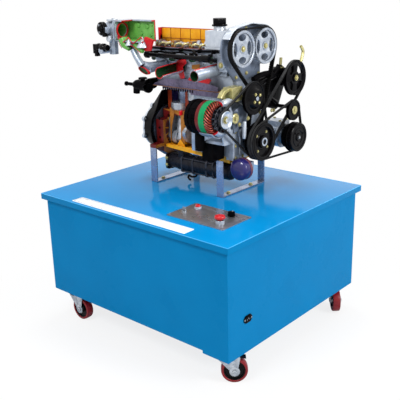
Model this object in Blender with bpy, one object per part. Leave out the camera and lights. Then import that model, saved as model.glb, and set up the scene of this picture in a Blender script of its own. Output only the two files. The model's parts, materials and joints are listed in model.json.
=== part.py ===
"""Engine trainer: a sectioned four-cylinder engine on a wheeled cabinet.

Metres, +Z up. X runs along the crankshaft with the belt drive at +X, the
operator stands at -Y, and the origin is on the floor under the middle of the
cabinet. Pieces of the engine are measured from the crankshaft's axis.
"""
import math

import bmesh
import bpy
from mathutils import Vector

# General
SEAT = 0.0003
OVERRUN = 0.012
ROUND_STEPS = 16
SMALL_STEPS = 8
WHEEL_STEPS = 16
PULLEY_STEPS = 14
SHAFT_STEPS = 12
PHASE_SHARE = 0.37
SHARED_PLANES = ("cylinder_block", "crankshaft", "con_rod_3", "con_rod_4", "alternator_housing",
                 "alternator_rear_cover", "intake_manifold", "cam_cover", "throttle_body", "timing_cover")
SMOOTH_ANGLE = math.radians(35.0)

# Cabinet and deck
DECK_LENGTH = 1.000
DECK_WIDTH = 0.885
DECK_TOP = 0.555
DECK_LIP = 0.024
DECK_SHEET = 0.003
DECK_EDGE = 0.002
CABINET_INSET = 0.0165
CABINET_WALL = 0.003
END_SKIRT_DROP = 0.011
END_SKIRT_WRAP = 0.120
CASTER_HEIGHT = 0.126
SKIRT_BELOW_PADS = 0.0045
CABINET_SKIRT = CASTER_HEIGHT - SKIRT_BELOW_PADS
CASTER_PAD = 0.004
CASTER_PAD_LENGTH = 0.084
CASTER_PAD_WIDTH = 0.070

# Casters
CASTER_HEAD = 0.026
WHEEL_RADIUS = (CASTER_HEIGHT - CASTER_HEAD) / 2
WHEEL_WIDTH = 0.032
WHEEL_SHOULDER = 0.004
WHEEL_TREAD = 0.016
WHEEL_CORE = WHEEL_RADIUS - WHEEL_TREAD
WHEEL_DISH = 0.003
AXLE_RADIUS = 0.006
AXLE_END = 0.003
CASTER_TRAIL = 0.040
CASTER_INSET_FRONT = 0.060
CASTER_INSET_REAR = 0.086
CASTER_INSET_SIDE = 0.044
FORK_PLATE = 0.003
FORK_GAP = 0.002
FORK_CROWN = 0.028
FORK_BOSS = 0.011
SWIVEL_HEAD = 0.018
CASTER_SWIVELS = {"operator_front": 41.0, "operator_rear": 0.0, "far_front": -49.0, "far_rear": 155.0}
PEDAL_WIDTH = 0.026
PEDAL_LENGTH = 0.026
PEDAL_THICK = 0.003
PEDAL_PIN = 0.004
PEDAL_DROP = 0.0035
PEDAL_RISE = WHEEL_RADIUS - PEDAL_DROP
PEDAL_EAR = 0.0048
PEDAL_REACH = 0.016
PEDAL_SLOPE_SHARE = 0.25

# Control panel
PANEL_LENGTH = 0.273
PANEL_WIDTH = 0.169
PANEL_THICK = 0.003
PANEL_FROM_END = 0.2535
PANEL_X = DECK_LENGTH / 2 - PANEL_FROM_END
PANEL_FROM_EDGE = 0.202
PANEL_Y = PANEL_FROM_EDGE - DECK_WIDTH / 2
PANEL_CORNER = 0.006
STOP_AHEAD, STOP_NEARER = 0.0885, 0.0415
STOP_X, STOP_Y = PANEL_X + STOP_AHEAD, PANEL_Y - STOP_NEARER
STOP_COLLAR = 0.0165
STOP_COLLAR_HEIGHT = 0.014
STOP_STEM = 0.009
STOP_HEAD = 0.020
STOP_HEAD_HEIGHT = 0.014
STOP_TRAVEL = 0.005
START_BEHIND, START_FARTHER = 0.0875, 0.0405
START_X, START_Y = PANEL_X - START_BEHIND, PANEL_Y + START_FARTHER
START_COLLAR = 0.014
START_COLLAR_HEIGHT = 0.008
START_CAP = 0.0105
START_CAP_HEIGHT = 0.010
START_TRAVEL = 0.003
KNOB_AHEAD, KNOB_FARTHER = 0.0705, 0.0465
KNOB_X, KNOB_Y = PANEL_X + KNOB_AHEAD, PANEL_Y + KNOB_FARTHER
KNOB_RADIUS = 0.014
KNOB_HEIGHT = 0.018
KNOB_SPINDLE = 0.004
KEY_BEHIND, KEY_NEARER = 0.1055, 0.0175
KEY_X, KEY_Y = PANEL_X - KEY_BEHIND, PANEL_Y - KEY_NEARER
KEY_RADIUS = 0.010
KEY_HEIGHT = 0.007
KEY_GRIP_HEIGHT = 0.010
KEY_GRIP_WIDTH = 0.005
INLET_FROM_EDGE = 0.1265
INLET_Y = INLET_FROM_EDGE - DECK_WIDTH / 2
INLET_Z = 0.244
INLET_WIDTH = 0.048
INLET_HEIGHT = 0.030
INLET_FLANGE = 0.003
INLET_DEPTH = 0.022
INLET_SOCKET_SHARE = 0.55
INLET_TIP_SHARE = 0.35

# Stand
STAND_HALF = 0.140
STAND_HEIGHT = 0.151
LEG_THICK = 0.006
STRIP_THICK = 0.005
FRONT_STAND_X = 0.118
FRONT_STAND_WIDTH = 0.033
REAR_STAND_WIDTH = 0.035
CRANK_ABOVE_DECK = 0.217
CRANK_Y = 0.100

# Cylinder block, measured from the crankshaft's axis
BLOCK_FRONT = 0.150
BLOCK_DECK = 0.193
DECK_FLANGE = 0.020
BLOCK_HALF = 0.100
BARREL_HALF = 0.080
BARREL_FOOT = 0.086
CASE_SHOULDER = 0.060
CASE_BOTTOM = -0.057
BORE = 0.041
BORE_PITCH = 0.096
FIRST_BORE_X = 0.094
CYLINDERS = 4
LAST_BORE_X = FIRST_BORE_X - BORE_PITCH * (CYLINDERS - 1)
REAR_MARGIN = 0.062
BLOCK_REAR = LAST_BORE_X - REAR_MARGIN
REAR_STAND_INSET = 0.0065
REAR_STAND_X = BLOCK_REAR + REAR_STAND_INSET
BORE_FOOT = 0.068
BAY_RADIUS = 0.078
WEB_THICK = 0.020
CUT_FRONT = -0.045
CASE_CUT = -0.044
BARREL_CUT = -0.012
REAR_FLANGE_RADIUS = 0.125
REAR_FLANGE_THICK = 0.041
REAR_FLANGE_CUT = -0.090
EAR_HEIGHT = 0.014
EAR_INNER = 0.0955
NEAR_EAR_INNER = 0.080
FRONT_CASE_THICK = 0.022
FRONT_CASE_LOW = -0.069
FRONT_CASE_HIGH = 0.112
FRONT_CASE_NEAR = -0.100
FRONT_CASE_FAR = 0.088
PUMP_Y, PUMP_Z = -0.026, 0.173
PUMP_BODY = 0.026
PUMP_SHAFT = 0.010
FILTER_PAD_NEAR = -0.053
FILTER_PAD_FAR = -0.020
FILTER_PAD_LOW = -0.118
FILTER_PAD_HIGH = -0.080
FILTER_PAD_REACH = 0.064

# Crank train
JOURNAL = 0.025
CRANKPIN = 0.022
THROW = 0.040
CRANK_WEB = 0.017
WEB_CHEEK = 0.027
COUNTERWEIGHT = 0.060
COUNTERWEIGHT_SPREAD = math.radians(62.0)
CRANK_ANGLE = math.radians(208.0)
CRANK_PHASES = (0.0, math.pi, math.pi, 0.0)
NOSE_RADIUS = 0.014
FLYWHEEL_RADIUS = 0.098
FLYWHEEL_THICK = 0.022
FLYWHEEL_GAP = 0.008
ROD_LENGTH = 0.128
ROD_THICK = 0.022
BIG_END = 0.031
SMALL_END = 0.015
WRIST_PIN = 0.010
ROD_BEAM = 0.014
PISTON_CLEARANCE = 0.0003
PISTON_CROWN = 0.024
PISTON_SKIRT = 0.028
PISTON_WALL = 0.005
PISTON_HEAD = 0.009
RING_GROOVE = 0.0015
RING_WIDTH = 0.002
RING_PITCH = 0.005
PISTON_RINGS = 2
VISIBLE_CYLINDERS = (3, 4)

# Oil pan, bell housing and drive motor
PAN_INSET = 0.042
PAN_REAR = BLOCK_REAR + PAN_INSET
PAN_FRONT = 0.1375
PAN_NEAR = -0.078
PAN_FAR = 0.092
PAN_WALL = 0.003
PAN_RIM = 0.005
PAN_REAR_DEPTH = 0.013
PAN_FRONT_DEPTH = 0.033
BELL_LENGTH = 0.077
BELL_WALL = 0.009
BELL_REAR_RADIUS = 0.094
BELL_TOWER_HALF = 0.070
BELL_TOWER_HEIGHT = 0.168
MOTOR_REAR = -0.2145
MOTOR_FRONT = 0.132
MOTOR_Y = -0.050
MOTOR_Z = -0.134
MOTOR_RADIUS = 0.036
MOTOR_BELL = 0.030
MOTOR_STEP = 0.006
MOTOR_FLANGE = 0.016
MOTOR_END = 0.090
SADDLE_WIDTH = 0.030
SADDLE_HALF = 0.022
SADDLE_REAR = -0.150
SADDLE_FRONT = 0.070

# Head, camshafts and cover
HEAD_BOTTOM = 0.1963
HEAD_TOP = 0.356
HEAD_NEAR = -0.100
HEAD_FAR = 0.100
PORT_FACE = -0.070
PORT_TOP = 0.326
CAM_Z = 0.362
INTAKE_CAM_Y = -0.064
EXHAUST_CAM_Y = 0.078
CAM_SHAFT = 0.0125
CAM_BASE = 0.015
CAM_NOSE = 0.007
CAM_LIFT = 0.008
CAM_LOBE = 0.014
LOBE_OFFSET = 0.020
CAM_PHASES = (0.0, 90.0, 270.0, 180.0)
CAM_NOSE_RADIUS = 0.009
CAM_WELL_HALF = 0.028
CAM_WELL_FLOOR = 0.334
CAM_WELL_INSET = 0.011
CAM_WELL_REAR = BLOCK_REAR + CAM_WELL_INSET
CAP_WIDTH = 0.018
CAP_HALF = 0.022
CAP_TOP = 0.380
CAP_ABOVE_BORES = 0.0
COVER_WALL_Y = -0.034
COVER_WALL = 0.006
COVER_WALL_TOP = 0.426
COVER_TOP = 0.404
COVER_FRONT_TOP = 0.428
COVER_FRONT_X = 0.040
COVER_WELL_NEAR = -0.006
COVER_WELL_FAR = 0.092
COVER_WELL_TOP = 0.398
COVER_SHELL = 0.006
FILLER_X, FILLER_Y = 0.080, -0.060
FILLER_NECK = 0.022
FILLER_BORE = 0.018
FILLER_TOP = 0.443
FILLER_DEPTH = 0.018
CAP_FLANGE = 0.030
CAP_FLANGE_HEIGHT = 0.008
CAP_GRIP = 0.025
CAP_HEIGHT = 0.030
CAP_PLUG_DEPTH = 0.010

# Timing drive
COVER_PLATE_THICK = 0.006
COVER_PLATE_RADIUS = 0.082
COVER_PLATE_MIDDLE = 0.0915
COVER_PLATE_FOOT_NEAR = -0.070
COVER_PLATE_FOOT_FAR = 0.097
COVER_PLATE_STEP_Z = 0.300
COVER_PLATE_FOOT_Z = 0.238
ARCH_DEPTH = 0.036
ARCH_THICK = 0.003
ARCH_FOOT_NEAR = 0.402
ARCH_FOOT_FAR = 0.330
SPROCKET_X = 0.178
SPROCKET_WIDTH = 0.024
SPROCKET_RADIUS = 0.0695
SPROCKET_RIM = 0.007
SPROCKET_WEB = 0.008
SPROCKET_HUB = 0.016
SPROCKET_BOLT = 0.009
SPROCKET_BOLT_HEIGHT = 0.006
SPROCKET_WINDOW = 0.0165
SPROCKET_WINDOW_AT = 0.043
EXHAUST_STUB = 0.050
TIMING_WIDTH = 0.019
TIMING_THICK = 0.005
CRANK_SPROCKET = 0.035

# Belt drive
BELT_THICK = 0.006
GROOVE_DEPTH = 0.0055
GROOVE_RIM = 0.002
BELT_WIDTHS = {"alternator": 0.010, "steering": 0.012, "compressor": 0.010}
PULLEY_START_X = 0.209
CRANK_PULLEY = 0.0755
CRANK_HUB = 0.024
CRANK_DISH = 0.012
CRANK_RIM = 0.012
CRANK_BOLT = 0.010
WATER_PULLEY = 0.064
WATER_FACE = 0.012
WATER_HUB = 0.028
STEERING_Y, STEERING_Z = 0.237, 0.221
STEERING_PULLEY = 0.072
STEERING_HUB = 0.020
STEERING_WINDOW = 0.013
STEERING_WINDOW_AT = 0.043
STEERING_WINDOWS = 4
COMPRESSOR_Y, COMPRESSOR_Z = 0.215, -0.020
CLUTCH_RADIUS = 0.062
CLUTCH_FACE = 0.020
CLUTCH_PLATE = 0.050
CLUTCH_HUB = 0.016
IDLER_Y, IDLER_Z = 0.209, 0.093
IDLER_RADIUS = 0.043
IDLER_RECESS = 0.0058
IDLER_WALL = 0.005
IDLER_STEM = 0.008
IDLER_STEM_Y, IDLER_STEM_Z = 0.1967, 0.1062

# Alternator
ALTERNATOR_Y, ALTERNATOR_Z = -0.199, 0.1165
ALTERNATOR_REAR = 0.058
ALTERNATOR_PULLEY = 0.034
ALTERNATOR_SHAFT = 0.008
STATOR_RADIUS = 0.066
STATOR_BORE = 0.048
STATOR_REAR = 0.137
STATOR_FRONT = 0.164
REAR_COVER_FRONT = 0.120
REAR_COVER_WALL = 0.004
FRONT_HOUSING_REAR = 0.190
FRONT_HOUSING_FRONT = 0.207
FRONT_HOUSING_WALL = 0.005
HOUSING_BORE = 0.016
ROTOR_REAR = 0.130
ROTOR_FRONT = 0.172
ROTOR_RADIUS = 0.042
FAN_FRONT = 0.198
FAN_RADIUS = 0.046
SHELL_THICK = 0.003
SHELL_START = math.radians(-110.0)
SHELL_SWEEP = math.radians(160.0)
WINDING_CURLS = 18
WINDING_POINTS = 7
WINDING_WIRE = 0.0016
WINDING_CLEAR = 0.0012
WINDING_INNER = 0.0475
WINDING_FRONT = 0.187
LUG_THICK = 0.016
LUG_FOOT_REAR = 0.100
LUG_FOOT_THICK = 0.012
REAR_LUG_REAR = 0.070
REAR_LUG_FRONT = 0.104
REAR_LUG_HALF = 0.012
REAR_LUG_LOW = -0.020
LUG_LOW = 0.0103
LUG_NEAR = -0.180
LUG_FAR = -0.130

# Engine mount, gold bracket and accessory bracket
MOUNT_REAR = 0.072
MOUNT_FRONT = 0.128
MOUNT_NEAR = -0.172
MOUNT_TOP = 0.010
BRACKET_NEAR = -0.130
BRACKET_FAR = -0.066
BRACKET_LOW = 0.168
BRACKET_HIGH = 0.224
BRACKET_DEPTH = 0.044
BRACKET_EAR = 0.056
BRACKET_EAR_WIDTH = 0.014
BRACKET_EAR_SWEEP = math.radians(66.0)
CARRIER_THICK = 0.016
CARRIER_FOOT_NEAR = 0.045
CARRIER_FOOT_LOW = 0.135
CARRIER_FOOT_HIGH = 0.222
CARRIER_MARGIN = 0.034
STEERING_PUMP = 0.038
STEERING_PUMP_LENGTH = 0.050
STEERING_NECK = 0.018
IDLER_PIN = 0.008
COMPRESSOR_RADIUS = 0.052
COMPRESSOR_REAR = 0.085
COMPRESSOR_FRONT = 0.215
COMPRESSOR_NECK = 0.020
COMPRESSOR_FOOT_HALF = 0.022
COMPRESSOR_FOOT_REAR = 0.095
COMPRESSOR_FOOT_FRONT = 0.145

# Intake, fuel rail, coolant outlet and oil filter
PORT_FLANGE_THICK = 0.012
PORT_FLANGE_LOW = 0.256
PORT_FLANGE_HIGH = 0.322
PORT_FLANGE_INSET = 0.008
PORT_FLANGE_REAR = BLOCK_REAR + PORT_FLANGE_INSET
PORT_FLANGE_FRONT = 0.130
RUNNER_RADIUS = 0.023
RUNNER_BORE = 0.019
RUNNER_Z = 0.281
RUNNER_FALL = 0.010
RUNNER_END = -0.220
RUNNER_XS = (LAST_BORE_X + BORE_PITCH, 0.085)
RISER_RADIUS = 0.014
RISER_X = LAST_BORE_X
PLENUM_BEHIND = 0.133
PLENUM_REAR = RISER_X - PLENUM_BEHIND
PLENUM_AHEAD = 0.022
PLENUM_FRONT = RISER_X + PLENUM_AHEAD
PLENUM_NEAR = -0.235
PLENUM_FAR = -0.155
PLENUM_LOW = 0.383
PLENUM_HIGH = 0.466
PLENUM_WALL = 0.005
PLENUM_LIP = 0.022
PLENUM_COLLAR = 0.045
THROTTLE_Y, THROTTLE_Z = -0.197, 0.425
THROTTLE_BORE = 0.026
THROTTLE_BARREL = 0.034
THROTTLE_LENGTH = 0.069
THROTTLE_FLANGE = 0.009
THROTTLE_FLANGE_HALF = 0.039
THROTTLE_PLATE_AT = 0.050
THROTTLE_DISC = 0.0255
THROTTLE_DISC_THICK = 0.002
THROTTLE_SPINDLE = 0.004
SENSOR_RADIUS = 0.0235
SENSOR_REACH = 0.024
BYPASS_RADIUS = 0.019
BYPASS_LOW = 0.326
BYPASS_DROP = 0.008
RAIL_Y, RAIL_Z = -0.150, 0.328
RAIL_RADIUS = 0.009
RAIL_BEHIND = 0.048
RAIL_REAR = LAST_BORE_X - RAIL_BEHIND
RAIL_FRONT = 0.101
RAIL_END_RADIUS = 0.014
RAIL_END_LENGTH = 0.030
INJECTOR_RADIUS = 0.006
INJECTOR_Z = 0.311
INJECTOR_TIP_GAP = 0.0022
OUTLET_Y, OUTLET_Z = -0.115, 0.191
OUTLET_GAP = 0.008
OUTLET_LENGTH = 0.076
OUTLET_FRONT = BLOCK_REAR - OUTLET_GAP
OUTLET_REAR = OUTLET_FRONT - OUTLET_LENGTH
OUTLET_RADIUS = 0.029
OUTLET_NOZZLE = 0.009
OUTLET_NOZZLE_REACH = 0.068
OUTLET_NECK_FAR = -0.040
OUTLET_NECK_LOW = 0.200
OUTLET_NECK_HIGH = 0.222
OUTLET_CAP = 0.019
OUTLET_CAP_HEIGHT = 0.034
FILTER_X, FILTER_Z = 0.205, -0.099
FILTER_RADIUS = 0.043
FILTER_NEAR = -0.122
FILTER_FAR = -0.068
FILTER_NECK = 0.019


def finish(name, colour, roughness, metallic):
    """A plain Principled material."""
    material = bpy.data.materials.new(name)
    material.use_nodes = True
    shader = material.node_tree.nodes["Principled BSDF"]
    shader.inputs["Base Color"].default_value = (*colour, 1.0)
    shader.inputs["Roughness"].default_value = roughness
    shader.inputs["Metallic"].default_value = metallic
    return material


def turn_phase(steps):
    """Where a round shape's first corner stands, off the axes so that cuts meet no corner."""
    return math.tau * PHASE_SHARE / steps


def circle(centre, radius, steps=ROUND_STEPS, start=0.0, sweep=math.tau):
    """Points round an arc; a full turn doesn't repeat its first point."""
    whole = abs(sweep - math.tau) < 1e-9
    count = steps if whole else steps + 1
    angles = (start + sweep * i / steps for i in range(count))
    return [(centre[0] + radius * math.cos(a), centre[1] + radius * math.sin(a)) for a in angles]


def hull(points):
    """The convex outline round some points, anticlockwise."""
    ordered = sorted(set((round(u, 7), round(v, 7)) for u, v in points))

    def half(sequence):
        chain = []
        for p in sequence:
            while len(chain) > 1:
                (au, av), (bu, bv) = chain[-2], chain[-1]
                if (bu - au) * (p[1] - av) - (bv - av) * (p[0] - au) > 1e-12:
                    break
                chain.pop()
            chain.append(p)
        return chain[:-1]

    return half(ordered) + half(ordered[::-1])


def rounded_rectangle(low, high, radius, steps=4):
    """A rectangle's outline with round corners."""
    corners = ((high[0], high[1], 0), (low[0], high[1], 1), (low[0], low[1], 2), (high[0], low[1], 3))
    points = []
    for u, v, quarter in corners:
        side = radius if quarter in (0, 3) else -radius
        rise = radius if quarter in (0, 1) else -radius
        centre = (u - side, v - rise)
        points += circle(centre, radius, steps, quarter * math.pi / 2, math.pi / 2)
    return points


def placed(axis, along, u, v):
    """A point at (u, v) across an axis, in the order that keeps the frame right-handed."""
    if axis == "X":
        return Vector((along, u, v))
    if axis == "Y":
        return Vector((u, along, v))
    return Vector((u, v, along))


def closed_mesh(bm):
    """The mesh with its faces pointing out."""
    bmesh.ops.recalc_face_normals(bm, faces=bm.faces)
    return bm


def loft(axis, sections):
    """A solid through outlines of equal length, each given as (place along the axis, points)."""
    bm = bmesh.new()
    rings = [[bm.verts.new(placed(axis, along, u, v)) for u, v in outline] for along, outline in sections]
    for ring, following in zip(rings, rings[1:]):
        for i in range(len(ring)):
            j = (i + 1) % len(ring)
            bm.faces.new((ring[i], ring[j], following[j], following[i]))
    bm.faces.new(rings[0])
    bm.faces.new(rings[-1])
    return closed_mesh(bm)


def prism(axis, outline, low, high):
    """An outline extruded along an axis."""
    return loft(axis, [(low, outline), (high, outline)])


def box(low, high):
    """A block between two corners."""
    outline = [(low[1], low[2]), (high[1], low[2]), (high[1], high[2]), (low[1], high[2])]
    return prism("X", outline, low[0], high[0])


def turned(axis, profile, centre=(0.0, 0.0), steps=ROUND_STEPS, phase=None, ring=False):
    """A turned solid: the profile gives (place along the axis, radius) from one end to the other.

    A ring's profile closes on itself and never reaches the axis.
    """
    bm = bmesh.new()
    stations = []
    if phase is None:
        phase = turn_phase(steps)
    for along, radius in profile:
        if radius == 0.0:
            stations.append([bm.verts.new(placed(axis, along, *centre))])
        else:
            outline = circle(centre, radius, steps, phase)
            stations.append([bm.verts.new(placed(axis, along, u, v)) for u, v in outline])
    pairs = list(zip(stations, stations[1:]))
    if ring:
        pairs.append((stations[-1], stations[0]))
    for first, second in pairs:
        for i in range(steps):
            j = (i + 1) % steps
            corners = [first[i % len(first)], first[j % len(first)], second[j % len(second)], second[i % len(second)]]
            face = list(dict.fromkeys(corners))
            if len(face) > 2:
                bm.faces.new(face)
    return closed_mesh(bm)


def rod(axis, centre, radius, low, high, steps=SMALL_STEPS):
    """A plain cylinder along an axis."""
    return turned(axis, [(low, 0.0), (low, radius), (high, radius), (high, 0.0)], centre, steps)


def sleeve(axis, centre, outer, inner, low, high, steps=ROUND_STEPS):
    """A plain ring along an axis."""
    profile = [(low, inner), (low, outer), (high, outer), (high, inner)]
    return turned(axis, profile, centre, steps, ring=True)


def swept(points, radii, steps=SMALL_STEPS):
    """A round bar along some points, with a radius at each."""
    points = [Vector(p) for p in points]
    bm = bmesh.new()
    rings = []
    across = None
    for i, point in enumerate(points):
        ahead = points[min(i + 1, len(points) - 1)] - points[max(i - 1, 0)]
        ahead.normalize()
        if across is None:
            across = ahead.orthogonal().normalized()
        across = (across - ahead * across.dot(ahead)).normalized()
        other = ahead.cross(across)
        turns = (math.tau * k / steps for k in range(steps))
        rings.append([bm.verts.new(point + radii[i] * (math.cos(t) * across + math.sin(t) * other)) for t in turns])
    for ring, following in zip(rings, rings[1:]):
        for k in range(steps):
            m = (k + 1) % steps
            bm.faces.new((ring[k], ring[m], following[m], following[k]))
    bm.faces.new(rings[0])
    bm.faces.new(rings[-1])
    return closed_mesh(bm)


def ribbon(path, thickness, low, high, closed=True):
    """A flat band along X's cross plane: the path gives (u, v, normal u, normal v)."""
    bm = bmesh.new()
    sections = []
    for u, v, nu, nv in path:
        inner = (u + nu * thickness / 2, v + nv * thickness / 2)
        outer = (u - nu * thickness / 2, v - nv * thickness / 2)
        corners = ((low, outer), (high, outer), (high, inner), (low, inner))
        sections.append([bm.verts.new(placed("X", along, *spot)) for along, spot in corners])
    pairs = list(zip(sections, sections[1:]))
    if closed:
        pairs.append((sections[-1], sections[0]))
    for first, second in pairs:
        for k in range(4):
            m = (k + 1) % 4
            bm.faces.new((first[k], first[m], second[m], second[k]))
    if not closed:
        bm.faces.new(sections[0])
        bm.faces.new(sections[-1])
    return closed_mesh(bm)


def belt_path(wheels, thickness, arc=math.tau / ROUND_STEPS):
    """The middle of a belt round some wheels, taken anticlockwise.

    Each wheel is (u, v, radius, side), with side 1 inside the loop and -1 behind its back.
    """
    swell = 1.0 / math.cos(arc / 2)
    laid = [(u, v, side * ((radius + SEAT) * swell + thickness / 2)) for u, v, radius, side in wheels]
    headings = []
    for i, (u, v, reach) in enumerate(laid):
        nu, nv, following = laid[(i + 1) % len(laid)]
        span = math.hypot(nu - u, nv - v)
        headings.append(math.atan2(nv - v, nu - u) - math.asin((following - reach) / span))
    path = []
    for i, (u, v, reach) in enumerate(laid):
        arriving, leaving = headings[i - 1], headings[i]
        turn = (leaving - arriving) % math.tau
        if reach < 0:
            turn -= math.tau
        steps = max(1, math.ceil(abs(turn) / arc))
        for k in range(steps + 1):
            heading = arriving + turn * k / steps
            left = (-math.sin(heading), math.cos(heading))
            path.append((u - reach * left[0], v - reach * left[1], *left))
    return path


def solid(name, bm, material, parent=None, location=(0.0, 0.0, 0.0)):
    """An object that holds a mesh, shaded smooth between sharp edges."""
    mesh = bpy.data.meshes.new(name)
    bm.to_mesh(mesh)
    bm.free()
    mesh.shade_smooth()
    mesh.set_sharp_from_angle(angle=SMOOTH_ANGLE)
    piece = bpy.data.objects.new(name, mesh)
    piece.data.materials.append(material)
    piece.parent = parent
    piece.location = location
    bpy.context.scene.collection.objects.link(piece)
    return piece


def combine(piece, bm, operation):
    """Join another shape to a piece, or cut it away, in the piece's own frame."""
    helper = solid(f"{piece.name}_{operation.lower()}_{len(piece.modifiers)}", bm, piece.data.materials[0],
                   piece.parent, piece.location)
    helper.rotation_euler = piece.rotation_euler
    helper.hide_render = True
    helper.display_type = "WIRE"
    modifier = piece.modifiers.new(operation.title(), "BOOLEAN")
    modifier.operation = operation
    modifier.solver = "MANIFOLD" if piece.name in SHARED_PLANES else "EXACT"
    modifier.object = helper
    return piece


def cut(piece, *shapes):
    """Cut shapes out of a piece."""
    for shape in shapes:
        combine(piece, shape, "DIFFERENCE")
    return piece


def join(piece, *shapes):
    """Join shapes to a piece."""
    for shape in shapes:
        combine(piece, shape, "UNION")
    return piece


def empty(name, location, parent=None, turn=0.0):
    """A frame that pieces hang from."""
    frame = bpy.data.objects.new(name, None)
    frame.location = location
    frame.rotation_euler = (0.0, 0.0, turn)
    frame.parent = parent
    bpy.context.scene.collection.objects.link(frame)
    return frame


def bore_x(cylinder):
    """The place of a cylinder's axis along the crankshaft; number 1 is at the belt end."""
    return FIRST_BORE_X - BORE_PITCH * (cylinder - 1)


def crankpin(cylinder):
    """The crankpin's place across the crankshaft."""
    angle = CRANK_ANGLE + CRANK_PHASES[cylinder - 1]
    return THROW * math.sin(angle), THROW * math.cos(angle)


def wrist_pin_height(cylinder):
    """How far the piston's pin is above the crankshaft's axis."""
    side, rise = crankpin(cylinder)
    return rise + math.sqrt(ROD_LENGTH ** 2 - side ** 2)


def belt_stations():
    """The start and end of each belt along the crankshaft, from the engine outwards."""
    stations = {}
    start = PULLEY_START_X + GROOVE_RIM
    for name, width in BELT_WIDTHS.items():
        stations[name] = (start + SEAT, start + SEAT + width)
        start += width + 2 * SEAT + GROOVE_RIM
    return stations


def pulley_span(belt):
    """The rear and front faces of a single pulley that carries a belt."""
    low, high = belt_stations()[belt]
    return low - SEAT - GROOVE_RIM, high + SEAT + GROOVE_RIM


def grooved(radius, belts):
    """The outer profile of a pulley, from its rear face to its front face."""
    profile = []
    for name in belts:
        low, high = belt_stations()[name]
        rear, front = pulley_span(name)
        profile += [(rear, radius), (low - SEAT, radius), (low - SEAT, radius - GROOVE_DEPTH)]
        profile += [(high + SEAT, radius - GROOVE_DEPTH), (high + SEAT, radius), (front, radius)]
    return list(dict.fromkeys((round(x, 7), r) for x, r in profile))


def pan_depth(x):
    """How far the oil pan's floor is below the block at a place along the engine."""
    share = (x - PAN_REAR) / (PAN_FRONT - PAN_REAR)
    return CASE_BOTTOM - SEAT - PAN_REAR_DEPTH - share * (PAN_FRONT_DEPTH - PAN_REAR_DEPTH)


def build_cabinet(paint):
    """The folded box under the deck, with its floor and the pads for the casters."""
    half_x = DECK_LENGTH / 2 - CABINET_INSET
    half_y = DECK_WIDTH / 2 - CABINET_INSET
    top = DECK_TOP - DECK_SHEET - SEAT
    floor = CASTER_HEIGHT + CASTER_PAD
    low = CABINET_SKIRT - END_SKIRT_DROP
    inner_x, inner_y = half_x - CABINET_WALL, half_y - CABINET_WALL
    cabinet = solid("cabinet", box((-half_x, -half_y, low), (half_x, half_y, top)), paint)
    cut(cabinet, box((-inner_x, -inner_y, floor + CABINET_WALL), (inner_x, inner_y, top + OVERRUN)))
    cut(cabinet, box((-inner_x, -inner_y, low - OVERRUN), (inner_x, inner_y, floor)))
    cut(cabinet, box((-half_x - OVERRUN, -half_y - OVERRUN, low - OVERRUN),
                     (half_x - END_SKIRT_WRAP, half_y + OVERRUN, CABINET_SKIRT)))
    for x, y, _ in caster_places():
        length, width = CASTER_PAD_LENGTH / 2, CASTER_PAD_WIDTH / 2
        join(cabinet, box((x - length, y - width, CASTER_HEIGHT), (x + length, y + width, floor + CABINET_WALL / 2)))
    return cabinet


def build_deck(paint):
    """The folded top with its lip."""
    half_x, half_y = DECK_LENGTH / 2, DECK_WIDTH / 2
    low = DECK_TOP - DECK_LIP
    brow = DECK_TOP - DECK_EDGE
    outer = rounded_rectangle((-half_x, -half_y), (half_x, half_y), DECK_EDGE, 2)
    inner = rounded_rectangle((-half_x + DECK_EDGE, -half_y + DECK_EDGE),
                              (half_x - DECK_EDGE, half_y - DECK_EDGE), DECK_EDGE / 2, 2)
    deck = solid("deck", loft("Z", [(low, outer), (brow, outer), (DECK_TOP, inner)]), paint)
    cut(deck, box((-half_x + DECK_SHEET, -half_y + DECK_SHEET, low - OVERRUN),
                  (half_x - DECK_SHEET, half_y - DECK_SHEET, DECK_TOP - DECK_SHEET)))
    return deck


def caster_places():
    """Each caster's pivot and the heading of its trail."""
    front = DECK_LENGTH / 2 - CABINET_INSET - CASTER_INSET_FRONT
    rear = -DECK_LENGTH / 2 + CABINET_INSET + CASTER_INSET_REAR
    side = DECK_WIDTH / 2 - CABINET_INSET - CASTER_INSET_SIDE
    spots = {"operator_front": (front, -side), "operator_rear": (rear, -side),
             "far_front": (front, side), "far_rear": (rear, side)}
    return [(*spots[name], name) for name in CASTER_SWIVELS]


def axle_height():
    """The wheels rest on a flat of their tread."""
    return WHEEL_RADIUS * math.cos(math.pi / WHEEL_STEPS)


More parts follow.
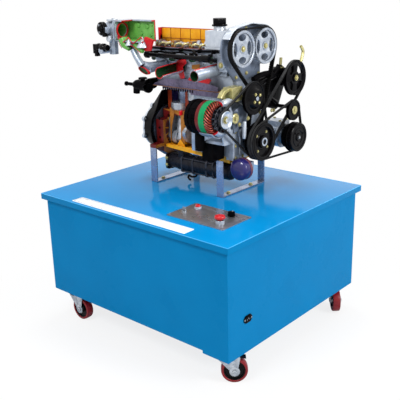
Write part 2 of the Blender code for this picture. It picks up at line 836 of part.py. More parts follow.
def build_caster(name, x, y, heading, zinc, tyre, pedal_finish, braked):
    """One swivel caster; its own frame stands on the floor under its pivot, with the trail at +X."""
    frame = empty(f"{name}_pivot", (x, y, 0.0), turn=heading)
    axle = axle_height()
    half = WHEEL_WIDTH / 2
    inner = half + FORK_GAP
    outer = inner + FORK_PLATE
    crown_low = WHEEL_RADIUS * 2 + FORK_GAP
    crown_high = crown_low + FORK_PLATE
    top = CASTER_HEIGHT - SEAT
    head = turned("Z", [(crown_low, 0.0), (crown_low, FORK_CROWN), (crown_high, FORK_CROWN),
                        (crown_high + FORK_PLATE, SWIVEL_HEAD), (top - FORK_PLATE, FORK_CROWN - FORK_PLATE),
                        (top, FORK_CROWN - FORK_PLATE), (top, 0.0)], steps=SMALL_STEPS)
    fork = solid(f"caster_fork_{name}", head, zinc, frame)
    crown_half = FORK_CROWN * math.cos(math.asin(inner / FORK_CROWN))
    corners = [(-crown_half, crown_high), (crown_half, crown_high), (crown_half, crown_low), (-crown_half, crown_low)]
    if braked:
        corners += circle(pedal_pin(axle), PEDAL_EAR, SMALL_STEPS)
    cheek = hull(corners + circle((CASTER_TRAIL, axle), FORK_BOSS, SMALL_STEPS))
    for near, far in ((-outer, -inner), (inner, outer)):
        join(fork, prism("Y", cheek, near, far))
    join(fork, rod("Y", (CASTER_TRAIL, axle), AXLE_RADIUS, -outer - AXLE_END, outer + AXLE_END))
    bore = AXLE_RADIUS + SEAT
    profile = [(-half + WHEEL_DISH, bore), (-half, WHEEL_CORE), (-half, WHEEL_RADIUS - WHEEL_SHOULDER),
               (-half + WHEEL_SHOULDER, WHEEL_RADIUS), (half - WHEEL_SHOULDER, WHEEL_RADIUS),
               (half, WHEEL_RADIUS - WHEEL_SHOULDER), (half, WHEEL_CORE), (half - WHEEL_DISH, bore)]
    wheel = turned("Y", profile, steps=WHEEL_STEPS, phase=math.pi / WHEEL_STEPS, ring=True)
    solid(f"caster_wheel_{name}", wheel, tyre, frame, (CASTER_TRAIL, 0.0, axle))
    if braked:
        build_pedal(name, frame, axle, inner, pedal_finish)
    return frame


def pedal_pin(axle):
    """The brake pedal's pin, in the caster's own frame."""
    return CASTER_TRAIL + PEDAL_REACH, axle + PEDAL_RISE + PEDAL_PIN * 2


def build_pedal(name, frame, axle, inner, pedal_finish):
    """The brake pedal on its cross pin behind the wheel's top."""
    pin_x, pin_z = pedal_pin(axle)
    half = PEDAL_WIDTH / 2
    drop = PEDAL_LENGTH * PEDAL_SLOPE_SHARE
    plate = [(0.0, -PEDAL_THICK / 2), (PEDAL_LENGTH, -drop - PEDAL_THICK / 2),
             (PEDAL_LENGTH, -drop + PEDAL_THICK / 2), (0.0, PEDAL_THICK / 2)]
    pedal = solid(f"brake_pedal_{name}", prism("Y", plate, -half, half), pedal_finish, frame, (pin_x, 0.0, pin_z))
    reach = inner - SEAT
    join(pedal, rod("Y", (0.0, 0.0), PEDAL_PIN, -reach, reach))
    return pedal


def build_controls(steel, black, red, pale):
    """The control panel with its button, stop, knob and key, and the mains inlet."""
    low = DECK_TOP + SEAT
    top = low + PANEL_THICK
    half_x, half_y = PANEL_LENGTH / 2, PANEL_WIDTH / 2
    outline = rounded_rectangle((PANEL_X - half_x, PANEL_Y - half_y), (PANEL_X + half_x, PANEL_Y + half_y),
                                PANEL_CORNER)
    panel = solid("console_plate", prism("Z", outline, low, top), steel)
    stop_top = top + STOP_COLLAR_HEIGHT
    start_top = top + START_COLLAR_HEIGHT
    join(panel, rod("Z", (STOP_X, STOP_Y), STOP_COLLAR, low, stop_top, SHAFT_STEPS))
    join(panel, rod("Z", (START_X, START_Y), START_COLLAR, low, start_top, SHAFT_STEPS))
    cut(panel, rod("Z", (STOP_X, STOP_Y), STOP_STEM + SEAT, low + PANEL_THICK / 2, stop_top + OVERRUN, SHAFT_STEPS))
    cut(panel, rod("Z", (START_X, START_Y), START_CAP + SEAT, low + PANEL_THICK / 2, start_top + OVERRUN,
                   SHAFT_STEPS))
    for x, y in ((KNOB_X, KNOB_Y), (KEY_X, KEY_Y)):
        cut(panel, rod("Z", (x, y), KNOB_SPINDLE + SEAT, low - OVERRUN, top + OVERRUN, SHAFT_STEPS))
    head = STOP_TRAVEL + SEAT
    stop = [(-STOP_COLLAR_HEIGHT + STOP_TRAVEL, 0.0), (-STOP_COLLAR_HEIGHT + STOP_TRAVEL, STOP_STEM),
            (head, STOP_STEM), (head, STOP_HEAD), (head + STOP_HEAD_HEIGHT / 2, STOP_HEAD),
            (head + STOP_HEAD_HEIGHT, STOP_HEAD / 2), (head + STOP_HEAD_HEIGHT, 0.0)]
    solid("estop_button", turned("Z", stop, steps=SHAFT_STEPS), red, None, (STOP_X, STOP_Y, stop_top))
    cap = [(-START_COLLAR_HEIGHT + START_TRAVEL, 0.0), (-START_COLLAR_HEIGHT + START_TRAVEL, START_CAP),
           (START_TRAVEL + PANEL_THICK, START_CAP), (START_CAP_HEIGHT - START_TRAVEL, START_CAP / 2),
           (START_CAP_HEIGHT - START_TRAVEL, 0.0)]
    solid("start_button", turned("Z", cap, steps=SHAFT_STEPS), red, None, (START_X, START_Y, start_top))
    knob = [(-PANEL_THICK, 0.0), (-PANEL_THICK, KNOB_SPINDLE), (SEAT, KNOB_SPINDLE), (SEAT, KNOB_RADIUS),
            (KNOB_HEIGHT, KNOB_RADIUS - PANEL_THICK), (KNOB_HEIGHT, 0.0)]
    speed = solid("speed_knob", turned("Z", knob, steps=SHAFT_STEPS), black, None, (KNOB_X, KNOB_Y, top))
    cut(speed, box((-PANEL_THICK / 4, KNOB_RADIUS / 2, KNOB_HEIGHT - PANEL_THICK / 3),
                   (PANEL_THICK / 4, KNOB_RADIUS + OVERRUN, KNOB_HEIGHT + OVERRUN)))
    barrel = [(-PANEL_THICK, 0.0), (-PANEL_THICK, KNOB_SPINDLE), (SEAT, KNOB_SPINDLE), (SEAT, KEY_RADIUS),
              (KEY_HEIGHT, KEY_RADIUS), (KEY_HEIGHT, 0.0)]
    key = solid("key_switch", turned("Z", barrel, steps=SHAFT_STEPS), black, None, (KEY_X, KEY_Y, top))
    grip = KEY_GRIP_WIDTH / 2
    reach = KEY_RADIUS - KEY_GRIP_WIDTH / 2
    join(key, box((-grip, -reach, KEY_HEIGHT / 2), (grip, reach, KEY_HEIGHT + KEY_GRIP_HEIGHT)))
    build_inlet(black)
    return panel


def build_inlet(black):
    """The mains inlet on the belt end of the cabinet, its flange pointed at both screws."""
    face = DECK_LENGTH / 2 - CABINET_INSET + SEAT
    half, rise = INLET_WIDTH / 2, INLET_HEIGHT / 2
    tip = rise * INLET_TIP_SHARE
    middle = half * INLET_SOCKET_SHARE
    outline = [(INLET_Y - half, INLET_Z - tip), (INLET_Y - middle, INLET_Z - rise),
               (INLET_Y + middle, INLET_Z - rise), (INLET_Y + half, INLET_Z - tip),
               (INLET_Y + half, INLET_Z + tip), (INLET_Y + middle, INLET_Z + rise),
               (INLET_Y - middle, INLET_Z + rise), (INLET_Y - half, INLET_Z + tip)]
    inlet = solid("mains_inlet", prism("X", outline, face, face + INLET_FLANGE), black)
    inner, step = middle * 0.8, rise * 0.6
    cut(inlet, box((face + INLET_FLANGE / 3, INLET_Y - inner, INLET_Z - step),
                   (face + INLET_FLANGE + OVERRUN, INLET_Y + inner, INLET_Z + step)))
    return inlet


def build_stand(name, x, width, steel):
    """A strip on the deck with a flat leg at each end, bent up from one bar."""
    low = DECK_TOP + SEAT
    top = DECK_TOP + STAND_HEIGHT
    near, far = CRANK_Y - STAND_HALF, CRANK_Y + STAND_HALF
    outline = [(near, low), (far, low), (far, top), (far - LEG_THICK, top), (far - LEG_THICK, low + STRIP_THICK),
               (near + LEG_THICK, low + STRIP_THICK), (near + LEG_THICK, top), (near, top)]
    return solid(name, prism("X", outline, x, x + width), steel)


def build_block(engine, metal):
    """The cylinder block, sectioned on the operator's side over cylinders 3 and 4."""
    outline = [(-BLOCK_HALF, CASE_BOTTOM), (BLOCK_HALF, CASE_BOTTOM), (BLOCK_HALF, CASE_SHOULDER),
               (BARREL_HALF, BARREL_FOOT), (BARREL_HALF, BLOCK_DECK - DECK_FLANGE),
               (BLOCK_HALF, BLOCK_DECK - DECK_FLANGE), (BLOCK_HALF, BLOCK_DECK), (-BLOCK_HALF, BLOCK_DECK),
               (-BLOCK_HALF, BLOCK_DECK - DECK_FLANGE), (-BARREL_HALF, BLOCK_DECK - DECK_FLANGE),
               (-BARREL_HALF, BARREL_FOOT), (-BLOCK_HALF, CASE_SHOULDER)]
    block = solid("cylinder_block", prism("X", outline, BLOCK_REAR, BLOCK_FRONT), metal, engine)
    behind = -BLOCK_HALF - OVERRUN
    cut(block, box((BLOCK_REAR - OVERRUN, behind, CASE_BOTTOM - OVERRUN),
                   (CUT_FRONT, CASE_CUT, BLOCK_DECK + OVERRUN)))
    cut(block, box((BLOCK_REAR - OVERRUN, behind, BARREL_FOOT),
                   (CUT_FRONT, BARREL_CUT, BLOCK_DECK - DECK_FLANGE)))
    flange = [(u, v) for u, v in circle((0.0, 0.0), REAR_FLANGE_RADIUS) if v < BARREL_FOOT]
    flange = hull([(max(u, REAR_FLANGE_CUT), v) for u, v in flange])
    join(block, prism("X", flange, BLOCK_REAR, BLOCK_REAR + REAR_FLANGE_THICK))
    add_block_fittings(block)
    for cylinder in range(1, len(CRANK_PHASES) + 1):
        x = bore_x(cylinder)
        half = (BORE_PITCH - WEB_THICK) / 2
        cut(block, prism("X", bay_outline(), x - half, x + half))
        if cylinder in VISIBLE_CYLINDERS:
            cut(block, rod("Z", (x, 0.0), BORE, BORE_FOOT - OVERRUN, BLOCK_DECK + OVERRUN, ROUND_STEPS))
    cut(block, rod("X", (0.0, 0.0), JOURNAL + SEAT, BLOCK_REAR - OVERRUN, BLOCK_FRONT + FRONT_CASE_THICK + OVERRUN,
                   ROUND_STEPS))
    cut(block, rod("X", (PUMP_Y, PUMP_Z), PUMP_SHAFT + SEAT, BLOCK_FRONT - OVERRUN / 2,
                   SPROCKET_X + SPROCKET_WIDTH + OVERRUN, ROUND_STEPS))
    return block


def bay_outline():
    """A crank bay: round over the crankshaft, with straight sides down to the pan."""
    side = BAY_RADIUS - WEB_THICK
    fall = math.asin(math.sqrt(1.0 - (side / BAY_RADIUS) ** 2))
    arc = circle((0.0, 0.0), BAY_RADIUS, ROUND_STEPS, -fall, math.pi + 2 * fall)
    low = CASE_BOTTOM - OVERRUN
    return [(side, low)] + arc + [(-side, low)]


def add_block_fittings(block):
    """The front casting, water pump nose, filter pad and the ears that stand on the legs."""
    front = BLOCK_FRONT + FRONT_CASE_THICK
    case = box((BLOCK_FRONT - OVERRUN, FRONT_CASE_NEAR, FRONT_CASE_LOW), (front, FRONT_CASE_FAR, FRONT_CASE_HIGH))
    join(block, case)
    nose = SPROCKET_X + SPROCKET_WIDTH
    spigot = BLOCK_DECK - PUMP_Z - SEAT
    join(block, turned("X", [(BLOCK_FRONT - OVERRUN, 0.0), (BLOCK_FRONT - OVERRUN, spigot), (BLOCK_FRONT, spigot),
                             (BLOCK_FRONT, PUMP_BODY), (nose, PUMP_BODY), (nose, 0.0)], (PUMP_Y, PUMP_Z)))
    join(block, box((BLOCK_FRONT - OVERRUN / 2, FILTER_PAD_NEAR, FILTER_PAD_LOW),
                    (BLOCK_FRONT + FILTER_PAD_REACH, FILTER_PAD_FAR, FILTER_PAD_HIGH)))
    join(block, box((BLOCK_FRONT - OVERRUN / 2, FILTER_PAD_NEAR, FILTER_PAD_LOW),
                    (front, FILTER_PAD_FAR, FRONT_CASE_LOW + OVERRUN)))
    ear_low = STAND_HEIGHT - CRANK_ABOVE_DECK + SEAT
    rear = (REAR_STAND_X, REAR_STAND_X + REAR_STAND_WIDTH)
    front_leg = (FRONT_STAND_X, FRONT_STAND_X + FRONT_STAND_WIDTH)
    ears = ((rear, -NEAR_EAR_INNER, -STAND_HALF), (rear, EAR_INNER, STAND_HALF), (front_leg, EAR_INNER, STAND_HALF))
    for (start, end), inner, outer in ears:
        low_y, high_y = sorted((inner, outer))
        join(block, box((start, low_y, ear_low), (min(end, BLOCK_FRONT), high_y, ear_low + EAR_HEIGHT)))
    return block


def build_crankshaft(engine, steel):
    """The crankshaft with its throws, its counterweights and the flywheel bolted to its end."""
    rear = BLOCK_REAR - FLYWHEEL_GAP
    nose = belt_stations()["compressor"][1] + GROOVE_RIM
    profile = [(rear - FLYWHEEL_THICK, 0.0), (rear - FLYWHEEL_THICK, FLYWHEEL_RADIUS), (rear, FLYWHEEL_RADIUS),
               (rear, JOURNAL)]
    shaft_front = BLOCK_FRONT + FRONT_CASE_THICK
    profile += [(shaft_front, JOURNAL), (shaft_front, NOSE_RADIUS), (nose, NOSE_RADIUS), (nose, 0.0)]
    shaft = solid("crankshaft", turned("X", profile), steel, engine)
    pin_half = (BORE_PITCH - WEB_THICK) / 2 - CRANK_WEB
    pin_half -= SEAT * 2
    for cylinder in range(1, len(CRANK_PHASES) + 1):
        x = bore_x(cylinder)
        gap = pin_half + CRANK_WEB / 4
        cut(shaft, rod("X", (0.0, 0.0), JOURNAL + OVERRUN / 4, x - gap, x + gap))
    for cylinder in range(1, len(CRANK_PHASES) + 1):
        x = bore_x(cylinder)
        side, rise = crankpin(cylinder)
        heading = math.atan2(-rise, -side)
        weight = circle((0.0, 0.0), COUNTERWEIGHT, SMALL_STEPS, heading - COUNTERWEIGHT_SPREAD,
                        2 * COUNTERWEIGHT_SPREAD)
        cheek = hull(weight + circle((side, rise), WEB_CHEEK, SMALL_STEPS))
        for start in (x - pin_half - CRANK_WEB, x + pin_half):
            join(shaft, prism("X", cheek, start, start + CRANK_WEB))
        join(shaft, rod("X", (side, rise), CRANKPIN, x - pin_half - CRANK_WEB / 2, x + pin_half + CRANK_WEB / 2))
    return shaft


def build_piston(engine, cylinder, metal):
    """A piston with its pin, its ring grooves and a hollow skirt."""
    radius = BORE - PISTON_CLEARANCE
    low, high = -PISTON_SKIRT, PISTON_CROWN
    inner = radius - PISTON_WALL
    profile = [(low, inner), (low, radius)]
    for ring in range(PISTON_RINGS, 0, -1):
        groove = high - ring * RING_PITCH
        profile += [(groove, radius), (groove, radius - RING_GROOVE),
                    (groove + RING_WIDTH, radius - RING_GROOVE), (groove + RING_WIDTH, radius)]
    profile += [(high, radius), (high, 0.0)]
    ceiling = high - PISTON_HEAD
    profile = [(ceiling, 0.0), (ceiling, inner)] + profile
    place = (bore_x(cylinder), 0.0, wrist_pin_height(cylinder))
    piston = solid(f"piston_{cylinder}", turned("Z", profile), metal, engine, place)
    join(piston, rod("X", (0.0, 0.0), WRIST_PIN, -inner - PISTON_WALL / 2, inner + PISTON_WALL / 2))
    return piston


def build_rod(engine, cylinder, steel):
    """A connecting rod from the crankpin to the piston's pin."""
    side, rise = crankpin(cylinder)
    top = (0.0, wrist_pin_height(cylinder))
    x = bore_x(cylinder)
    half = ROD_THICK / 2
    lean = math.atan2(top[1] - rise, -side)
    across = (math.cos(lean + math.pi / 2) * ROD_BEAM / 2, math.sin(lean + math.pi / 2) * ROD_BEAM / 2)
    beam = [(side - across[0], rise - across[1]), (side + across[0], rise + across[1]),
            (top[0] + across[0], top[1] + across[1]), (top[0] - across[0], top[1] - across[1])]
    piece = solid(f"con_rod_{cylinder}", rod("X", (side, rise), BIG_END, x - half, x + half, ROUND_STEPS), steel,
                  engine)
    join(piece, prism("X", beam, x - half / 2, x + half / 2))
    join(piece, rod("X", top, SMALL_END, x - half, x + half, SMALL_STEPS + 4))
    cut(piece, rod("X", (side, rise), CRANKPIN + SEAT, x - half - OVERRUN, x + half + OVERRUN))
    cut(piece, rod("X", top, WRIST_PIN + SEAT, x - half - OVERRUN, x + half + OVERRUN))
    return piece


def build_lower_end(engine, pan_paint, black):
    """The oil pan, the bell housing and the drive motor slung under the pan."""
    top = CASE_BOTTOM - SEAT
    outline = [(PAN_REAR, pan_depth(PAN_REAR)), (PAN_FRONT, pan_depth(PAN_FRONT)), (PAN_FRONT, top), (PAN_REAR, top)]
    pan = solid("oil_pan", prism("Y", outline, PAN_NEAR, PAN_FAR), pan_paint, engine)
    inner = [(PAN_REAR + PAN_RIM, pan_depth(PAN_REAR + PAN_RIM) + PAN_WALL),
             (PAN_FRONT - PAN_RIM, pan_depth(PAN_FRONT - PAN_RIM) + PAN_WALL),
             (PAN_FRONT - PAN_RIM, top + OVERRUN), (PAN_REAR + PAN_RIM, top + OVERRUN)]
    cut(pan, prism("Y", inner, PAN_NEAR + PAN_RIM, PAN_FAR - PAN_RIM))
    build_bell(engine, black)
    build_motor(engine, black)
    return pan


def build_bell(engine, black):
    """The bell housing, tapering down from the block's top to its round rear face."""
    front = BLOCK_REAR - SEAT
    rear = front - BELL_LENGTH
    low_face = circle((0.0, 0.0), BELL_REAR_RADIUS)
    wide_face = circle((0.0, 0.0), REAR_FLANGE_RADIUS)
    tall_face = [(u, BELL_TOWER_HEIGHT) if v > 0 and abs(u) < BELL_TOWER_HALF else (u, v) for u, v in wide_face]
    bell = solid("bell_housing", loft("X", [(rear, low_face), (front, tall_face)]), black, engine)
    inner = REAR_FLANGE_RADIUS - BELL_WALL
    hollow = [(rear + BELL_WALL, 0.0), (rear + BELL_WALL, BELL_REAR_RADIUS - BELL_WALL), (front, inner),
              (front + OVERRUN, inner), (front + OVERRUN, 0.0)]
    cut(bell, turned("X", hollow))
    return bell


def build_motor(engine, black):
    """The drive motor, on two saddles that follow the pan's slope."""
    centre = (MOTOR_Y, MOTOR_Z)
    step = MOTOR_RADIUS - MOTOR_STEP
    profile = [(MOTOR_REAR, 0.0), (MOTOR_REAR, MOTOR_RADIUS), (MOTOR_REAR + MOTOR_FLANGE, MOTOR_RADIUS),
               (MOTOR_REAR + MOTOR_FLANGE, step), (MOTOR_REAR + MOTOR_END, step),
               (MOTOR_REAR + MOTOR_END, MOTOR_RADIUS), (MOTOR_FRONT - MOTOR_BELL, MOTOR_RADIUS),
               (MOTOR_FRONT, step), (MOTOR_FRONT, 0.0)]
    motor = solid("drive_motor", turned("X", profile, centre, phase=math.pi / ROUND_STEPS), black, engine)
    for start in (SADDLE_REAR, SADDLE_FRONT):
        end = start + SADDLE_WIDTH
        saddle = [(start, MOTOR_Z), (end, MOTOR_Z), (end, pan_depth(end) - SEAT), (start, pan_depth(start) - SEAT)]
        join(motor, prism("Y", saddle, MOTOR_Y - SADDLE_HALF, MOTOR_Y + SADDLE_HALF))
    return motor


def build_head(engine, metal, cover_paint):
    """The cylinder head, open over the intake camshaft, and the sectioned cam cover."""
    outline = [(PORT_FACE, HEAD_BOTTOM), (HEAD_FAR, HEAD_BOTTOM), (HEAD_FAR, HEAD_TOP), (HEAD_NEAR, HEAD_TOP),
               (HEAD_NEAR, PORT_TOP), (PORT_FACE, PORT_TOP)]
    head = solid("cylinder_head", prism("X", outline, BLOCK_REAR, BLOCK_FRONT), metal, engine)
    near, far = INTAKE_CAM_Y - CAM_WELL_HALF, INTAKE_CAM_Y + CAM_WELL_HALF
    cut(head, box((CAM_WELL_REAR, near, CAM_WELL_FLOOR), (BLOCK_FRONT - OVERRUN, far, HEAD_TOP + OVERRUN)))
    for x in bearing_places():
        join(head, box((x - CAP_WIDTH / 2, INTAKE_CAM_Y - CAP_HALF, CAM_WELL_FLOOR - OVERRUN / 2),
                       (x + CAP_WIDTH / 2, INTAKE_CAM_Y + CAP_HALF, CAP_TOP)))
    shafts = ((INTAKE_CAM_Y, CAM_WELL_REAR, SHAFT_STEPS), (EXHAUST_CAM_Y, BLOCK_FRONT - EXHAUST_STUB, ROUND_STEPS))
    for cam_y, start, steps in shafts:
        start -= OVERRUN / 4
        cut(head, rod("X", (cam_y, CAM_Z), bearing_bore(CAM_SHAFT, steps), start, BLOCK_FRONT + OVERRUN, steps))
    low = HEAD_TOP + SEAT
    wall_outline = [(COVER_WALL_Y, low), (HEAD_FAR, low), (HEAD_FAR, COVER_TOP - COVER_SHELL),
                    (HEAD_FAR - COVER_SHELL, COVER_TOP), (COVER_WALL_Y + COVER_WALL, COVER_TOP),
                    (COVER_WALL_Y + COVER_WALL, COVER_WALL_TOP), (COVER_WALL_Y, COVER_WALL_TOP)]
    cover = solid("cam_cover", prism("X", wall_outline, BLOCK_REAR, BLOCK_FRONT - OVERRUN), cover_paint, engine)
    join(cover, box((COVER_FRONT_X, HEAD_NEAR, low), (BLOCK_FRONT, HEAD_FAR, COVER_FRONT_TOP)))
    cut(cover, box((BLOCK_REAR + COVER_SHELL, COVER_WELL_NEAR, low - OVERRUN),
                   (BLOCK_FRONT - COVER_SHELL, COVER_WELL_FAR, COVER_WELL_TOP)))
    cut(cover, box((COVER_FRONT_X - OVERRUN, near, low - OVERRUN),
                   (BLOCK_FRONT - COVER_SHELL, far, COVER_WELL_TOP)))
    neck_low = COVER_FRONT_TOP - COVER_SHELL
    join(cover, rod("Z", (FILLER_X, FILLER_Y), FILLER_NECK, neck_low, FILLER_TOP, ROUND_STEPS))
    cut(cover, rod("Z", (FILLER_X, FILLER_Y), FILLER_BORE, FILLER_TOP - FILLER_DEPTH, FILLER_TOP + OVERRUN,
                   ROUND_STEPS))
    for cam_y, _, steps in shafts:
        cut(cover, rod("X", (cam_y, CAM_Z), bearing_bore(CAM_SHAFT, steps), BLOCK_FRONT - COVER_SHELL - OVERRUN,
                       BLOCK_FRONT + OVERRUN, steps))
    return head


def bearing_bore(shaft, steps):
    """The corner radius of a bore whose flats clear a shaft at every angle."""
    return (shaft + SEAT) / math.cos(math.pi / steps)


def bearing_places():
    """The camshaft's bearings, half way between the cylinders and at the rear."""
    between = [bore_x(c) - BORE_PITCH / 2 for c in (1, 2, 3)]
    return between + [CAM_WELL_REAR + CAP_WIDTH / 2]


def build_camshaft(engine, steel):
    """The intake camshaft with two lobes for each cylinder that the section shows."""
    origin = (0.0, INTAKE_CAM_Y, CAM_Z)
    flange = BLOCK_FRONT + COVER_PLATE_THICK + SEAT * 2
    profile = [(CAM_WELL_REAR + CAP_WIDTH / 4, 0.0), (CAM_WELL_REAR + CAP_WIDTH / 4, CAM_SHAFT),
               (flange, CAM_SHAFT), (flange, CAM_NOSE_RADIUS), (SPROCKET_X + SPROCKET_WIDTH / 2, CAM_NOSE_RADIUS),
               (SPROCKET_X + SPROCKET_WIDTH / 2, 0.0)]
    shaft = solid("intake_camshaft", turned("X", profile, steps=SHAFT_STEPS), steel, engine, origin)
    for cylinder, phase in enumerate(CAM_PHASES, 1):
        angle = math.radians(phase)
        tip = (CAM_LIFT + CAM_BASE - CAM_NOSE) * math.cos(angle), (CAM_LIFT + CAM_BASE - CAM_NOSE) * math.sin(angle)
        lobe = hull(circle((0.0, 0.0), CAM_BASE, SMALL_STEPS) + circle(tip, CAM_NOSE, SMALL_STEPS))
        for side in (-1, 1):
            x = bore_x(cylinder) + side * LOBE_OFFSET
            join(shaft, prism("X", lobe, x - CAM_LOBE / 2, x + CAM_LOBE / 2))
    return shaft


def build_filler_cap(engine, black):
    """The oil filler cap, plugged into its neck."""
    plug = FILLER_BORE - SEAT * 2
    profile = [(-CAP_PLUG_DEPTH, 0.0), (-CAP_PLUG_DEPTH, plug), (SEAT, plug), (SEAT, CAP_FLANGE),
               (CAP_FLANGE_HEIGHT, CAP_FLANGE), (CAP_FLANGE_HEIGHT, CAP_GRIP), (CAP_HEIGHT - SEAT * 4, CAP_GRIP),
               (CAP_HEIGHT, CAP_GRIP - SEAT * 4), (CAP_HEIGHT, 0.0)]
    return solid("oil_filler_cap", turned("Z", profile), black, engine, (FILLER_X, FILLER_Y, FILLER_TOP))


def plate_outline():
    """The timing cover's outline: round over both sprockets, narrowing to its foot."""
    arcs = circle((INTAKE_CAM_Y, CAM_Z), COVER_PLATE_RADIUS) + circle((EXHAUST_CAM_Y, CAM_Z), COVER_PLATE_RADIUS)
    arcs += circle(((INTAKE_CAM_Y + EXHAUST_CAM_Y) / 2, CAM_Z), COVER_PLATE_MIDDLE)
    return hull(arcs + [(COVER_PLATE_FOOT_NEAR, COVER_PLATE_FOOT_Z), (COVER_PLATE_FOOT_FAR, COVER_PLATE_FOOT_Z)])


def arch_path():
    """The middle line of the arched rim, from its far foot over both sprockets to its near foot."""
    inset = COVER_PLATE_RADIUS - ARCH_THICK / 2
    middle_y = (INTAKE_CAM_Y + EXHAUST_CAM_Y) / 2
    lean = math.acos((COVER_PLATE_MIDDLE - COVER_PLATE_RADIUS) / (EXHAUST_CAM_Y - middle_y))
    far_start = math.asin((ARCH_FOOT_FAR - CAM_Z) / inset)
    near_start = math.asin((ARCH_FOOT_NEAR - CAM_Z) / inset)
    stretches = ((EXHAUST_CAM_Y, inset, SMALL_STEPS // 2, far_start, lean - far_start),
                 (middle_y, COVER_PLATE_MIDDLE - ARCH_THICK / 2, SMALL_STEPS // 4, lean, math.pi - lean * 2),
                 (INTAKE_CAM_Y, inset, SMALL_STEPS // 2, math.pi - lean, lean - near_start))
    path = []
    for centre_y, radius, steps, start, sweep in stretches:
        for out_y, out_z in circle((0.0, 0.0), 1.0, steps, start, sweep):
            path.append((centre_y + radius * out_y, CAM_Z + radius * out_z, -out_y, -out_z))
    return path


def build_timing_cover(engine, metal):
    """The plate behind the sprockets with its arched rim."""
    rear = BLOCK_FRONT + SEAT
    front = rear + COVER_PLATE_THICK
    cover = solid("timing_cover", prism("X", plate_outline(), rear, front), metal, engine)
    cut(cover, box((rear - OVERRUN, COVER_PLATE_FOOT_FAR, COVER_PLATE_FOOT_Z - OVERRUN),
                   (front + OVERRUN, EXHAUST_CAM_Y + COVER_PLATE_RADIUS + OVERRUN, COVER_PLATE_STEP_Z)))
    join(cover, ribbon(arch_path(), ARCH_THICK, rear + COVER_PLATE_THICK / 2, rear + ARCH_DEPTH, closed=False))
    for cam_y in (INTAKE_CAM_Y, EXHAUST_CAM_Y):
        cut(cover, rod("X", (cam_y, CAM_Z), SPROCKET_HUB + SEAT, rear - OVERRUN, front + OVERRUN, ROUND_STEPS))
    return cover


def build_sprocket(engine, name, cam_y, bored, metal):
    """A cam sprocket with four round windows and its centre bolt."""
    rear, front = SPROCKET_X, SPROCKET_X + SPROCKET_WIDTH
    web_rear = rear + (SPROCKET_WIDTH - SPROCKET_WEB) / 2
    web_front = web_rear + SPROCKET_WEB
    rim = SPROCKET_RADIUS - SPROCKET_RIM
    bolt = web_front + SPROCKET_BOLT_HEIGHT
    profile = [(web_rear, SPROCKET_HUB), (web_rear, rim), (rear, rim), (rear, SPROCKET_RADIUS),
               (front, SPROCKET_RADIUS), (front, rim), (web_front, rim), (web_front, SPROCKET_BOLT),
               (bolt, SPROCKET_BOLT), (bolt, 0.0)]
    back = rear - SPROCKET_HUB / 2 if bored else BLOCK_FRONT - EXHAUST_STUB + SEAT
    if bored:
        hub = [(rear, 0.0), (rear, SPROCKET_HUB)]
    else:
        shoulder = BLOCK_FRONT + COVER_PLATE_THICK
        hub = [(back, 0.0), (back, CAM_SHAFT), (shoulder, CAM_SHAFT), (shoulder, SPROCKET_HUB)]
    sprocket = solid(name, turned("X", hub + profile), metal, engine, (0.0, cam_y, CAM_Z))
    for k in range(4):
        angle = k * math.pi / 2
        spot = (SPROCKET_WINDOW_AT * math.cos(angle), SPROCKET_WINDOW_AT * math.sin(angle))
        cut(sprocket, rod("X", spot, SPROCKET_WINDOW, rear - OVERRUN, front + OVERRUN))
    if bored:
        cut(sprocket, rod("X", (0.0, 0.0), CAM_NOSE_RADIUS + SEAT, rear - OVERRUN,
                          rear + SPROCKET_WIDTH / 2 + SEAT, SHAFT_STEPS))
    return sprocket


def build_belts(engine, rubber):
    """The timing belt and the three accessory belts, at rest on their wheels."""
    middle = SPROCKET_X + SPROCKET_WIDTH / 2
    timing = [(0.0, 0.0, CRANK_SPROCKET, 1), (EXHAUST_CAM_Y, CAM_Z, SPROCKET_RADIUS, 1),
              (INTAKE_CAM_Y, CAM_Z, SPROCKET_RADIUS, 1), (PUMP_Y, PUMP_Z, PUMP_BODY, -1)]
    path = belt_path(timing, TIMING_THICK)
    solid("timing_belt", ribbon(path, TIMING_THICK, middle - TIMING_WIDTH / 2, middle + TIMING_WIDTH / 2), rubber,
          engine)
    crank = (0.0, 0.0, CRANK_PULLEY - GROOVE_DEPTH, 1)
    loops = {
        "alternator": [crank, (PUMP_Y, PUMP_Z, WATER_PULLEY - GROOVE_DEPTH, 1),
                       (ALTERNATOR_Y, ALTERNATOR_Z, ALTERNATOR_PULLEY - GROOVE_DEPTH, 1)],
        "steering": [crank, (STEERING_Y, STEERING_Z, STEERING_PULLEY - GROOVE_DEPTH, 1)],
        "compressor": [crank, (COMPRESSOR_Y, COMPRESSOR_Z, CLUTCH_RADIUS - GROOVE_DEPTH, 1),
                       (IDLER_Y, IDLER_Z, IDLER_RADIUS - GROOVE_DEPTH, 1)],
    }
    for name, wheels in loops.items():
        low, high = belt_stations()[name]
        solid(f"{name}_belt", ribbon(belt_path(wheels, BELT_THICK), BELT_THICK, low, high), rubber, engine)


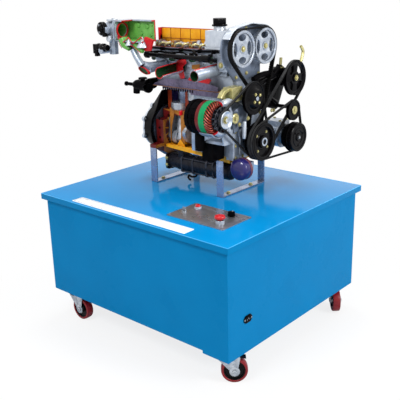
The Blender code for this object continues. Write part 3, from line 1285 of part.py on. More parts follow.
def build_pulleys(engine, black, steel):
    """The pulleys, each turned on its own axis."""
    front = pulley_span("compressor")[1]
    rear = SPROCKET_X
    bore = NOSE_RADIUS + SEAT
    rim = CRANK_PULLEY - CRANK_RIM
    profile = [(rear, bore), (rear, CRANK_SPROCKET), (rear + SPROCKET_WIDTH, CRANK_SPROCKET),
               (rear + SPROCKET_WIDTH, CRANK_HUB), (PULLEY_START_X, CRANK_HUB)]
    profile += grooved(CRANK_PULLEY, BELT_WIDTHS)
    profile += [(front, rim), (front - CRANK_DISH, rim), (front - CRANK_DISH, CRANK_HUB),
                (front - SEAT, CRANK_HUB), (front - SEAT, bore)]
    solid("crank_pulley", turned("X", profile, ring=True), black, engine)

    rear, front = pulley_span("alternator")
    shaft_end = BLOCK_FRONT + OVERRUN
    profile = [(shaft_end, 0.0), (shaft_end, PUMP_SHAFT), (rear, PUMP_SHAFT)] + grooved(WATER_PULLEY, ["alternator"])
    profile += [(front, WATER_PULLEY - GROOVE_DEPTH * 2), (front - GROOVE_RIM, WATER_PULLEY - GROOVE_DEPTH * 2),
                (front - GROOVE_RIM, WATER_HUB), (front + WATER_FACE, WATER_HUB), (front + WATER_FACE, 0.0)]
    solid("water_pump_pulley", turned("X", profile, steps=PULLEY_STEPS), black, engine, (0.0, PUMP_Y, PUMP_Z))

    rear, front = pulley_span("steering")
    inner = STEERING_PULLEY - GROOVE_DEPTH * 2
    web = front - GROOVE_RIM * 2
    pump_front = rear - SEAT - GROOVE_RIM
    profile = [(pump_front - STEERING_NECK, 0.0), (pump_front - STEERING_NECK, IDLER_PIN), (rear, IDLER_PIN),
               (rear, STEERING_HUB), (web - GROOVE_RIM * 2, STEERING_HUB), (web - GROOVE_RIM * 2, inner),
               (rear, inner)] + grooved(STEERING_PULLEY, ["steering"])
    profile += [(front, inner), (web, inner), (web, STEERING_HUB), (front, STEERING_HUB), (front, 0.0)]
    wheel = turned("X", profile, steps=PULLEY_STEPS)
    pulley = solid("steering_pulley", wheel, black, engine, (0.0, STEERING_Y, STEERING_Z))
    for k in range(STEERING_WINDOWS):
        angle = math.tau * k / STEERING_WINDOWS
        spot = (STEERING_WINDOW_AT * math.cos(angle), STEERING_WINDOW_AT * math.sin(angle))
        cut(pulley, rod("X", spot, STEERING_WINDOW, rear - OVERRUN, front + OVERRUN))

    rear, front = pulley_span("compressor")
    face = front + CLUTCH_FACE
    neck = COMPRESSOR_FRONT + SEAT
    profile = [(neck - CLUTCH_FACE, 0.0), (neck - CLUTCH_FACE, IDLER_PIN), (rear, IDLER_PIN)]
    profile += grooved(CLUTCH_RADIUS, ["compressor"])
    profile += [(front + GROOVE_RIM, CLUTCH_RADIUS), (front + GROOVE_RIM, CLUTCH_PLATE), (face, CLUTCH_PLATE),
                (face, CLUTCH_HUB), (face + GROOVE_RIM, CLUTCH_HUB), (face + GROOVE_RIM, 0.0)]
    solid("compressor_clutch", turned("X", profile), black, engine, (0.0, COMPRESSOR_Y, COMPRESSOR_Z))

    bore = IDLER_PIN + SEAT
    web = rear + IDLER_RECESS
    rim = IDLER_RADIUS - GROOVE_DEPTH - IDLER_WALL
    profile = [(web, bore), (web, rim), (rear, rim)] + grooved(IDLER_RADIUS, ["compressor"]) + [(front, bore)]
    solid("idler_pulley", turned("X", profile, ring=True), black, engine, (0.0, IDLER_Y, IDLER_Z))


def build_alternator(engine, metal, black, green, copper, steel):
    """The sectioned alternator: housings, stator, its winding and the rotor."""
    origin = (0.0, ALTERNATOR_Y, ALTERNATOR_Z)
    stator_profile = [(STATOR_REAR, STATOR_BORE), (STATOR_REAR, STATOR_RADIUS), (STATOR_FRONT, STATOR_RADIUS),
                      (STATOR_FRONT, STATOR_BORE)]
    stator = solid("alternator_stator", turned("X", stator_profile, ring=True), green, engine, origin)
    rear_inner = STATOR_RADIUS - REAR_COVER_WALL
    bore = ALTERNATOR_SHAFT + SEAT
    profile = [(ALTERNATOR_REAR, bore), (ALTERNATOR_REAR, STATOR_RADIUS - REAR_COVER_WALL),
               (ALTERNATOR_REAR + REAR_COVER_WALL, STATOR_RADIUS), (REAR_COVER_FRONT, STATOR_RADIUS),
               (REAR_COVER_FRONT, rear_inner), (ALTERNATOR_REAR + REAR_COVER_WALL, rear_inner),
               (ALTERNATOR_REAR + REAR_COVER_WALL, bore)]
    cover = solid("alternator_rear_cover", turned("X", profile, ring=True), black, engine, origin)
    front_inner = STATOR_RADIUS - FRONT_HOUSING_WALL
    wall = FRONT_HOUSING_FRONT - FRONT_HOUSING_WALL
    profile = [(FRONT_HOUSING_REAR, front_inner), (FRONT_HOUSING_REAR, STATOR_RADIUS),
               (wall, STATOR_RADIUS), (FRONT_HOUSING_FRONT, front_inner), (FRONT_HOUSING_FRONT, bore),
               (wall, bore), (wall, front_inner)]
    housing = solid("alternator_housing", turned("X", profile, ring=True), metal, engine, origin)
    join(housing, prism("X", shell_outline(), STATOR_FRONT + SEAT, FRONT_HOUSING_REAR + FRONT_HOUSING_WALL))
    join(cover, prism("X", shell_outline(), REAR_COVER_FRONT - REAR_COVER_WALL, STATOR_REAR - SEAT))
    add_housing_lugs(housing)
    join(cover, box((REAR_LUG_REAR, -REAR_LUG_HALF, REAR_LUG_LOW - ALTERNATOR_Z),
                    (REAR_LUG_FRONT, REAR_LUG_HALF, REAR_COVER_WALL / 2 - STATOR_RADIUS)))
    profile = [(ALTERNATOR_REAR + SEAT, 0.0), (ALTERNATOR_REAR + SEAT, ALTERNATOR_SHAFT),
               (ROTOR_REAR, ALTERNATOR_SHAFT), (ROTOR_REAR, ROTOR_RADIUS), (ROTOR_FRONT, ROTOR_RADIUS),
               (ROTOR_FRONT, FAN_RADIUS), (FAN_FRONT, FAN_RADIUS), (FAN_FRONT, ALTERNATOR_SHAFT)]
    rear, front = pulley_span("alternator")
    profile += [(rear, ALTERNATOR_SHAFT)] + grooved(ALTERNATOR_PULLEY, ["alternator"])
    profile += [(front, ALTERNATOR_SHAFT * 1.5), (front + GROOVE_RIM * 3, ALTERNATOR_SHAFT * 1.5),
                (front + GROOVE_RIM * 3, 0.0)]
    solid("alternator_rotor", turned("X", profile), steel, engine, origin)
    build_winding(engine, copper, origin)
    return cover


def shell_outline():
    """The stretch of the alternator's wall that the section leaves, on its far and lower sides."""
    outer = STATOR_RADIUS - SEAT
    arc = circle((0.0, 0.0), outer, SMALL_STEPS, SHELL_START, SHELL_SWEEP)
    inner = circle((0.0, 0.0), outer - SHELL_THICK, SMALL_STEPS, SHELL_START, SHELL_SWEEP)
    return arc + inner[::-1]


def add_housing_lugs(housing):
    """The lower lug on the engine mount and the upper lug under the gold bracket."""
    low = LUG_LOW - ALTERNATOR_Z
    near, far = LUG_NEAR - ALTERNATOR_Y, LUG_FAR - ALTERNATOR_Y
    rear, front = WINDING_FRONT + WINDING_CLEAR, FRONT_HOUSING_REAR + FRONT_HOUSING_WALL
    deep = -FAN_RADIUS - FRONT_HOUSING_WALL
    join(housing, prism("X", [(near - LUG_THICK, deep), (near, low), (far, low), (far, deep)], rear, front))
    join(housing, box((LUG_FOOT_REAR, near, low), (front, far, low + LUG_FOOT_THICK)))
    return housing


def winding_points():
    """The stator winding: one unbroken wire that coils round the stator's front end turns."""
    outer = STATOR_RADIUS - SHELL_THICK - WINDING_CLEAR
    middle = (WINDING_INNER + outer) / 2
    across = (outer - WINDING_INNER) / 2 - WINDING_WIRE
    along = (WINDING_FRONT - STATOR_FRONT - WINDING_CLEAR) / 2 - WINDING_WIRE
    start = STATOR_FRONT + WINDING_CLEAR + WINDING_WIRE
    sweep = math.tau * (1.0 - 1.0 / WINDING_CURLS)
    points = []
    total = WINDING_CURLS * WINDING_POINTS
    for k in range(total + 1):
        curl = math.tau * k / WINDING_POINTS
        around = sweep * k / total
        radius = middle + across * math.cos(curl)
        x = start + along + along * math.sin(curl)
        points.append((x, radius * math.cos(around), radius * math.sin(around)))
    return points


def build_winding(engine, copper, origin):
    """The winding's tube."""
    points = winding_points()
    curve = bpy.data.curves.new("stator_winding", "CURVE")
    curve.dimensions = "3D"
    curve.bevel_depth = WINDING_WIRE
    curve.bevel_resolution = 1
    curve.use_fill_caps = True
    spline = curve.splines.new("POLY")
    spline.points.add(len(points) - 1)
    for target, place in zip(spline.points, points):
        target.co = (*place, 1.0)
    winding = bpy.data.objects.new("stator_winding", curve)
    winding.data.materials.append(copper)
    winding.parent = engine
    winding.location = origin
    bpy.context.scene.collection.objects.link(winding)
    apart = WINDING_POINTS // 2
    least = min((Vector(a) - Vector(b)).length for i, a in enumerate(points) for b in points[i + apart:])
    print(f"Least gap of the winding to itself: {(least - 2 * WINDING_WIRE) * 1000:.2f} mm")
    return winding


def build_brackets(engine, black, gold, metal):
    """The engine mount, the gold bracket, the steering pump on its carrier and the compressor."""
    low = STAND_HEIGHT - CRANK_ABOVE_DECK + SEAT
    mount = box((MOUNT_REAR, MOUNT_NEAR, low), (MOUNT_FRONT, -BLOCK_HALF - SEAT, MOUNT_TOP))
    solid("engine_mount", mount, black, engine)
    rear = BLOCK_FRONT + SEAT
    plate = [(BRACKET_NEAR, BRACKET_LOW), (BRACKET_FAR, BRACKET_LOW), (BRACKET_FAR, BRACKET_HIGH),
             (BRACKET_NEAR, BRACKET_HIGH)]
    bracket = solid("mount_bracket", prism("X", plate, rear, rear + BRACKET_DEPTH), gold, engine)
    centre = (BRACKET_NEAR, BRACKET_HIGH - BRACKET_EAR)
    outer = circle(centre, BRACKET_EAR, SMALL_STEPS // 2, math.pi / 2, BRACKET_EAR_SWEEP)
    inner = circle(centre, BRACKET_EAR - BRACKET_EAR_WIDTH, SMALL_STEPS // 2, math.pi / 2, BRACKET_EAR_SWEEP)
    overlap = BRACKET_EAR_WIDTH
    ear = [(BRACKET_NEAR + overlap, BRACKET_HIGH)] + outer + inner[::-1]
    ear += [(BRACKET_NEAR + overlap, BRACKET_HIGH - BRACKET_EAR_WIDTH)]
    join(bracket, prism("X", ear, rear + BRACKET_DEPTH / 4, rear + BRACKET_DEPTH * 3 / 4))
    carrier = hull([(CARRIER_FOOT_NEAR, CARRIER_FOOT_LOW), (CARRIER_FOOT_NEAR, CARRIER_FOOT_HIGH)]
                   + circle((STEERING_Y, STEERING_Z), CARRIER_MARGIN, SMALL_STEPS)
                   + circle((IDLER_STEM_Y, IDLER_STEM_Z), CARRIER_MARGIN / 2, SMALL_STEPS))
    pump = solid("steering_pump", prism("X", carrier, rear, rear + CARRIER_THICK), black, engine)
    pump_rear = rear + CARRIER_THICK - STEERING_PUMP_LENGTH
    neck = pulley_span("steering")[0] - GROOVE_RIM
    join(pump, turned("X", [(pump_rear, 0.0), (pump_rear, STEERING_PUMP),
                            (rear + CARRIER_THICK + STEERING_NECK, STEERING_PUMP),
                            (rear + CARRIER_THICK + STEERING_NECK, STEERING_NECK), (neck, STEERING_NECK),
                            (neck, 0.0)], (STEERING_Y, STEERING_Z)))
    cut(pump, rod("X", (STEERING_Y, STEERING_Z), IDLER_PIN + SEAT, neck - STEERING_NECK - SEAT, neck + OVERRUN,
                  ROUND_STEPS))
    idler_rear, idler_front = pulley_span("compressor")
    disc = (idler_rear + SEAT, idler_rear + IDLER_RECESS - SEAT)
    middle = sum(disc) / len(disc)
    plate = IDLER_RADIUS - GROOVE_DEPTH - IDLER_WALL * 2
    join(pump, rod("X", (IDLER_STEM_Y, IDLER_STEM_Z), IDLER_STEM, rear + CARRIER_THICK / 2, middle))
    join(pump, rod("X", (IDLER_Y, IDLER_Z), plate, *disc, ROUND_STEPS))
    join(pump, rod("X", (IDLER_Y, IDLER_Z), IDLER_PIN, middle, idler_front + GROOVE_RIM))
    build_compressor(engine, metal)
    return mount


def build_compressor(engine, metal):
    """The compressor body with its feet on the side of the block."""
    neck = COMPRESSOR_FRONT
    centre = (COMPRESSOR_Y, COMPRESSOR_Z)
    shoulder = neck - COMPRESSOR_NECK
    profile = [(COMPRESSOR_REAR, 0.0), (COMPRESSOR_REAR, COMPRESSOR_RADIUS - COMPRESSOR_NECK / 2),
               (COMPRESSOR_REAR + COMPRESSOR_NECK / 2, COMPRESSOR_RADIUS), (shoulder, COMPRESSOR_RADIUS),
               (shoulder, COMPRESSOR_RADIUS * 0.7), (neck, COMPRESSOR_RADIUS * 0.7), (neck, 0.0)]
    body = solid("compressor", turned("X", profile, centre), metal, engine)
    join(body, box((COMPRESSOR_FOOT_REAR, BLOCK_HALF + SEAT, COMPRESSOR_Z - COMPRESSOR_FOOT_HALF),
                   (COMPRESSOR_FOOT_FRONT, COMPRESSOR_Y, COMPRESSOR_Z + COMPRESSOR_FOOT_HALF)))
    cut(body, rod("X", centre, IDLER_PIN + SEAT, neck - CLUTCH_FACE - SEAT, neck + OVERRUN, ROUND_STEPS))
    return body


def build_intake(engine, metal, black):
    """The sectioned intake manifold, the throttle body with its plate, and the fuel rail."""
    flange = box((PORT_FLANGE_REAR, PORT_FACE - SEAT - PORT_FLANGE_THICK, PORT_FLANGE_LOW),
                 (PORT_FLANGE_FRONT, PORT_FACE - SEAT, PORT_FLANGE_HIGH))
    manifold = solid("intake_manifold", flange, metal, engine)
    root = PORT_FACE - PORT_FLANGE_THICK / 2
    low = RUNNER_Z - RUNNER_FALL
    for x in RUNNER_XS:
        join(manifold, swept([(x, root, RUNNER_Z), (x, RUNNER_END, low)], (RUNNER_RADIUS, RUNNER_RADIUS), ROUND_STEPS))
        cut(manifold, swept([(x, root - PORT_FLANGE_THICK, RUNNER_Z), (x, RUNNER_END - OVERRUN, low)],
                            (RUNNER_BORE, RUNNER_BORE), ROUND_STEPS))
    open_x = RUNNER_XS[0]
    cut(manifold, box((open_x - RUNNER_RADIUS - OVERRUN, RUNNER_END - OVERRUN, RUNNER_Z),
                      (open_x + RUNNER_RADIUS + OVERRUN, root - PORT_FLANGE_THICK, RUNNER_Z + RUNNER_RADIUS * 2)))
    turn_y = (PLENUM_NEAR + PLENUM_FAR) / 2
    rise = PLENUM_LOW + PLENUM_WALL / 2
    riser = [(RISER_X, root, RUNNER_Z), (RISER_X, turn_y + RISER_RADIUS, low), (RISER_X - RISER_RADIUS, turn_y, low),
             (RISER_X - RISER_RADIUS * 4, turn_y, low + (rise - low) / 2), (RISER_X - RISER_RADIUS * 6, turn_y, rise)]
    join(manifold, swept(riser, (RISER_RADIUS,) * len(riser)))
    join(manifold, box((PLENUM_REAR, PLENUM_NEAR, PLENUM_LOW), (PLENUM_FRONT, PLENUM_FAR, PLENUM_HIGH)))
    cut(manifold, box((PLENUM_REAR + PLENUM_WALL, PLENUM_NEAR - OVERRUN, PLENUM_LOW + PLENUM_WALL),
                      (PLENUM_FRONT + OVERRUN, PLENUM_FAR - PLENUM_WALL, PLENUM_HIGH - PLENUM_WALL)))
    cut(manifold, box((PLENUM_REAR + PLENUM_COLLAR, PLENUM_NEAR - OVERRUN, PLENUM_HIGH - PLENUM_WALL - OVERRUN),
                      (PLENUM_FRONT + OVERRUN, PLENUM_FAR - PLENUM_LIP, PLENUM_HIGH + OVERRUN)))
    cut(manifold, rod("X", (THROTTLE_Y, THROTTLE_Z), THROTTLE_BORE, PLENUM_REAR - OVERRUN,
                      PLENUM_REAR + PLENUM_WALL + OVERRUN, ROUND_STEPS))
    build_throttle(engine, metal, black)
    build_rail(engine, black)
    return manifold


def build_throttle(engine, metal, black):
    """The throttle body on the plenum's end, with its sensor and its idle bypass."""
    front = PLENUM_REAR - SEAT
    rear = front - THROTTLE_LENGTH
    centre = (THROTTLE_Y, THROTTLE_Z)
    half = THROTTLE_FLANGE_HALF
    outline = rounded_rectangle((THROTTLE_Y - half, THROTTLE_Z - half), (THROTTLE_Y + half, THROTTLE_Z + half),
                                THROTTLE_FLANGE)
    body = solid("throttle_body", prism("X", outline, front - THROTTLE_FLANGE, front), metal, engine)
    join(body, rod("X", centre, THROTTLE_BARREL, rear, front - THROTTLE_FLANGE / 2, ROUND_STEPS))
    plate_x = front - THROTTLE_PLATE_AT
    near = THROTTLE_Y - THROTTLE_BARREL
    join(body, rod("Y", (plate_x, THROTTLE_Z), SENSOR_RADIUS, near - SENSOR_REACH, THROTTLE_Y))
    bypass_top = THROTTLE_Z - THROTTLE_BORE
    join(body, rod("Z", (plate_x, THROTTLE_Y), BYPASS_RADIUS, BYPASS_LOW, bypass_top - SEAT))
    join(body, rod("Y", (plate_x - BYPASS_DROP, BYPASS_LOW + BYPASS_RADIUS), BYPASS_RADIUS * 0.7,
                   near - SENSOR_REACH * 1.4, THROTTLE_Y))
    cut(body, rod("X", centre, THROTTLE_BORE, rear - OVERRUN, front + OVERRUN, ROUND_STEPS))
    pin = THROTTLE_BARREL - THROTTLE_FLANGE / 2
    cut(body, rod("Y", (plate_x, THROTTLE_Z), bearing_bore(THROTTLE_SPINDLE, SMALL_STEPS), THROTTLE_Y - pin - SEAT,
                  THROTTLE_Y + pin + SEAT, SMALL_STEPS))
    disc = rod("X", (0.0, 0.0), THROTTLE_DISC, -THROTTLE_DISC_THICK / 2, THROTTLE_DISC_THICK / 2, ROUND_STEPS)
    plate = solid("throttle_plate", disc, black, engine, (plate_x, THROTTLE_Y, THROTTLE_Z))
    join(plate, rod("Y", (0.0, 0.0), THROTTLE_SPINDLE, -pin, pin))
    return body


def build_rail(engine, black):
    """The fuel rail with its four injectors."""
    profile = [(RAIL_REAR, 0.0), (RAIL_REAR, RAIL_RADIUS), (RAIL_FRONT - RAIL_END_LENGTH, RAIL_RADIUS),
               (RAIL_FRONT - RAIL_END_LENGTH, RAIL_END_RADIUS), (RAIL_FRONT, RAIL_END_RADIUS), (RAIL_FRONT, 0.0)]
    rail = solid("fuel_rail", turned("X", profile, (RAIL_Y, RAIL_Z), SMALL_STEPS), black, engine)
    seat = PORT_FACE - PORT_FLANGE_THICK - INJECTOR_TIP_GAP
    for cylinder in range(1, len(CRANK_PHASES) + 1):
        x = bore_x(cylinder)
        join(rail, swept([(x, RAIL_Y, RAIL_Z), (x, seat, INJECTOR_Z)], (INJECTOR_RADIUS, INJECTOR_RADIUS)))
    return rail


def build_outlet(engine, black):
    """The coolant outlet at the rear of the head."""
    centre = (OUTLET_Y, OUTLET_Z)
    tip = OUTLET_REAR - OUTLET_NOZZLE_REACH
    profile = [(tip, 0.0), (tip, OUTLET_NOZZLE), (OUTLET_REAR - OUTLET_NOZZLE, OUTLET_NOZZLE),
               (OUTLET_REAR, OUTLET_RADIUS * 0.8), (OUTLET_FRONT - OUTLET_NOZZLE, OUTLET_RADIUS * 0.8),
               (OUTLET_FRONT - OUTLET_NOZZLE, OUTLET_RADIUS), (OUTLET_FRONT, OUTLET_RADIUS), (OUTLET_FRONT, 0.0)]
    outlet = solid("coolant_outlet", turned("X", profile, centre, SMALL_STEPS + 4), black, engine)
    join(outlet, box((OUTLET_FRONT - OUTLET_NOZZLE, OUTLET_Y, OUTLET_NECK_LOW),
                     (BLOCK_REAR - SEAT, OUTLET_NECK_FAR, OUTLET_NECK_HIGH)))
    middle = (OUTLET_REAR + OUTLET_FRONT) / 2
    join(outlet, rod("Z", (middle, OUTLET_Y), OUTLET_CAP, OUTLET_Z, OUTLET_Z + OUTLET_CAP_HEIGHT, SMALL_STEPS + 4))
    join(outlet, rod("Z", (OUTLET_REAR, OUTLET_Y), OUTLET_NOZZLE * 1.5, OUTLET_Z - OUTLET_CAP_HEIGHT, OUTLET_Z))
    return outlet


def build_filter(engine, paint):
    """The domed oil filter on its pad."""
    crown = FILTER_RADIUS * 0.35
    profile = [(FILTER_NEAR, 0.0), (FILTER_NEAR + crown * 0.15, FILTER_RADIUS * 0.55),
               (FILTER_NEAR + crown * 0.5, FILTER_RADIUS * 0.85), (FILTER_NEAR + crown, FILTER_RADIUS),
               (FILTER_FAR, FILTER_RADIUS), (FILTER_FAR, FILTER_NECK), (FILTER_PAD_NEAR - SEAT, FILTER_NECK),
               (FILTER_PAD_NEAR - SEAT, 0.0)]
    return solid("oil_filter", turned("Y", profile, (FILTER_X, FILTER_Z)), paint, engine)


def main():
    """Build every piece."""
    for old in list(bpy.data.objects):
        bpy.data.objects.remove(old)
    blue = finish("cabinet_blue", (0.016, 0.212, 0.491), 0.3, 0.0)
    steel = finish("brushed_steel", (0.45, 0.45, 0.48), 0.35, 1.0)
    zinc = finish("bright_zinc", (0.55, 0.55, 0.56), 0.3, 1.0)
    cast = finish("cast_aluminium", (0.42, 0.43, 0.46), 0.45, 0.7)
    section = finish("section_orange", (0.75, 0.28, 0.02), 0.4, 0.0)
    black = finish("black_enamel", (0.012, 0.012, 0.014), 0.35, 0.0)
    rubber = finish("belt_rubber", (0.02, 0.02, 0.02), 0.7, 0.0)
    red = finish("signal_red", (0.6, 0.01, 0.01), 0.35, 0.0)
    pale = finish("pale_plastic", (0.7, 0.7, 0.68), 0.5, 0.0)
    gold = finish("yellow_zinc", (0.6, 0.47, 0.18), 0.3, 0.9)
    green = finish("stator_green", (0.0, 0.3, 0.1), 0.4, 0.0)
    copper = finish("winding_red", (0.4, 0.05, 0.02), 0.4, 0.0)
    tyre = finish("wheel_red", (0.35, 0.02, 0.03), 0.5, 0.0)
    violet = finish("filter_blue", (0.05, 0.03, 0.3), 0.3, 0.0)
    build_cabinet(blue)
    build_deck(blue)
    for x, y, name in caster_places():
        build_caster(name, x, y, math.radians(CASTER_SWIVELS[name]), zinc, tyre, zinc, "operator" in name)
    build_controls(steel, black, red, pale)
    build_stand("stand_front", FRONT_STAND_X, FRONT_STAND_WIDTH, steel)
    build_stand("stand_rear", REAR_STAND_X, REAR_STAND_WIDTH, steel)
    engine = empty("engine_frame", (0.0, CRANK_Y, DECK_TOP + CRANK_ABOVE_DECK))
    build_block(engine, section)
    build_crankshaft(engine, steel)
    for cylinder in VISIBLE_CYLINDERS:
        build_piston(engine, cylinder, cast)
        build_rod(engine, cylinder, steel)
    build_lower_end(engine, section, black)
    build_head(engine, cast, section)
    build_camshaft(engine, steel)
    build_filler_cap(engine, black)
    build_timing_cover(engine, cast)
    build_sprocket(engine, "intake_sprocket", INTAKE_CAM_Y, True, steel)
    build_sprocket(engine, "exhaust_sprocket", EXHAUST_CAM_Y, False, steel)
    build_belts(engine, rubber)
    build_pulleys(engine, black, steel)
    build_alternator(engine, cast, black, green, copper, steel)
    build_brackets(engine, black, gold, cast)
    build_intake(engine, cast, black)
    build_outlet(engine, black)
    build_filter(engine, violet)


main()
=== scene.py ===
"""Studio scene of a sectioned four-cylinder engine on a wheeled training cabinet.

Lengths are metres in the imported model's frame. Pieces of the engine are drawn
from the crankshaft's axis and shifted to their place when they are made.
"""
from __future__ import annotations

import json
import logging
import math
from dataclasses import dataclass, field
from enum import Enum
from typing import Any, Callable, Iterable, Sequence

import bmesh
import bpy
from mathutils import Matrix, Vector

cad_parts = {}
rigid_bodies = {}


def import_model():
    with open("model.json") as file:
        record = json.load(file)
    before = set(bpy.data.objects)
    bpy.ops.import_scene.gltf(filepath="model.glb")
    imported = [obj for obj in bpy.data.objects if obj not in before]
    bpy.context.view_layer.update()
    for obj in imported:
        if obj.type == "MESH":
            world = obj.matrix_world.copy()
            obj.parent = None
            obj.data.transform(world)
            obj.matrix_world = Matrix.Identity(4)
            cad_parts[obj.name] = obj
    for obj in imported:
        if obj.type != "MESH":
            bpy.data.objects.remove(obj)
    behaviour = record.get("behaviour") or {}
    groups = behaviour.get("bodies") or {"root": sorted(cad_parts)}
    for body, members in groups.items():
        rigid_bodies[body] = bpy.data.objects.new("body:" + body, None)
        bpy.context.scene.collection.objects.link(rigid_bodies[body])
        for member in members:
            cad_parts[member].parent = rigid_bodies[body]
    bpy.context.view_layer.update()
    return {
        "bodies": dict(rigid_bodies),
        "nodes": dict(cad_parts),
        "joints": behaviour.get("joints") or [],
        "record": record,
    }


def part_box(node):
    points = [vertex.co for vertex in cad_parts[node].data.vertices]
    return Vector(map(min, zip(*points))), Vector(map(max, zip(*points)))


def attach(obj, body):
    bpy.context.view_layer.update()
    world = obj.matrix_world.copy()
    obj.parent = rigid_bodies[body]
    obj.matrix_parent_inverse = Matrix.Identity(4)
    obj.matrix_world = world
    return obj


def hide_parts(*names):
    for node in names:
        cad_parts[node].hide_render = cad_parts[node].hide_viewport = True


LOG = logging.getLogger("trainer")
Mesh = bmesh.types.BMesh
Socket = bpy.types.NodeSocket
Pair = tuple[float, float]
Triple = tuple[float, float, float]
Wheel = tuple[float, float, float, int]
ENGINE = Vector((0.0, 0.1, 0.772))
FLOOR = Vector((0.0, 0.0, 0.0))
UP: Triple = (0.0, 0.0, 1.0)
NEAR: Triple = (0.0, -1.0, 0.0)
FAR: Triple = (0.0, 1.0, 0.0)
AHEAD: Triple = (1.0, 0.0, 0.0)
BACK: Triple = (-1.0, 0.0, 0.0)
CYLINDERS = tuple(0.094 - 0.096 * number for number in range(4))
SMOOTH = math.radians(32.0)


class Grain(Enum):
    """A surface's texture: grains per metre, their stretch along each axis and their depth."""

    CAST = (900.0, (1.0, 1.0, 1.0), 0.00025)
    LACQUER = (120.0, (1.0, 1.0, 1.0), 0.00002)
    BRUSHED = (1500.0, (0.015, 1.0, 1.0), 0.00004)
    TURNED = (1600.0, (1.0, 0.03, 0.03), 0.00005)
    MOULDED = (1400.0, (1.0, 1.0, 1.0), 0.00006)
    RUBBER = (700.0, (1.0, 1.0, 1.0), 0.00012)
    BRUSHWORK = (160.0, (1.0, 1.0, 0.35), 0.0003)
    WOUND = (420.0, (1.0, 0.2, 1.0), 0.0005)


def shade(code: str) -> tuple[float, float, float, float]:
    """Turns a screen colour into the linear one that a shader takes.

    Args:
        code: six hexadecimal digits.

    Returns:
        Red, green, blue and full opacity.
    """
    parts = [int(code[i:i + 2], 16) / 255 for i in (0, 2, 4)]
    red, green, blue = (p / 12.92 if p <= 0.04045 else ((p + 0.055) / 1.055) ** 2.4 for p in parts)
    return red, green, blue, 1.0


class Graph:
    """The node tree of a material or of the world, written one node at a time."""

    def __init__(self, owner: bpy.types.Material | bpy.types.World) -> None:
        """Starts an empty tree in its owner."""
        owner.use_nodes = True
        self.owner = owner
        self.tree = owner.node_tree
        self.tree.nodes.clear()

    def node(self, kind: str, inputs: dict[Any, Any] | None = None, **settings: Any) -> bpy.types.Node:
        """Adds one node.

        Args:
            kind: the node's type.
            inputs: values or sockets for its inputs, by name or number.
            settings: the node's own properties.

        Returns:
            The node.
        """
        made = self.tree.nodes.new(kind)
        for key, value in settings.items():
            setattr(made, key, value)
        for key, value in (inputs or {}).items():
            if isinstance(value, Socket):
                self.tree.links.new(value, made.inputs[key])
            else:
                made.inputs[key].default_value = value
        return made

    def noise(self, place: Socket, scale: float, detail: float = 3.0) -> Socket:
        """Adds a noise texture at some coordinates, with its grains per metre and finer layers."""
        return self.node("ShaderNodeTexNoise", {"Vector": place, "Scale": scale, "Detail": detail}).outputs[0]

    def spread(self, value: Socket, low: float, high: float, start: float = 0.3, end: float = 0.7) -> Socket:
        """Maps a texture's values from start to end onto the range from low to high."""
        return self.node("ShaderNodeMapRange", {"Value": value, "From Min": start, "From Max": end,
            "To Min": low, "To Max": high}).outputs[0]

    def blend(self, share: Any, first: Any, second: Any) -> Socket:
        """Mixes two colours or sockets by the share of the second."""
        return self.node("ShaderNodeMix", {0: share, 6: first, 7: second}, data_type="RGBA").outputs[2]

    def either(self, first: Socket, second: Socket) -> Socket:
        """The larger of two values."""
        return self.node("ShaderNodeMath", {0: first, 1: second}, operation="MAXIMUM").outputs[0]


@dataclass(frozen=True)
class Finish:
    """One procedural finish: its colours, grain, gloss, the painted shade in its corners and the record's slot
    that it belongs to.
    """

    name: str
    colour: str
    stain: str
    grain: Grain
    slot: str
    metallic: float = 0.0
    roughness: float = 0.5
    patch: float = 22.0
    # Share and dark tint of the painted shade in corners and recesses.
    painted_shade: float = 0.0
    painted_shade_colour: str = "15130f"
    gloss: float = 0.5

    def material(self) -> bpy.types.Material:
        """The finish's material, made on its first use."""
        found = bpy.data.materials.get(f"finish_{self.name}")
        if found:
            return found
        graph = Graph(bpy.data.materials.new(f"finish_{self.name}"))
        place = graph.node("ShaderNodeTexCoord").outputs["Object"]
        grains, stretch, depth = self.grain.value
        fine_place = graph.node("ShaderNodeMapping", {"Vector": place, "Scale": stretch}).outputs[0]
        mottle = graph.noise(place, self.patch, 5.0)
        fine = graph.noise(fine_place, grains, 2.0)
        tone = graph.blend(graph.spread(mottle, 0.0, 1.0), shade(self.colour), shade(self.stain))
        tone = graph.blend(graph.spread(fine, 0.0, 0.35, 0.45, 0.75), tone, shade(self.stain))
        # Painted shade: ambient occlusion blends the colour towards a dark tint in corners, creases and
        # recesses.
        if self.painted_shade:
            corner_shade = graph.node("ShaderNodeAmbientOcclusion", {"Distance": 0.018}, samples=6).outputs["AO"]
            tone = graph.blend(graph.spread(corner_shade, self.painted_shade, 0.0, 0.25, 0.9), tone, shade(self.painted_shade_colour))
        rough = graph.spread(mottle, max(0.05, self.roughness - 0.08), min(1.0, self.roughness + 0.1))
        relief = graph.node("ShaderNodeBump", {"Height": fine, "Distance": depth, "Strength": 0.7})
        surface = graph.node("ShaderNodeBsdfPrincipled", {"Base Color": tone, "Roughness": rough,
            "Metallic": self.metallic, "Specular IOR Level": self.gloss, "Normal": relief.outputs[0]})
        graph.node("ShaderNodeOutputMaterial", {"Surface": surface.outputs[0]})
        return graph.owner


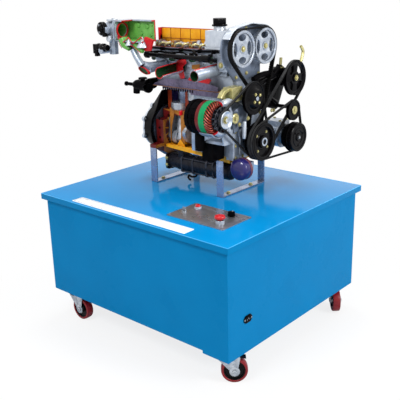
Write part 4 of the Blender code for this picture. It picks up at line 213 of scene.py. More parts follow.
BLUE = Finish("blue_powder_coat", "056fa4", "0775ab", Grain.LACQUER, "cabinet_blue", 0.0, 0.3, 5.0, gloss=0.02)
# The deck's top: glossier than the powder coat, and lighter in colour as painted light on the upward faces.
LIT_DECK_TOP = Finish("blue_deck_gloss_lit_top", "0580bd", "0888c6", Grain.LACQUER, "cabinet_blue", 0.0, 0.1, 5.0, gloss=0.09)
STRIP = Finish("white_strip_film", "f4f6f7", "e8ecef", Grain.LACQUER, "steel", 0.0, 0.35, 30.0)
PANEL = Finish("brushed_panel_steel", "b4b4b8", "8d8d93", Grain.BRUSHED, "steel", 0.85, 0.3, 14.0)
STAND = Finish("satin_stand_steel", "a4b2cc", "8492ae", Grain.BRUSHED, "steel", 0.75, 0.26, 30.0, 0.35)
ZINC = Finish("bright_zinc_plate", "c6cacf", "868d96", Grain.TURNED, "zinc", 0.85, 0.26, 60.0, 0.5)
GOLD = Finish("yellow_passivated_zinc", "e2d69a", "a39d62", Grain.TURNED, "yellow_zinc", 0.5, 0.26, 90.0, 0.7,
    "3a2c0c")
CAST = Finish("silver_casting_paint", "b9c2cf", "8e99a9", Grain.CAST, "cast_aluminium", 0.45, 0.32, 38.0, 0.9)
PALE = Finish("pale_casting_paint", "dce1e8", "b8c0cb", Grain.CAST, "cast_aluminium", 0.35, 0.32, 38.0, 0.8)
DARK_CAST = Finish("grey_casting_paint", "7f8b9e", "657082", Grain.CAST, "cast_aluminium", 0.4, 0.32, 38.0,
    0.85)
STEEL = Finish("polished_steel_face", "e8ecf2", "99a2b0", Grain.TURNED, "machined_steel", 0.55, 0.18, 60.0,
    0.35)
DECK_BAND = Finish("violet_joint_face", "544c66", "6b6078", Grain.BRUSHED, "machined_steel", 0.3, 0.28, 60.0,
    0.5)
GASKET = Finish("gasket_edge", "b5794c", "7d4d33", Grain.MOULDED, "section_orange", 0.0, 0.6, 60.0)
BLACK = Finish("black_gloss_enamel", "060506", "0d0c0e", Grain.LACQUER, "black_enamel", 0.0, 0.16, 35.0,
    gloss=0.1)
SATIN = Finish("satin_black_plastic", "060506", "0d0c0e", Grain.MOULDED, "black_enamel", 0.0, 0.32, 40.0,
    gloss=0.015)
MOTOR = Finish("motor_black_paint", "131319", "1f2029", Grain.CAST, "black_enamel", 0.0, 0.26, 40.0, 0.6,
    gloss=0.16)
FRAME_GREY = Finish("motor_frame_grey", "26262d", "33343d", Grain.CAST, "black_enamel", 0.0, 0.3, 40.0, 0.6,
    gloss=0.3)
# A lighter blue for a thin line along the deck's top edges: a painted highlight.
EDGE_HIGHLIGHT = Finish("blue_painted_edge_highlight", "4fb4ea", "3ea6e2", Grain.LACQUER, "cabinet_blue", 0.0, 0.25, 5.0,
    gloss=0.2)
RUBBER = Finish("belt_rubber_black", "080707", "121111", Grain.RUBBER, "belt_rubber", 0.0, 0.45, 50.0,
    gloss=0.1)
# Grey for a ribbed belt's back and rib faces.
GREY_BELT_FACES = Finish("belt_back_grey", "3a3a3a", "2c2c2d", Grain.RUBBER, "belt_rubber", 0.0, 0.55, 60.0,
    gloss=0.1)
YELLOW = Finish("section_yellow", "fcb724", "ee9d14", Grain.BRUSHWORK, "section_orange", 0.0, 0.34, 35.0, 0.75,
    "8a3b08", gloss=0.3)
OCHRE = Finish("section_ochre", "b9762c", "9a5f1f", Grain.BRUSHWORK, "section_orange", 0.0, 0.36, 45.0, 0.8,
    "4a1d08", gloss=0.3)
RED = Finish("section_red", "d01720", "a80f18", Grain.BRUSHWORK, "section_orange", 0.0, 0.3, 35.0, 0.4,
    gloss=0.3)
DARK_RED = Finish("section_dark_red", "6e1514", "4f0c0d", Grain.BRUSHWORK, "section_orange", 0.0, 0.34, 35.0,
    0.6, gloss=0.3)
BRICK = Finish("section_brick", "b3431c", "832a16", Grain.BRUSHWORK, "section_orange", 0.0, 0.34, 45.0, 0.6,
    gloss=0.3)
GREEN = Finish("section_green", "72b353", "56993f", Grain.BRUSHWORK, "section_orange", 0.0, 0.26, 34.0, 0.75,
    "123012", gloss=0.4)
# The green passage paint darkened: painted shade inside ports, runners, the mouth's bowl and behind the
# throttle plate.
SHADED_GREEN = Finish("section_green_painted_shade", "123d1f", "0b2814", Grain.BRUSHWORK, "section_orange", 0.0, 0.28,
    30.0, 0.6, gloss=0.3)
STATOR = Finish("stator_green_paint", "0a9457", "077f4b", Grain.WOUND, "stator_green", 0.0, 0.38, 30.0, 0.4,
    gloss=0.2)
COPPER = Finish("varnished_winding", "b4452c", "6a1f14", Grain.WOUND, "winding_red", 0.3, 0.32, 120.0, 0.95,
    "140303")
BORE = Finish("honed_bore", "9fb0cc", "6d7a98", Grain.TURNED, "cast_aluminium", 0.75, 0.22, 40.0, 0.5, "1c1838")
# Violet for a band across each bore's wall: painted shade.
VIOLET_BORE_SHADE = Finish("violet_bore_painted_shade", "38306e", "262050", Grain.TURNED, "cast_aluminium", 0.3, 0.25, 40.0, 0.4)
FILTER = Finish("filter_blue_enamel", "2b2768", "232058", Grain.LACQUER, "filter_blue", 0.0, 0.12, 30.0)
FILTER_RIM = Finish("filter_brown_seam", "703436", "58304a", Grain.LACQUER, "filter_blue", 0.0, 0.3, 40.0)
TYRE = Finish("red_wheel_polymer", "8e1820", "6d1017", Grain.RUBBER, "wheel_red", 0.0, 0.34, 30.0, 0.3,
    gloss=0.3)
STOP = Finish("stop_red_plastic", "d4171c", "b81218", Grain.MOULDED, "signal_red", 0.0, 0.25, 40.0)
WHITE = Finish("bright_wheel_face", "cfd5dd", "98a2b2", Grain.TURNED, "machined_steel", 0.5, 0.24, 60.0, 0.6)


def across(axis: str, along: float, u: float, v: float) -> Vector:
    """A point at (u, v) across an axis, in the order that keeps the frame right-handed."""
    return Vector({"X": (along, u, v), "Y": (u, along, v), "Z": (u, v, along)}[axis])


def arc(centre: Pair, radius: float, steps: int = 48, start: float = 0.0,
        sweep: float = math.tau) -> list[Pair]:
    """Points round an arc.

    Args:
        centre: its centre.
        radius: its radius.
        steps: how many straight lines.
        start: the first angle.
        sweep: the angle that it covers; a full turn doesn't repeat its first point.

    Returns:
        The points.
    """
    count = steps if abs(sweep - math.tau) < 1e-9 else steps + 1
    turns = (start + sweep * i / steps for i in range(count))
    return [(centre[0] + radius * math.cos(a), centre[1] + radius * math.sin(a)) for a in turns]


def rounded(low: Pair, high: Pair, radius: float, steps: int = 6) -> list[Pair]:
    """A rectangle's outline with round corners.

    Args:
        low: its lowest corner.
        high: its highest corner.
        radius: the corners' radius.
        steps: lines in each corner.

    Returns:
        The outline.
    """
    spots = ((high[0] - radius, high[1] - radius), (low[0] + radius, high[1] - radius), (low[0] + radius, low[1]
        + radius), (high[0] - radius, low[1] + radius))
    points: list[Pair] = []
    for quarter, centre in enumerate(spots):
        points += arc(centre, radius, steps, quarter * math.pi / 2, math.pi / 2)
    return points


def ellipse(centre: Pair, wide: float, tall: float, steps: int = 40, tilt: float = 0.0) -> list[Pair]:
    """Points round an ellipse of two half sizes that leans by tilt, in radians."""
    level = ((wide * a, tall * b) for a, b in arc((0.0, 0.0), 1.0, steps))
    return [(centre[0] + u * math.cos(tilt) - v * math.sin(tilt),
        centre[1] + u * math.sin(tilt) + v * math.cos(tilt)) for u, v in level]


def fluted(centre: Pair, radius: float, depth: float, flutes: int, steps: int) -> list[Pair]:
    """Points round a grip of a mean radius, with flutes of half the depth given."""
    turns = (math.tau * i / steps for i in range(steps))
    return [arc(centre, radius + depth * math.cos(flutes * a), 1, a)[0] for a in turns]


def beyond(face: float, *points: Pair) -> list[Pair]:
    """A profile whose places along the axis are measured from a face."""
    return [(face + along, radius) for along, radius in points]


def off_axis(point: Vector, axis: Pair) -> float:
    """How far a point lies from an axis along X."""
    return math.hypot(point.y - axis[0], point.z - axis[1])


def upright(direction: Triple) -> Matrix:
    """The turn that brings the X axis to a direction."""
    return Vector(AHEAD).rotation_difference(Vector(direction)).to_matrix().to_4x4()


def tidy(bm: Mesh) -> Mesh:
    """The mesh with its faces pointing out."""
    bmesh.ops.recalc_face_normals(bm, faces=bm.faces)
    return bm


def skin(bm: Mesh, rows: Sequence[Sequence[bmesh.types.BMVert]], looped: bool = False) -> None:
    """Joins rows of points by faces.

    Args:
        bm: the mesh that holds the points.
        rows: the rows, all of one length and each closed on itself.
        looped: True to join the last row to the first.
    """
    for first, second in zip(rows, [*rows[1:], rows[0]] if looped else rows[1:]):
        for i in range(len(first)):
            j = (i + 1) % len(first)
            bm.faces.new((first[i], first[j], second[j], second[i]))


def lathe(profile: Sequence[Pair], centre: Pair = (0.0, 0.0), axis: str = "X", steps: int = 64,
        ring: bool = False) -> Mesh:
    """A shape turned on an axis.

    Args:
        profile: places along the axis with their radius.
        centre: where the axis stands.
        axis: X, Y or Z.
        steps: how many lines round it.
        ring: True where the profile closes on itself off the axis.

    Returns:
        The mesh.
    """
    bm = bmesh.new()
    rows: list[list[bmesh.types.BMVert]] = []
    for along, radius in profile:
        if radius < 1e-7:
            rows.append([bm.verts.new(across(axis, along, *centre))])
        else:
            rows.append([bm.verts.new(across(axis, along, u, v)) for u, v in arc(centre, radius, steps)])
    pairs = list(zip(rows, rows[1:]))
    if ring:
        pairs.append((rows[-1], rows[0]))
    for first, second in pairs:
        for i in range(steps):
            j = (i + 1) % steps
            corners = [first[i % len(first)], first[j % len(first)], second[j % len(second)],
                second[i % len(second)]]
            corners = list(dict.fromkeys(corners))
            if len(corners) > 2:
                bm.faces.new(corners)
    if not ring:
        for row in (rows[0], rows[-1]):
            if len(row) > 1:
                bm.faces.new(row)
    return tidy(bm)


def rod(low: float, high: float, radius: float, centre: Pair = (0.0, 0.0), axis: str = "X",
        steps: int = 64) -> Mesh:
    """A plain turned rod between two places along its axis."""
    return lathe([(low, 0.0), (low, radius), (high, radius), (high, 0.0)], centre, axis, steps)


def sleeve(low: float, high: float, inner: float, outer: float, centre: Pair = (0.0, 0.0), axis: str = "X",
        steps: int = 64) -> Mesh:
    """A plain turned ring between two places along its axis."""
    return lathe([(low, inner), (low, outer), (high, outer), (high, inner)], centre, axis, steps, True)


def slab(outline: Sequence[Pair], low: float, high: float, axis: str = "X",
        holes: Sequence[Sequence[Pair]] = (), edge: float = 0.0006) -> Mesh:
    """A flat plate with holes and rounded edges.

    Args:
        outline: its outline across the axis.
        low: its lower face along the axis.
        high: its upper face.
        axis: X, Y or Z.
        holes: the outlines of its holes.
        edge: the radius of its edges.

    Returns:
        The mesh.
    """
    curve = bpy.data.curves.new("slab", "CURVE")
    curve.dimensions = "2D"
    curve.fill_mode = "BOTH"
    for loop in (outline, *holes):
        spline = curve.splines.new("POLY")
        spline.points.add(len(loop) - 1)
        for target, (u, v) in zip(spline.points, loop):
            target.co = (u, v, 0.0, 1.0)
        spline.use_cyclic_u = True
    edge = min(edge, (high - low) * 0.45)
    curve.extrude = (high - low) / 2 - edge
    curve.bevel_depth = edge
    curve.bevel_resolution = 1
    curve.offset = -edge
    holder = bpy.data.objects.new("slab", curve)
    mesh = bpy.data.meshes.new_from_object(holder)
    bm = bmesh.new()
    bm.from_mesh(mesh)
    for vert in bm.verts:
        u, v, along = vert.co
        vert.co = across(axis, (low + high) / 2 + along, u, v)
    bmesh.ops.remove_doubles(bm, verts=bm.verts, dist=1e-6)
    bpy.data.objects.remove(holder)
    bpy.data.curves.remove(curve)
    bpy.data.meshes.remove(mesh)
    return tidy(bm)


def block(low: Triple, high: Triple) -> Mesh:
    """A block between two corners, for a piece whose edges are then rounded."""
    return slab([(low[1], low[2]), (high[1], low[2]), (high[1], high[2]), (low[1], high[2])], low[0], high[0],
        "X", edge=0.0008)


def flow(points: Sequence[Triple], steps: int = 6) -> list[Vector]:
    """A smooth line through some points.

    Args:
        points: the points.
        steps: lines between two of them.

    Returns:
        The line's points.
    """
    spots = [Vector(p) for p in points]
    padded = [spots[0] * 2 - spots[1], *spots, spots[-1] * 2 - spots[-2]]
    line: list[Vector] = []
    for a, b, c, d in zip(padded, padded[1:], padded[2:], padded[3:]):
        for k in range(steps):
            t = k / steps
            line.append(0.5 * ((2 * b) + (c - a) * t + (2 * a - 5 * b + 4 * c - d) * t ** 2 + (3 * b - a - 3 * c
                + d) * t ** 3))
    line.append(spots[-1])
    return line


def tube(points: Sequence[Triple], radii: float | Sequence[float], steps: int = 20, smooth: bool = True,
        bore: float = 0.0) -> Mesh:
    """A pipe or bar along a line.

    Args:
        points: the line's points.
        radii: one radius, or one for each point.
        steps: lines round it.
        smooth: True for a curved line through the points.
        bore: the share of the radius that is open at its ends; 0 closes them.

    Returns:
        The mesh.
    """
    line = flow(points) if smooth and len(points) > 2 else [Vector(p) for p in points]
    sizes = [radii] * len(points) if isinstance(radii, (int, float)) else list(radii)
    bm = bmesh.new()
    rows = []
    heading = (line[1] - line[0]).normalized()
    side = heading.orthogonal().normalized()
    for i, spot in enumerate(line):
        after = line[min(i + 1, len(line) - 1)]
        before = line[max(i - 1, 0)]
        heading = (after - before).normalized()
        side = (side - heading * side.dot(heading)).normalized()
        other = heading.cross(side)
        share = i / (len(line) - 1) * (len(sizes) - 1)
        k = min(int(share), len(sizes) - 2)
        radius = sizes[k] + (sizes[k + 1] - sizes[k]) * (share - k)
        rows.append([bm.verts.new(spot + side * (radius * math.cos(a)) + other * (radius * math.sin(a)))
            for a in (math.tau * n / steps for n in range(steps))])
    skin(bm, rows)
    for row, spot, away in ((rows[0], line[0], line[1] - line[0]), (rows[-1], line[-1], line[-2] - line[-1])):
        if not bore:
            bm.faces.new(row)
            continue
        lip = [bm.verts.new(spot + (v.co - spot) * bore) for v in row]
        deep = [bm.verts.new(v.co + away.normalized() * (row[0].co - spot).length * 1.6) for v in lip]
        skin(bm, (row, lip, deep))
        bm.faces.new(deep)
    return tidy(bm)


def merged(*shapes: Mesh) -> Mesh:
    """Several meshes as one; the first one takes the others in."""
    whole = shapes[0]
    for shape in shapes[1:]:
        mesh = bpy.data.meshes.new("part")
        shape.to_mesh(mesh)
        shape.free()
        whole.from_mesh(mesh)
        bpy.data.meshes.remove(mesh)
    return whole


def bolt(spot: Triple, direction: Triple = AHEAD, radius: float = 0.0055, height: float = 0.005) -> Mesh:
    """A hexagon bolt head on its washer.

    Args:
        spot: the middle of the washer's seat.
        direction: the way that the head points.
        radius: half the distance over the head's corners.
        height: the head's height.

    Returns:
        The mesh.
    """
    washer = lathe([(-0.0004, 0.0), (-0.0004, radius * 1.35), (height * 0.2, radius * 1.35),
        (height * 0.26, 0.0)], steps=24)
    corners = arc((0.0, 0.0), radius, 6)
    bm = bmesh.new()
    rows = [[bm.verts.new(across("X", height * x, u * k, v * k)) for u, v in corners] for x,
        k in ((0.15, 1.0), (0.9, 1.0), (1.0, 0.86))]
    skin(bm, rows)
    bm.faces.new(rows[0])
    bm.faces.new(rows[-1])
    whole = merged(washer, tidy(bm))
    whole.transform(Matrix.Translation(Vector(spot)) @ upright(direction))
    return whole


def bolts(spots: Iterable[Triple], direction: Triple = AHEAD, radius: float = 0.0055,
        height: float = 0.005) -> Mesh:
    """A row of equal bolt heads as one mesh."""
    return merged(*(bolt(s, direction, radius, height) for s in spots))


def ring_spots(centre: Pair, radius: float, count: int, along: float, start: float = 0.0) -> list[Triple]:
    """Places round a circle across X."""
    return [(along, u, v) for u, v in arc(centre, radius, count, start)]


def belt_line(wheels: Sequence[Wheel], thickness: float) -> list[tuple[float, ...]]:
    """The middle of a belt round some wheels, taken anticlockwise.

    Args:
        wheels: (u, v, radius, side), with side 1 inside the loop and -1 behind its back.
        thickness: the belt's thickness.

    Returns:
        Points with the direction to the inside of the loop.
    """
    laid = [(u, v, side * (radius + 0.0003 + thickness / 2)) for u, v, radius, side in wheels]
    headings = []
    for i, (u, v, reach) in enumerate(laid):
        nu, nv, following = laid[(i + 1) % len(laid)]
        span = math.hypot(nu - u, nv - v)
        headings.append(math.atan2(nv - v, nu - u) - math.asin((following - reach) / span))
    path = []
    for i, (u, v, reach) in enumerate(laid):
        arriving, leaving = headings[i - 1], headings[i]
        turn = (leaving - arriving) % math.tau
        if reach < 0:
            turn -= math.tau
        steps = max(2, math.ceil(abs(turn) / 0.09))
        for k in range(steps + 1):
            heading = arriving + turn * k / steps
            left = (-math.sin(heading), math.cos(heading))
            path.append((u - reach * left[0], v - reach * left[1], *left))
    return path


def band(path: Sequence[tuple[float, ...]], section: Sequence[Pair]) -> Mesh:
    """A closed band round a belt line.

    Args:
        path: the belt line.
        section: (along X, towards the inside) corners of the belt's cut.

    Returns:
        The mesh.
    """
    bm = bmesh.new()
    rows = [[bm.verts.new((x, u + nu * depth, v + nv * depth)) for x, depth in section] for u, v, nu,
        nv in path]
    skin(bm, rows, looped=True)
    return tidy(bm)


def evenly(path: Sequence[tuple[float, ...]], pitch: float) -> list[tuple[float, ...]]:
    """Places along a belt line at an even pitch.

    Args:
        path: the belt line.
        pitch: the distance between two places.

    Returns:
        Points with the direction to the inside.
    """
    spots = []
    left = 0.0
    for a, b in zip(path, list(path[1:]) + [path[0]]):
        span = math.hypot(b[0] - a[0], b[1] - a[1])
        while left < span:
            t = left / span
            spots.append(tuple(p + (q - p) * t for p, q in zip(a, b)))
            left += pitch
        left -= span
    return spots


def placed(name: str, data: bpy.types.ID) -> bpy.types.Object:
    """A new object of some data, linked into the scene."""
    made = bpy.data.objects.new(name, data)
    bpy.context.scene.collection.objects.link(made)
    return made


def lifted(node: str) -> Mesh:
    """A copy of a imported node's mesh with its flat faces whole again."""
    bm = bmesh.new()
    bm.from_mesh(bpy.data.objects[node].data)
    bmesh.ops.remove_doubles(bm, verts=bm.verts, dist=2e-5)
    bmesh.ops.dissolve_limit(bm, angle_limit=math.radians(0.6), verts=bm.verts, edges=bm.edges)
    bmesh.ops.triangulate(bm, faces=[f for f in bm.faces if len(f.verts) > 4])
    return bm


Rule = tuple[Finish, Callable[[Vector, Vector], bool]]


@dataclass
class Assembly:
    """A group of pieces that is built and dressed together."""

    at: Vector = field(default_factory=lambda: ENGINE.copy())

    def add(self, name: str, shape: Mesh | Sequence[Mesh], finish: Finish, body: str = "frame",
            stands_for: str = "", slot: str = "", edge: float = 0.0, rules: Sequence[Rule] = (),
            shift: bool = True, angle: float = 32.0) -> bpy.types.Object:
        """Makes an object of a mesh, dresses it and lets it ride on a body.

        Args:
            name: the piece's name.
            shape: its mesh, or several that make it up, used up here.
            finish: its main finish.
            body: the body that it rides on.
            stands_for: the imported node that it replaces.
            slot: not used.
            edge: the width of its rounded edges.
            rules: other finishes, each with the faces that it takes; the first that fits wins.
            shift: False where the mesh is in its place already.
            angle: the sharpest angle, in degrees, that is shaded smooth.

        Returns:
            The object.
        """
        bm = shape if isinstance(shape, Mesh) else merged(*shape)
        if shift:
            bm.transform(Matrix.Translation(self.at))
        for face in bm.faces:
            face.smooth = True
            centre = face.calc_center_median() - self.at
            for number, (_, fits) in enumerate(rules, 1):
                if fits(centre, face.normal):
                    face.material_index = number
                    break
        mesh = bpy.data.meshes.new(name)
        bm.to_mesh(mesh)
        bm.free()
        mesh.set_sharp_from_angle(angle=math.radians(angle))
        piece = placed(name, mesh)
        for coat in (finish, *(r[0] for r in rules)):
            mesh.materials.append(coat.material())
        if edge:
            self.soften(piece, edge)
        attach(piece, body)
        if stands_for:
            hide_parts(stands_for)
        LOG.info("%s: %d faces on %s", name, len(mesh.polygons), body)
        return piece

    @staticmethod
    def soften(piece: bpy.types.Object, width: float) -> None:
        """Rounds a piece's sharp edges."""
        bevel = piece.modifiers.new("edges", "BEVEL")
        bevel.width = width
        bevel.segments = 2
        bevel.limit_method = "ANGLE"
        bevel.angle_limit = SMOOTH
        bevel.harden_normals = True
        bevel.use_clamp_overlap = True

    def refine(self, node: str, finish: Finish, body: str = "frame", slot: str = "", edge: float = 0.0008,
            rules: Sequence[Rule] = ()) -> bpy.types.Object:
        """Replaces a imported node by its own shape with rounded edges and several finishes, as in add."""
        return self.add(f"{node}_dressed", lifted(node), finish, body, node, slot, edge, rules, shift=False)


@dataclass
class Studio:
    """The floor, the light and the photograph's camera."""

    position: Triple = (1.831, -2.0752, 1.4132)
    yaw: float = 131.5387
    pitch: float = -18.1228
    roll: float = -1.4261
    lens: float = 62.6384
    ambient: float = 0.6
    white_from: float = 1.05

    def camera(self) -> None:
        """Puts the camera where the photograph was taken."""
        yaw, pitch, roll = (math.radians(a) for a in (self.yaw, self.pitch, self.roll))
        ahead = Vector((math.cos(pitch) * math.cos(yaw), math.cos(pitch) * math.sin(yaw), math.sin(pitch)))
        right = ahead.cross(Vector(UP)).normalized()
        up = right.cross(ahead)
        side = right * math.cos(roll) + up * math.sin(roll)
        top = up * math.cos(roll) - right * math.sin(roll)
        data = bpy.data.cameras.new("camera")
        data.lens = self.lens
        data.sensor_width = 36.0
        data.clip_start = 0.05
        view = placed("camera", data)
        view.matrix_world = Matrix((side, top, -ahead)).transposed().to_4x4()
        view.location = self.position
        bpy.context.scene.camera = view

    def floor(self) -> None:
        """Lays the pale floor, which keeps a soft shadow."""
        mesh = bpy.data.meshes.new("floor")
        reach = 14.0
        mesh.from_pydata([(-reach, -reach, 0), (reach, -reach, 0), (reach, reach, 0), (-reach, reach, 0)], [],
            [(0, 1, 2, 3)])
        ground = placed("floor", mesh)
        graph = Graph(bpy.data.materials.new("pale_floor"))
        path = graph.node("ShaderNodeLightPath")
        soft = graph.node("ShaderNodeBsdfDiffuse", {"Color": (0.9, 0.9, 0.9, 1.0)})
        lit = graph.node("ShaderNodeEmission", {"Color": (1.0, 1.0, 1.0, 1.0), "Strength": 1.0})
        place = graph.node("ShaderNodeTexCoord").outputs["Object"]
        away = graph.node("ShaderNodeVectorMath", {0: place}, operation="LENGTH").outputs["Value"]
        bright = graph.spread(away, 0.8, 1.0, 0.55, self.white_from)
        share = graph.node("ShaderNodeMath", {0: path.outputs["Is Camera Ray"], 1: bright},
            operation="MULTIPLY")
        mixed = graph.node("ShaderNodeMixShader", {0: share.outputs[0], 1: soft.outputs[0], 2: lit.outputs[0]})
        graph.node("ShaderNodeOutputMaterial", {"Surface": mixed.outputs[0]})
        mesh.materials.append(graph.owner)

    def light(self) -> None:
        """Sets the world and the lamps."""
        world = bpy.data.worlds.new("studio")
        bpy.context.scene.world = world
        graph = Graph(world)
        path = graph.node("ShaderNodeLightPath").outputs
        plain = graph.node("ShaderNodeBackground", {"Color": (0.93, 0.96, 1.0, 1.0), "Strength": self.ambient})
        seen = graph.node("ShaderNodeBackground", {"Color": (1.0, 1.0, 1.0, 1.0), "Strength": 1.0})
        share = graph.either(graph.either(path["Is Camera Ray"], path["Is Glossy Ray"]),
            path["Is Transmission Ray"])
        mix = graph.node("ShaderNodeMixShader", {0: share, 1: plain.outputs[0], 2: seen.outputs[0]})
        graph.node("ShaderNodeOutputWorld", {"Surface": mix.outputs[0]})
        self.lamp("key", (0.2, -2.6, 3.0), (0.0, 0.0, 0.8), 1.0, 58.0)
        self.lamp("side", (3.2, 0.4, 2.2), (0.1, 0.1, 0.7), 1.2, 78.0)
        self.lamp("top", (-0.6, 0.6, 3.6), (0.0, 0.1, 0.8), 1.0, 40.0)

    def lamp(self, name: str, spot: Triple, aim: Triple, size: float, power: float) -> None:
        """Hangs one soft lamp.

        Args:
            name: its name.
            spot: where it hangs.
            aim: what it points at.
            size: the length of its sides.
            power: its power in watts.
        """
        data = bpy.data.lights.new(name, "AREA")
        data.energy = power
        data.size = size
        lamp = placed(name, data)
        lamp.location = spot
        lamp.rotation_euler = (Vector(aim) - Vector(spot)).to_track_quat("-Z", "Y").to_euler()

    def build(self) -> None:
        """Makes the whole studio."""
        bpy.context.scene.view_settings.view_transform = "Standard"
        self.camera()
        self.floor()
        self.light()


@dataclass
class Cabinet(Assembly):
    """The blue cabinet with its deck, the white strip along the operator's edge and a painted highlight along
    the deck's top edges.
    """

    at: Vector = field(default_factory=lambda: FLOOR.copy())
    deck_top: float = 0.555
    strip_low: Pair = (-0.313, -0.43)
    strip_high: Pair = (0.296, -0.375)
    strip_thick: float = 0.0012
    deck_half: Pair = (0.5, 0.4425)

    def build(self) -> None:
        """Dresses the sheet steel, lays the strip and paints the highlight on the deck's top edges."""
        # The deck's upward faces take a glossier, lighter blue; the lighter colour is painted light on the top.
        self.refine("deck", BLUE, edge=0.0025, rules=[(LIT_DECK_TOP, lambda c, n: n.z > 0.9)])
        self.refine("cabinet", BLUE, edge=0.002)
        outline = rounded(self.strip_low, self.strip_high, 0.004)
        top = self.deck_top + self.strip_thick
        self.add("name_strip", slab(outline, self.deck_top, top, "Z", edge=0.0005), STRIP)
        inset = 0.006
        low = (self.strip_low[0] + inset, self.strip_low[1] + inset)
        high = (self.strip_high[0] - inset, self.strip_high[1] - inset)
        inner = rounded((low[0] + 0.0012, low[1] + 0.0012), (high[0] - 0.0012, high[1] - 0.0012), 0.002)
        frame = slab(rounded(low, high, 0.003), top - 0.0002, top + 0.0003, "Z", [inner], 0.0001)
        self.add("name_strip_border", frame, DARK_CAST, slot="steel")
        # A thin light blue tube along the deck's top edges paints the highlight of its rounded edge.
        x, y, z = self.deck_half[0] - 0.0014, self.deck_half[1] - 0.0014, self.deck_top - 0.001
        ring = [(x, -y, z), (x, y, z), (-x, y, z), (-x, -y, z), (x, -y, z)]
        highlight_lines = [tube([first, second], 0.0013, 12, smooth=False) for first, second in zip(ring, ring[1:])]
        self.add("deck_edge_highlight", highlight_lines, EDGE_HIGHLIGHT)


@dataclass
class Controls(Assembly):
    """The panel on the deck and the mains inlet."""

    at: Vector = field(default_factory=lambda: FLOOR.copy())
    face: float = 0.558
    stop: Pair = (0.335, -0.282)
    start: Pair = (0.159, -0.2)
    knob: Pair = (0.317, -0.194)
    key: Pair = (0.141, -0.258)
    inlet: Triple = (0.4868, -0.316, 0.244)
    inlet_mouth: Pair = (0.0115, 0.008)
    shroud_wall: float = 0.002
    pins: tuple[Pair, ...] = ((-0.007, -0.002), (0.0, 0.002), (0.007, -0.002))
    screw_reach: float = 0.019

    def build(self) -> None:
        """Dresses the panel and makes its fittings."""
        self.refine("console_plate", PANEL, edge=0.0012, rules=[(WHITE, lambda c, n: c.z > self.face + 0.001)])
        corners = [(0.12, -0.315, self.face), (0.373, -0.315, self.face), (0.12, -0.166, self.face),
            (0.373, -0.166, self.face)]
        self.add("panel_screws", bolts(corners, UP, 0.0034, 0.0022), ZINC)
        self.build_stop()
        self.build_start()
        self.build_knob()
        self.build_key()
        self.refine("mains_inlet", SATIN, slot="black_plastic", edge=0.001)
        x, y, z = self.inlet
        wide, tall = self.inlet_mouth
        hole = rounded((y - wide, z - tall), (y + wide, z + tall), 0.002)
        wide, tall = wide + self.shroud_wall, tall + self.shroud_wall
        self.add("inlet_shroud", slab(rounded((y - wide, z - tall), (y + wide, z + tall), 0.003), x - 0.0002,
            x + 0.0022, "X", [hole], 0.0004), BLACK, slot="black_plastic")
        pins = [block((x - 0.0002, y + dy - 0.0011, z + dz - 0.0032), (x + 0.0016, y + dy + 0.0011,
            z + dz + 0.0032)) for dy, dz in self.pins]
        self.add("inlet_pins", pins, ZINC)
        self.add("inlet_screws", bolts([(x - 0.0002, y + side * self.screw_reach, z) for side in (-1, 1)],
            radius=0.0026, height=0.0014), ZINC)

    def build_stop(self) -> None:
        """The emergency stop: a red mushroom on its stem."""
        low, high = (p.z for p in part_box("estop_button"))
        profile = [(low, 0.0), (low, 0.0088), *beyond(high, (-0.0139, 0.0088), (-0.0133, 0.0178),
            (-0.0115, 0.0198), (-0.007, 0.02), (-0.003, 0.0178), (-0.0008, 0.011), (0.0, 0.0))]
        self.add("stop_head", lathe(profile, self.stop, "Z"), STOP, "estop", "estop_button", edge=0.0004,
            angle=50.0)

    def build_start(self) -> None:
        """The start button: a red cap that moves in its collar."""
        low, high = (p.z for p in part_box("start_button"))
        profile = [(low, 0.0), (low, 0.0104), (high - 0.0035, 0.0104), (high - 0.0012, 0.0093), (high, 0.0055),
            (high + 0.0002, 0.0)]
        self.add("start_cap", lathe(profile, self.start, "Z"), STOP, "start", "start_button", angle=50.0)

    def build_knob(self) -> None:
        """The speed knob with its flutes and pointer, over a scale of plain marks."""
        low, high = (p.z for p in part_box("speed_knob"))
        foot = self.face + 0.0006
        outline = fluted(self.knob, 0.0122, 0.0008, 16, 96)
        skirt = lathe([(foot, 0.0), (foot, 0.0138), (foot + 0.003, 0.0136), (foot + 0.004, 0.0)], self.knob,
            "Z")
        knob = merged(slab(outline, foot + 0.003, high, "Z", edge=0.0014), skirt, rod(low, foot, 0.0039,
            self.knob, "Z", 24))
        self.add("speed_knob_turned", knob, SATIN, "knob", "speed_knob", slot="black_plastic", angle=40.0)
        line = slab([(self.knob[0] - 0.0007, self.knob[1] + 0.003), (self.knob[0] + 0.0007, self.knob[1]
            + 0.003), (self.knob[0] + 0.0007, self.knob[1] + 0.0112), (self.knob[0] - 0.0007, self.knob[1]
            + 0.0112)], high - 0.0003, high + 0.0003, "Z", edge=0.0001)
        self.add("knob_pointer", line, STRIP, "knob", slot="black_plastic")
        marks = []
        for i in range(11):
            turn = math.radians(225.0 - 27.0 * i)
            spot = (self.knob[0] + 0.0205 * math.cos(turn), self.knob[1] + 0.0205 * math.sin(turn))
            marks.append(slab(arc(spot, 0.0011, 12), self.face - 0.0002, self.face + 0.0003, "Z", edge=0.0001))
        self.add("speed_scale", marks, BLACK, slot="black_plastic")

    def build_key(self) -> None:
        """The key switch: a turned bezel with the key's bow."""
        low, high = (p.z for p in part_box("key_switch"))
        rim = low + 0.007
        bezel = lathe([(low, 0.0), (low, 0.0098), (rim - 0.001, 0.0098), (rim, 0.0088), (rim, 0.006),
            (rim - 0.0015, 0.0055), (rim - 0.0015, 0.0)], self.key, "Z")
        x, y = self.key
        bow = slab(rounded((x - 0.0088, rim - 0.002), (x + 0.0088, high), 0.003), y - 0.0013, y + 0.0013, "Y",
            [arc((x, high - 0.0038), 0.0018, 16)])
        self.add("key_switch_turned", [bezel, bow], ZINC, "key", "key_switch", angle=40.0)


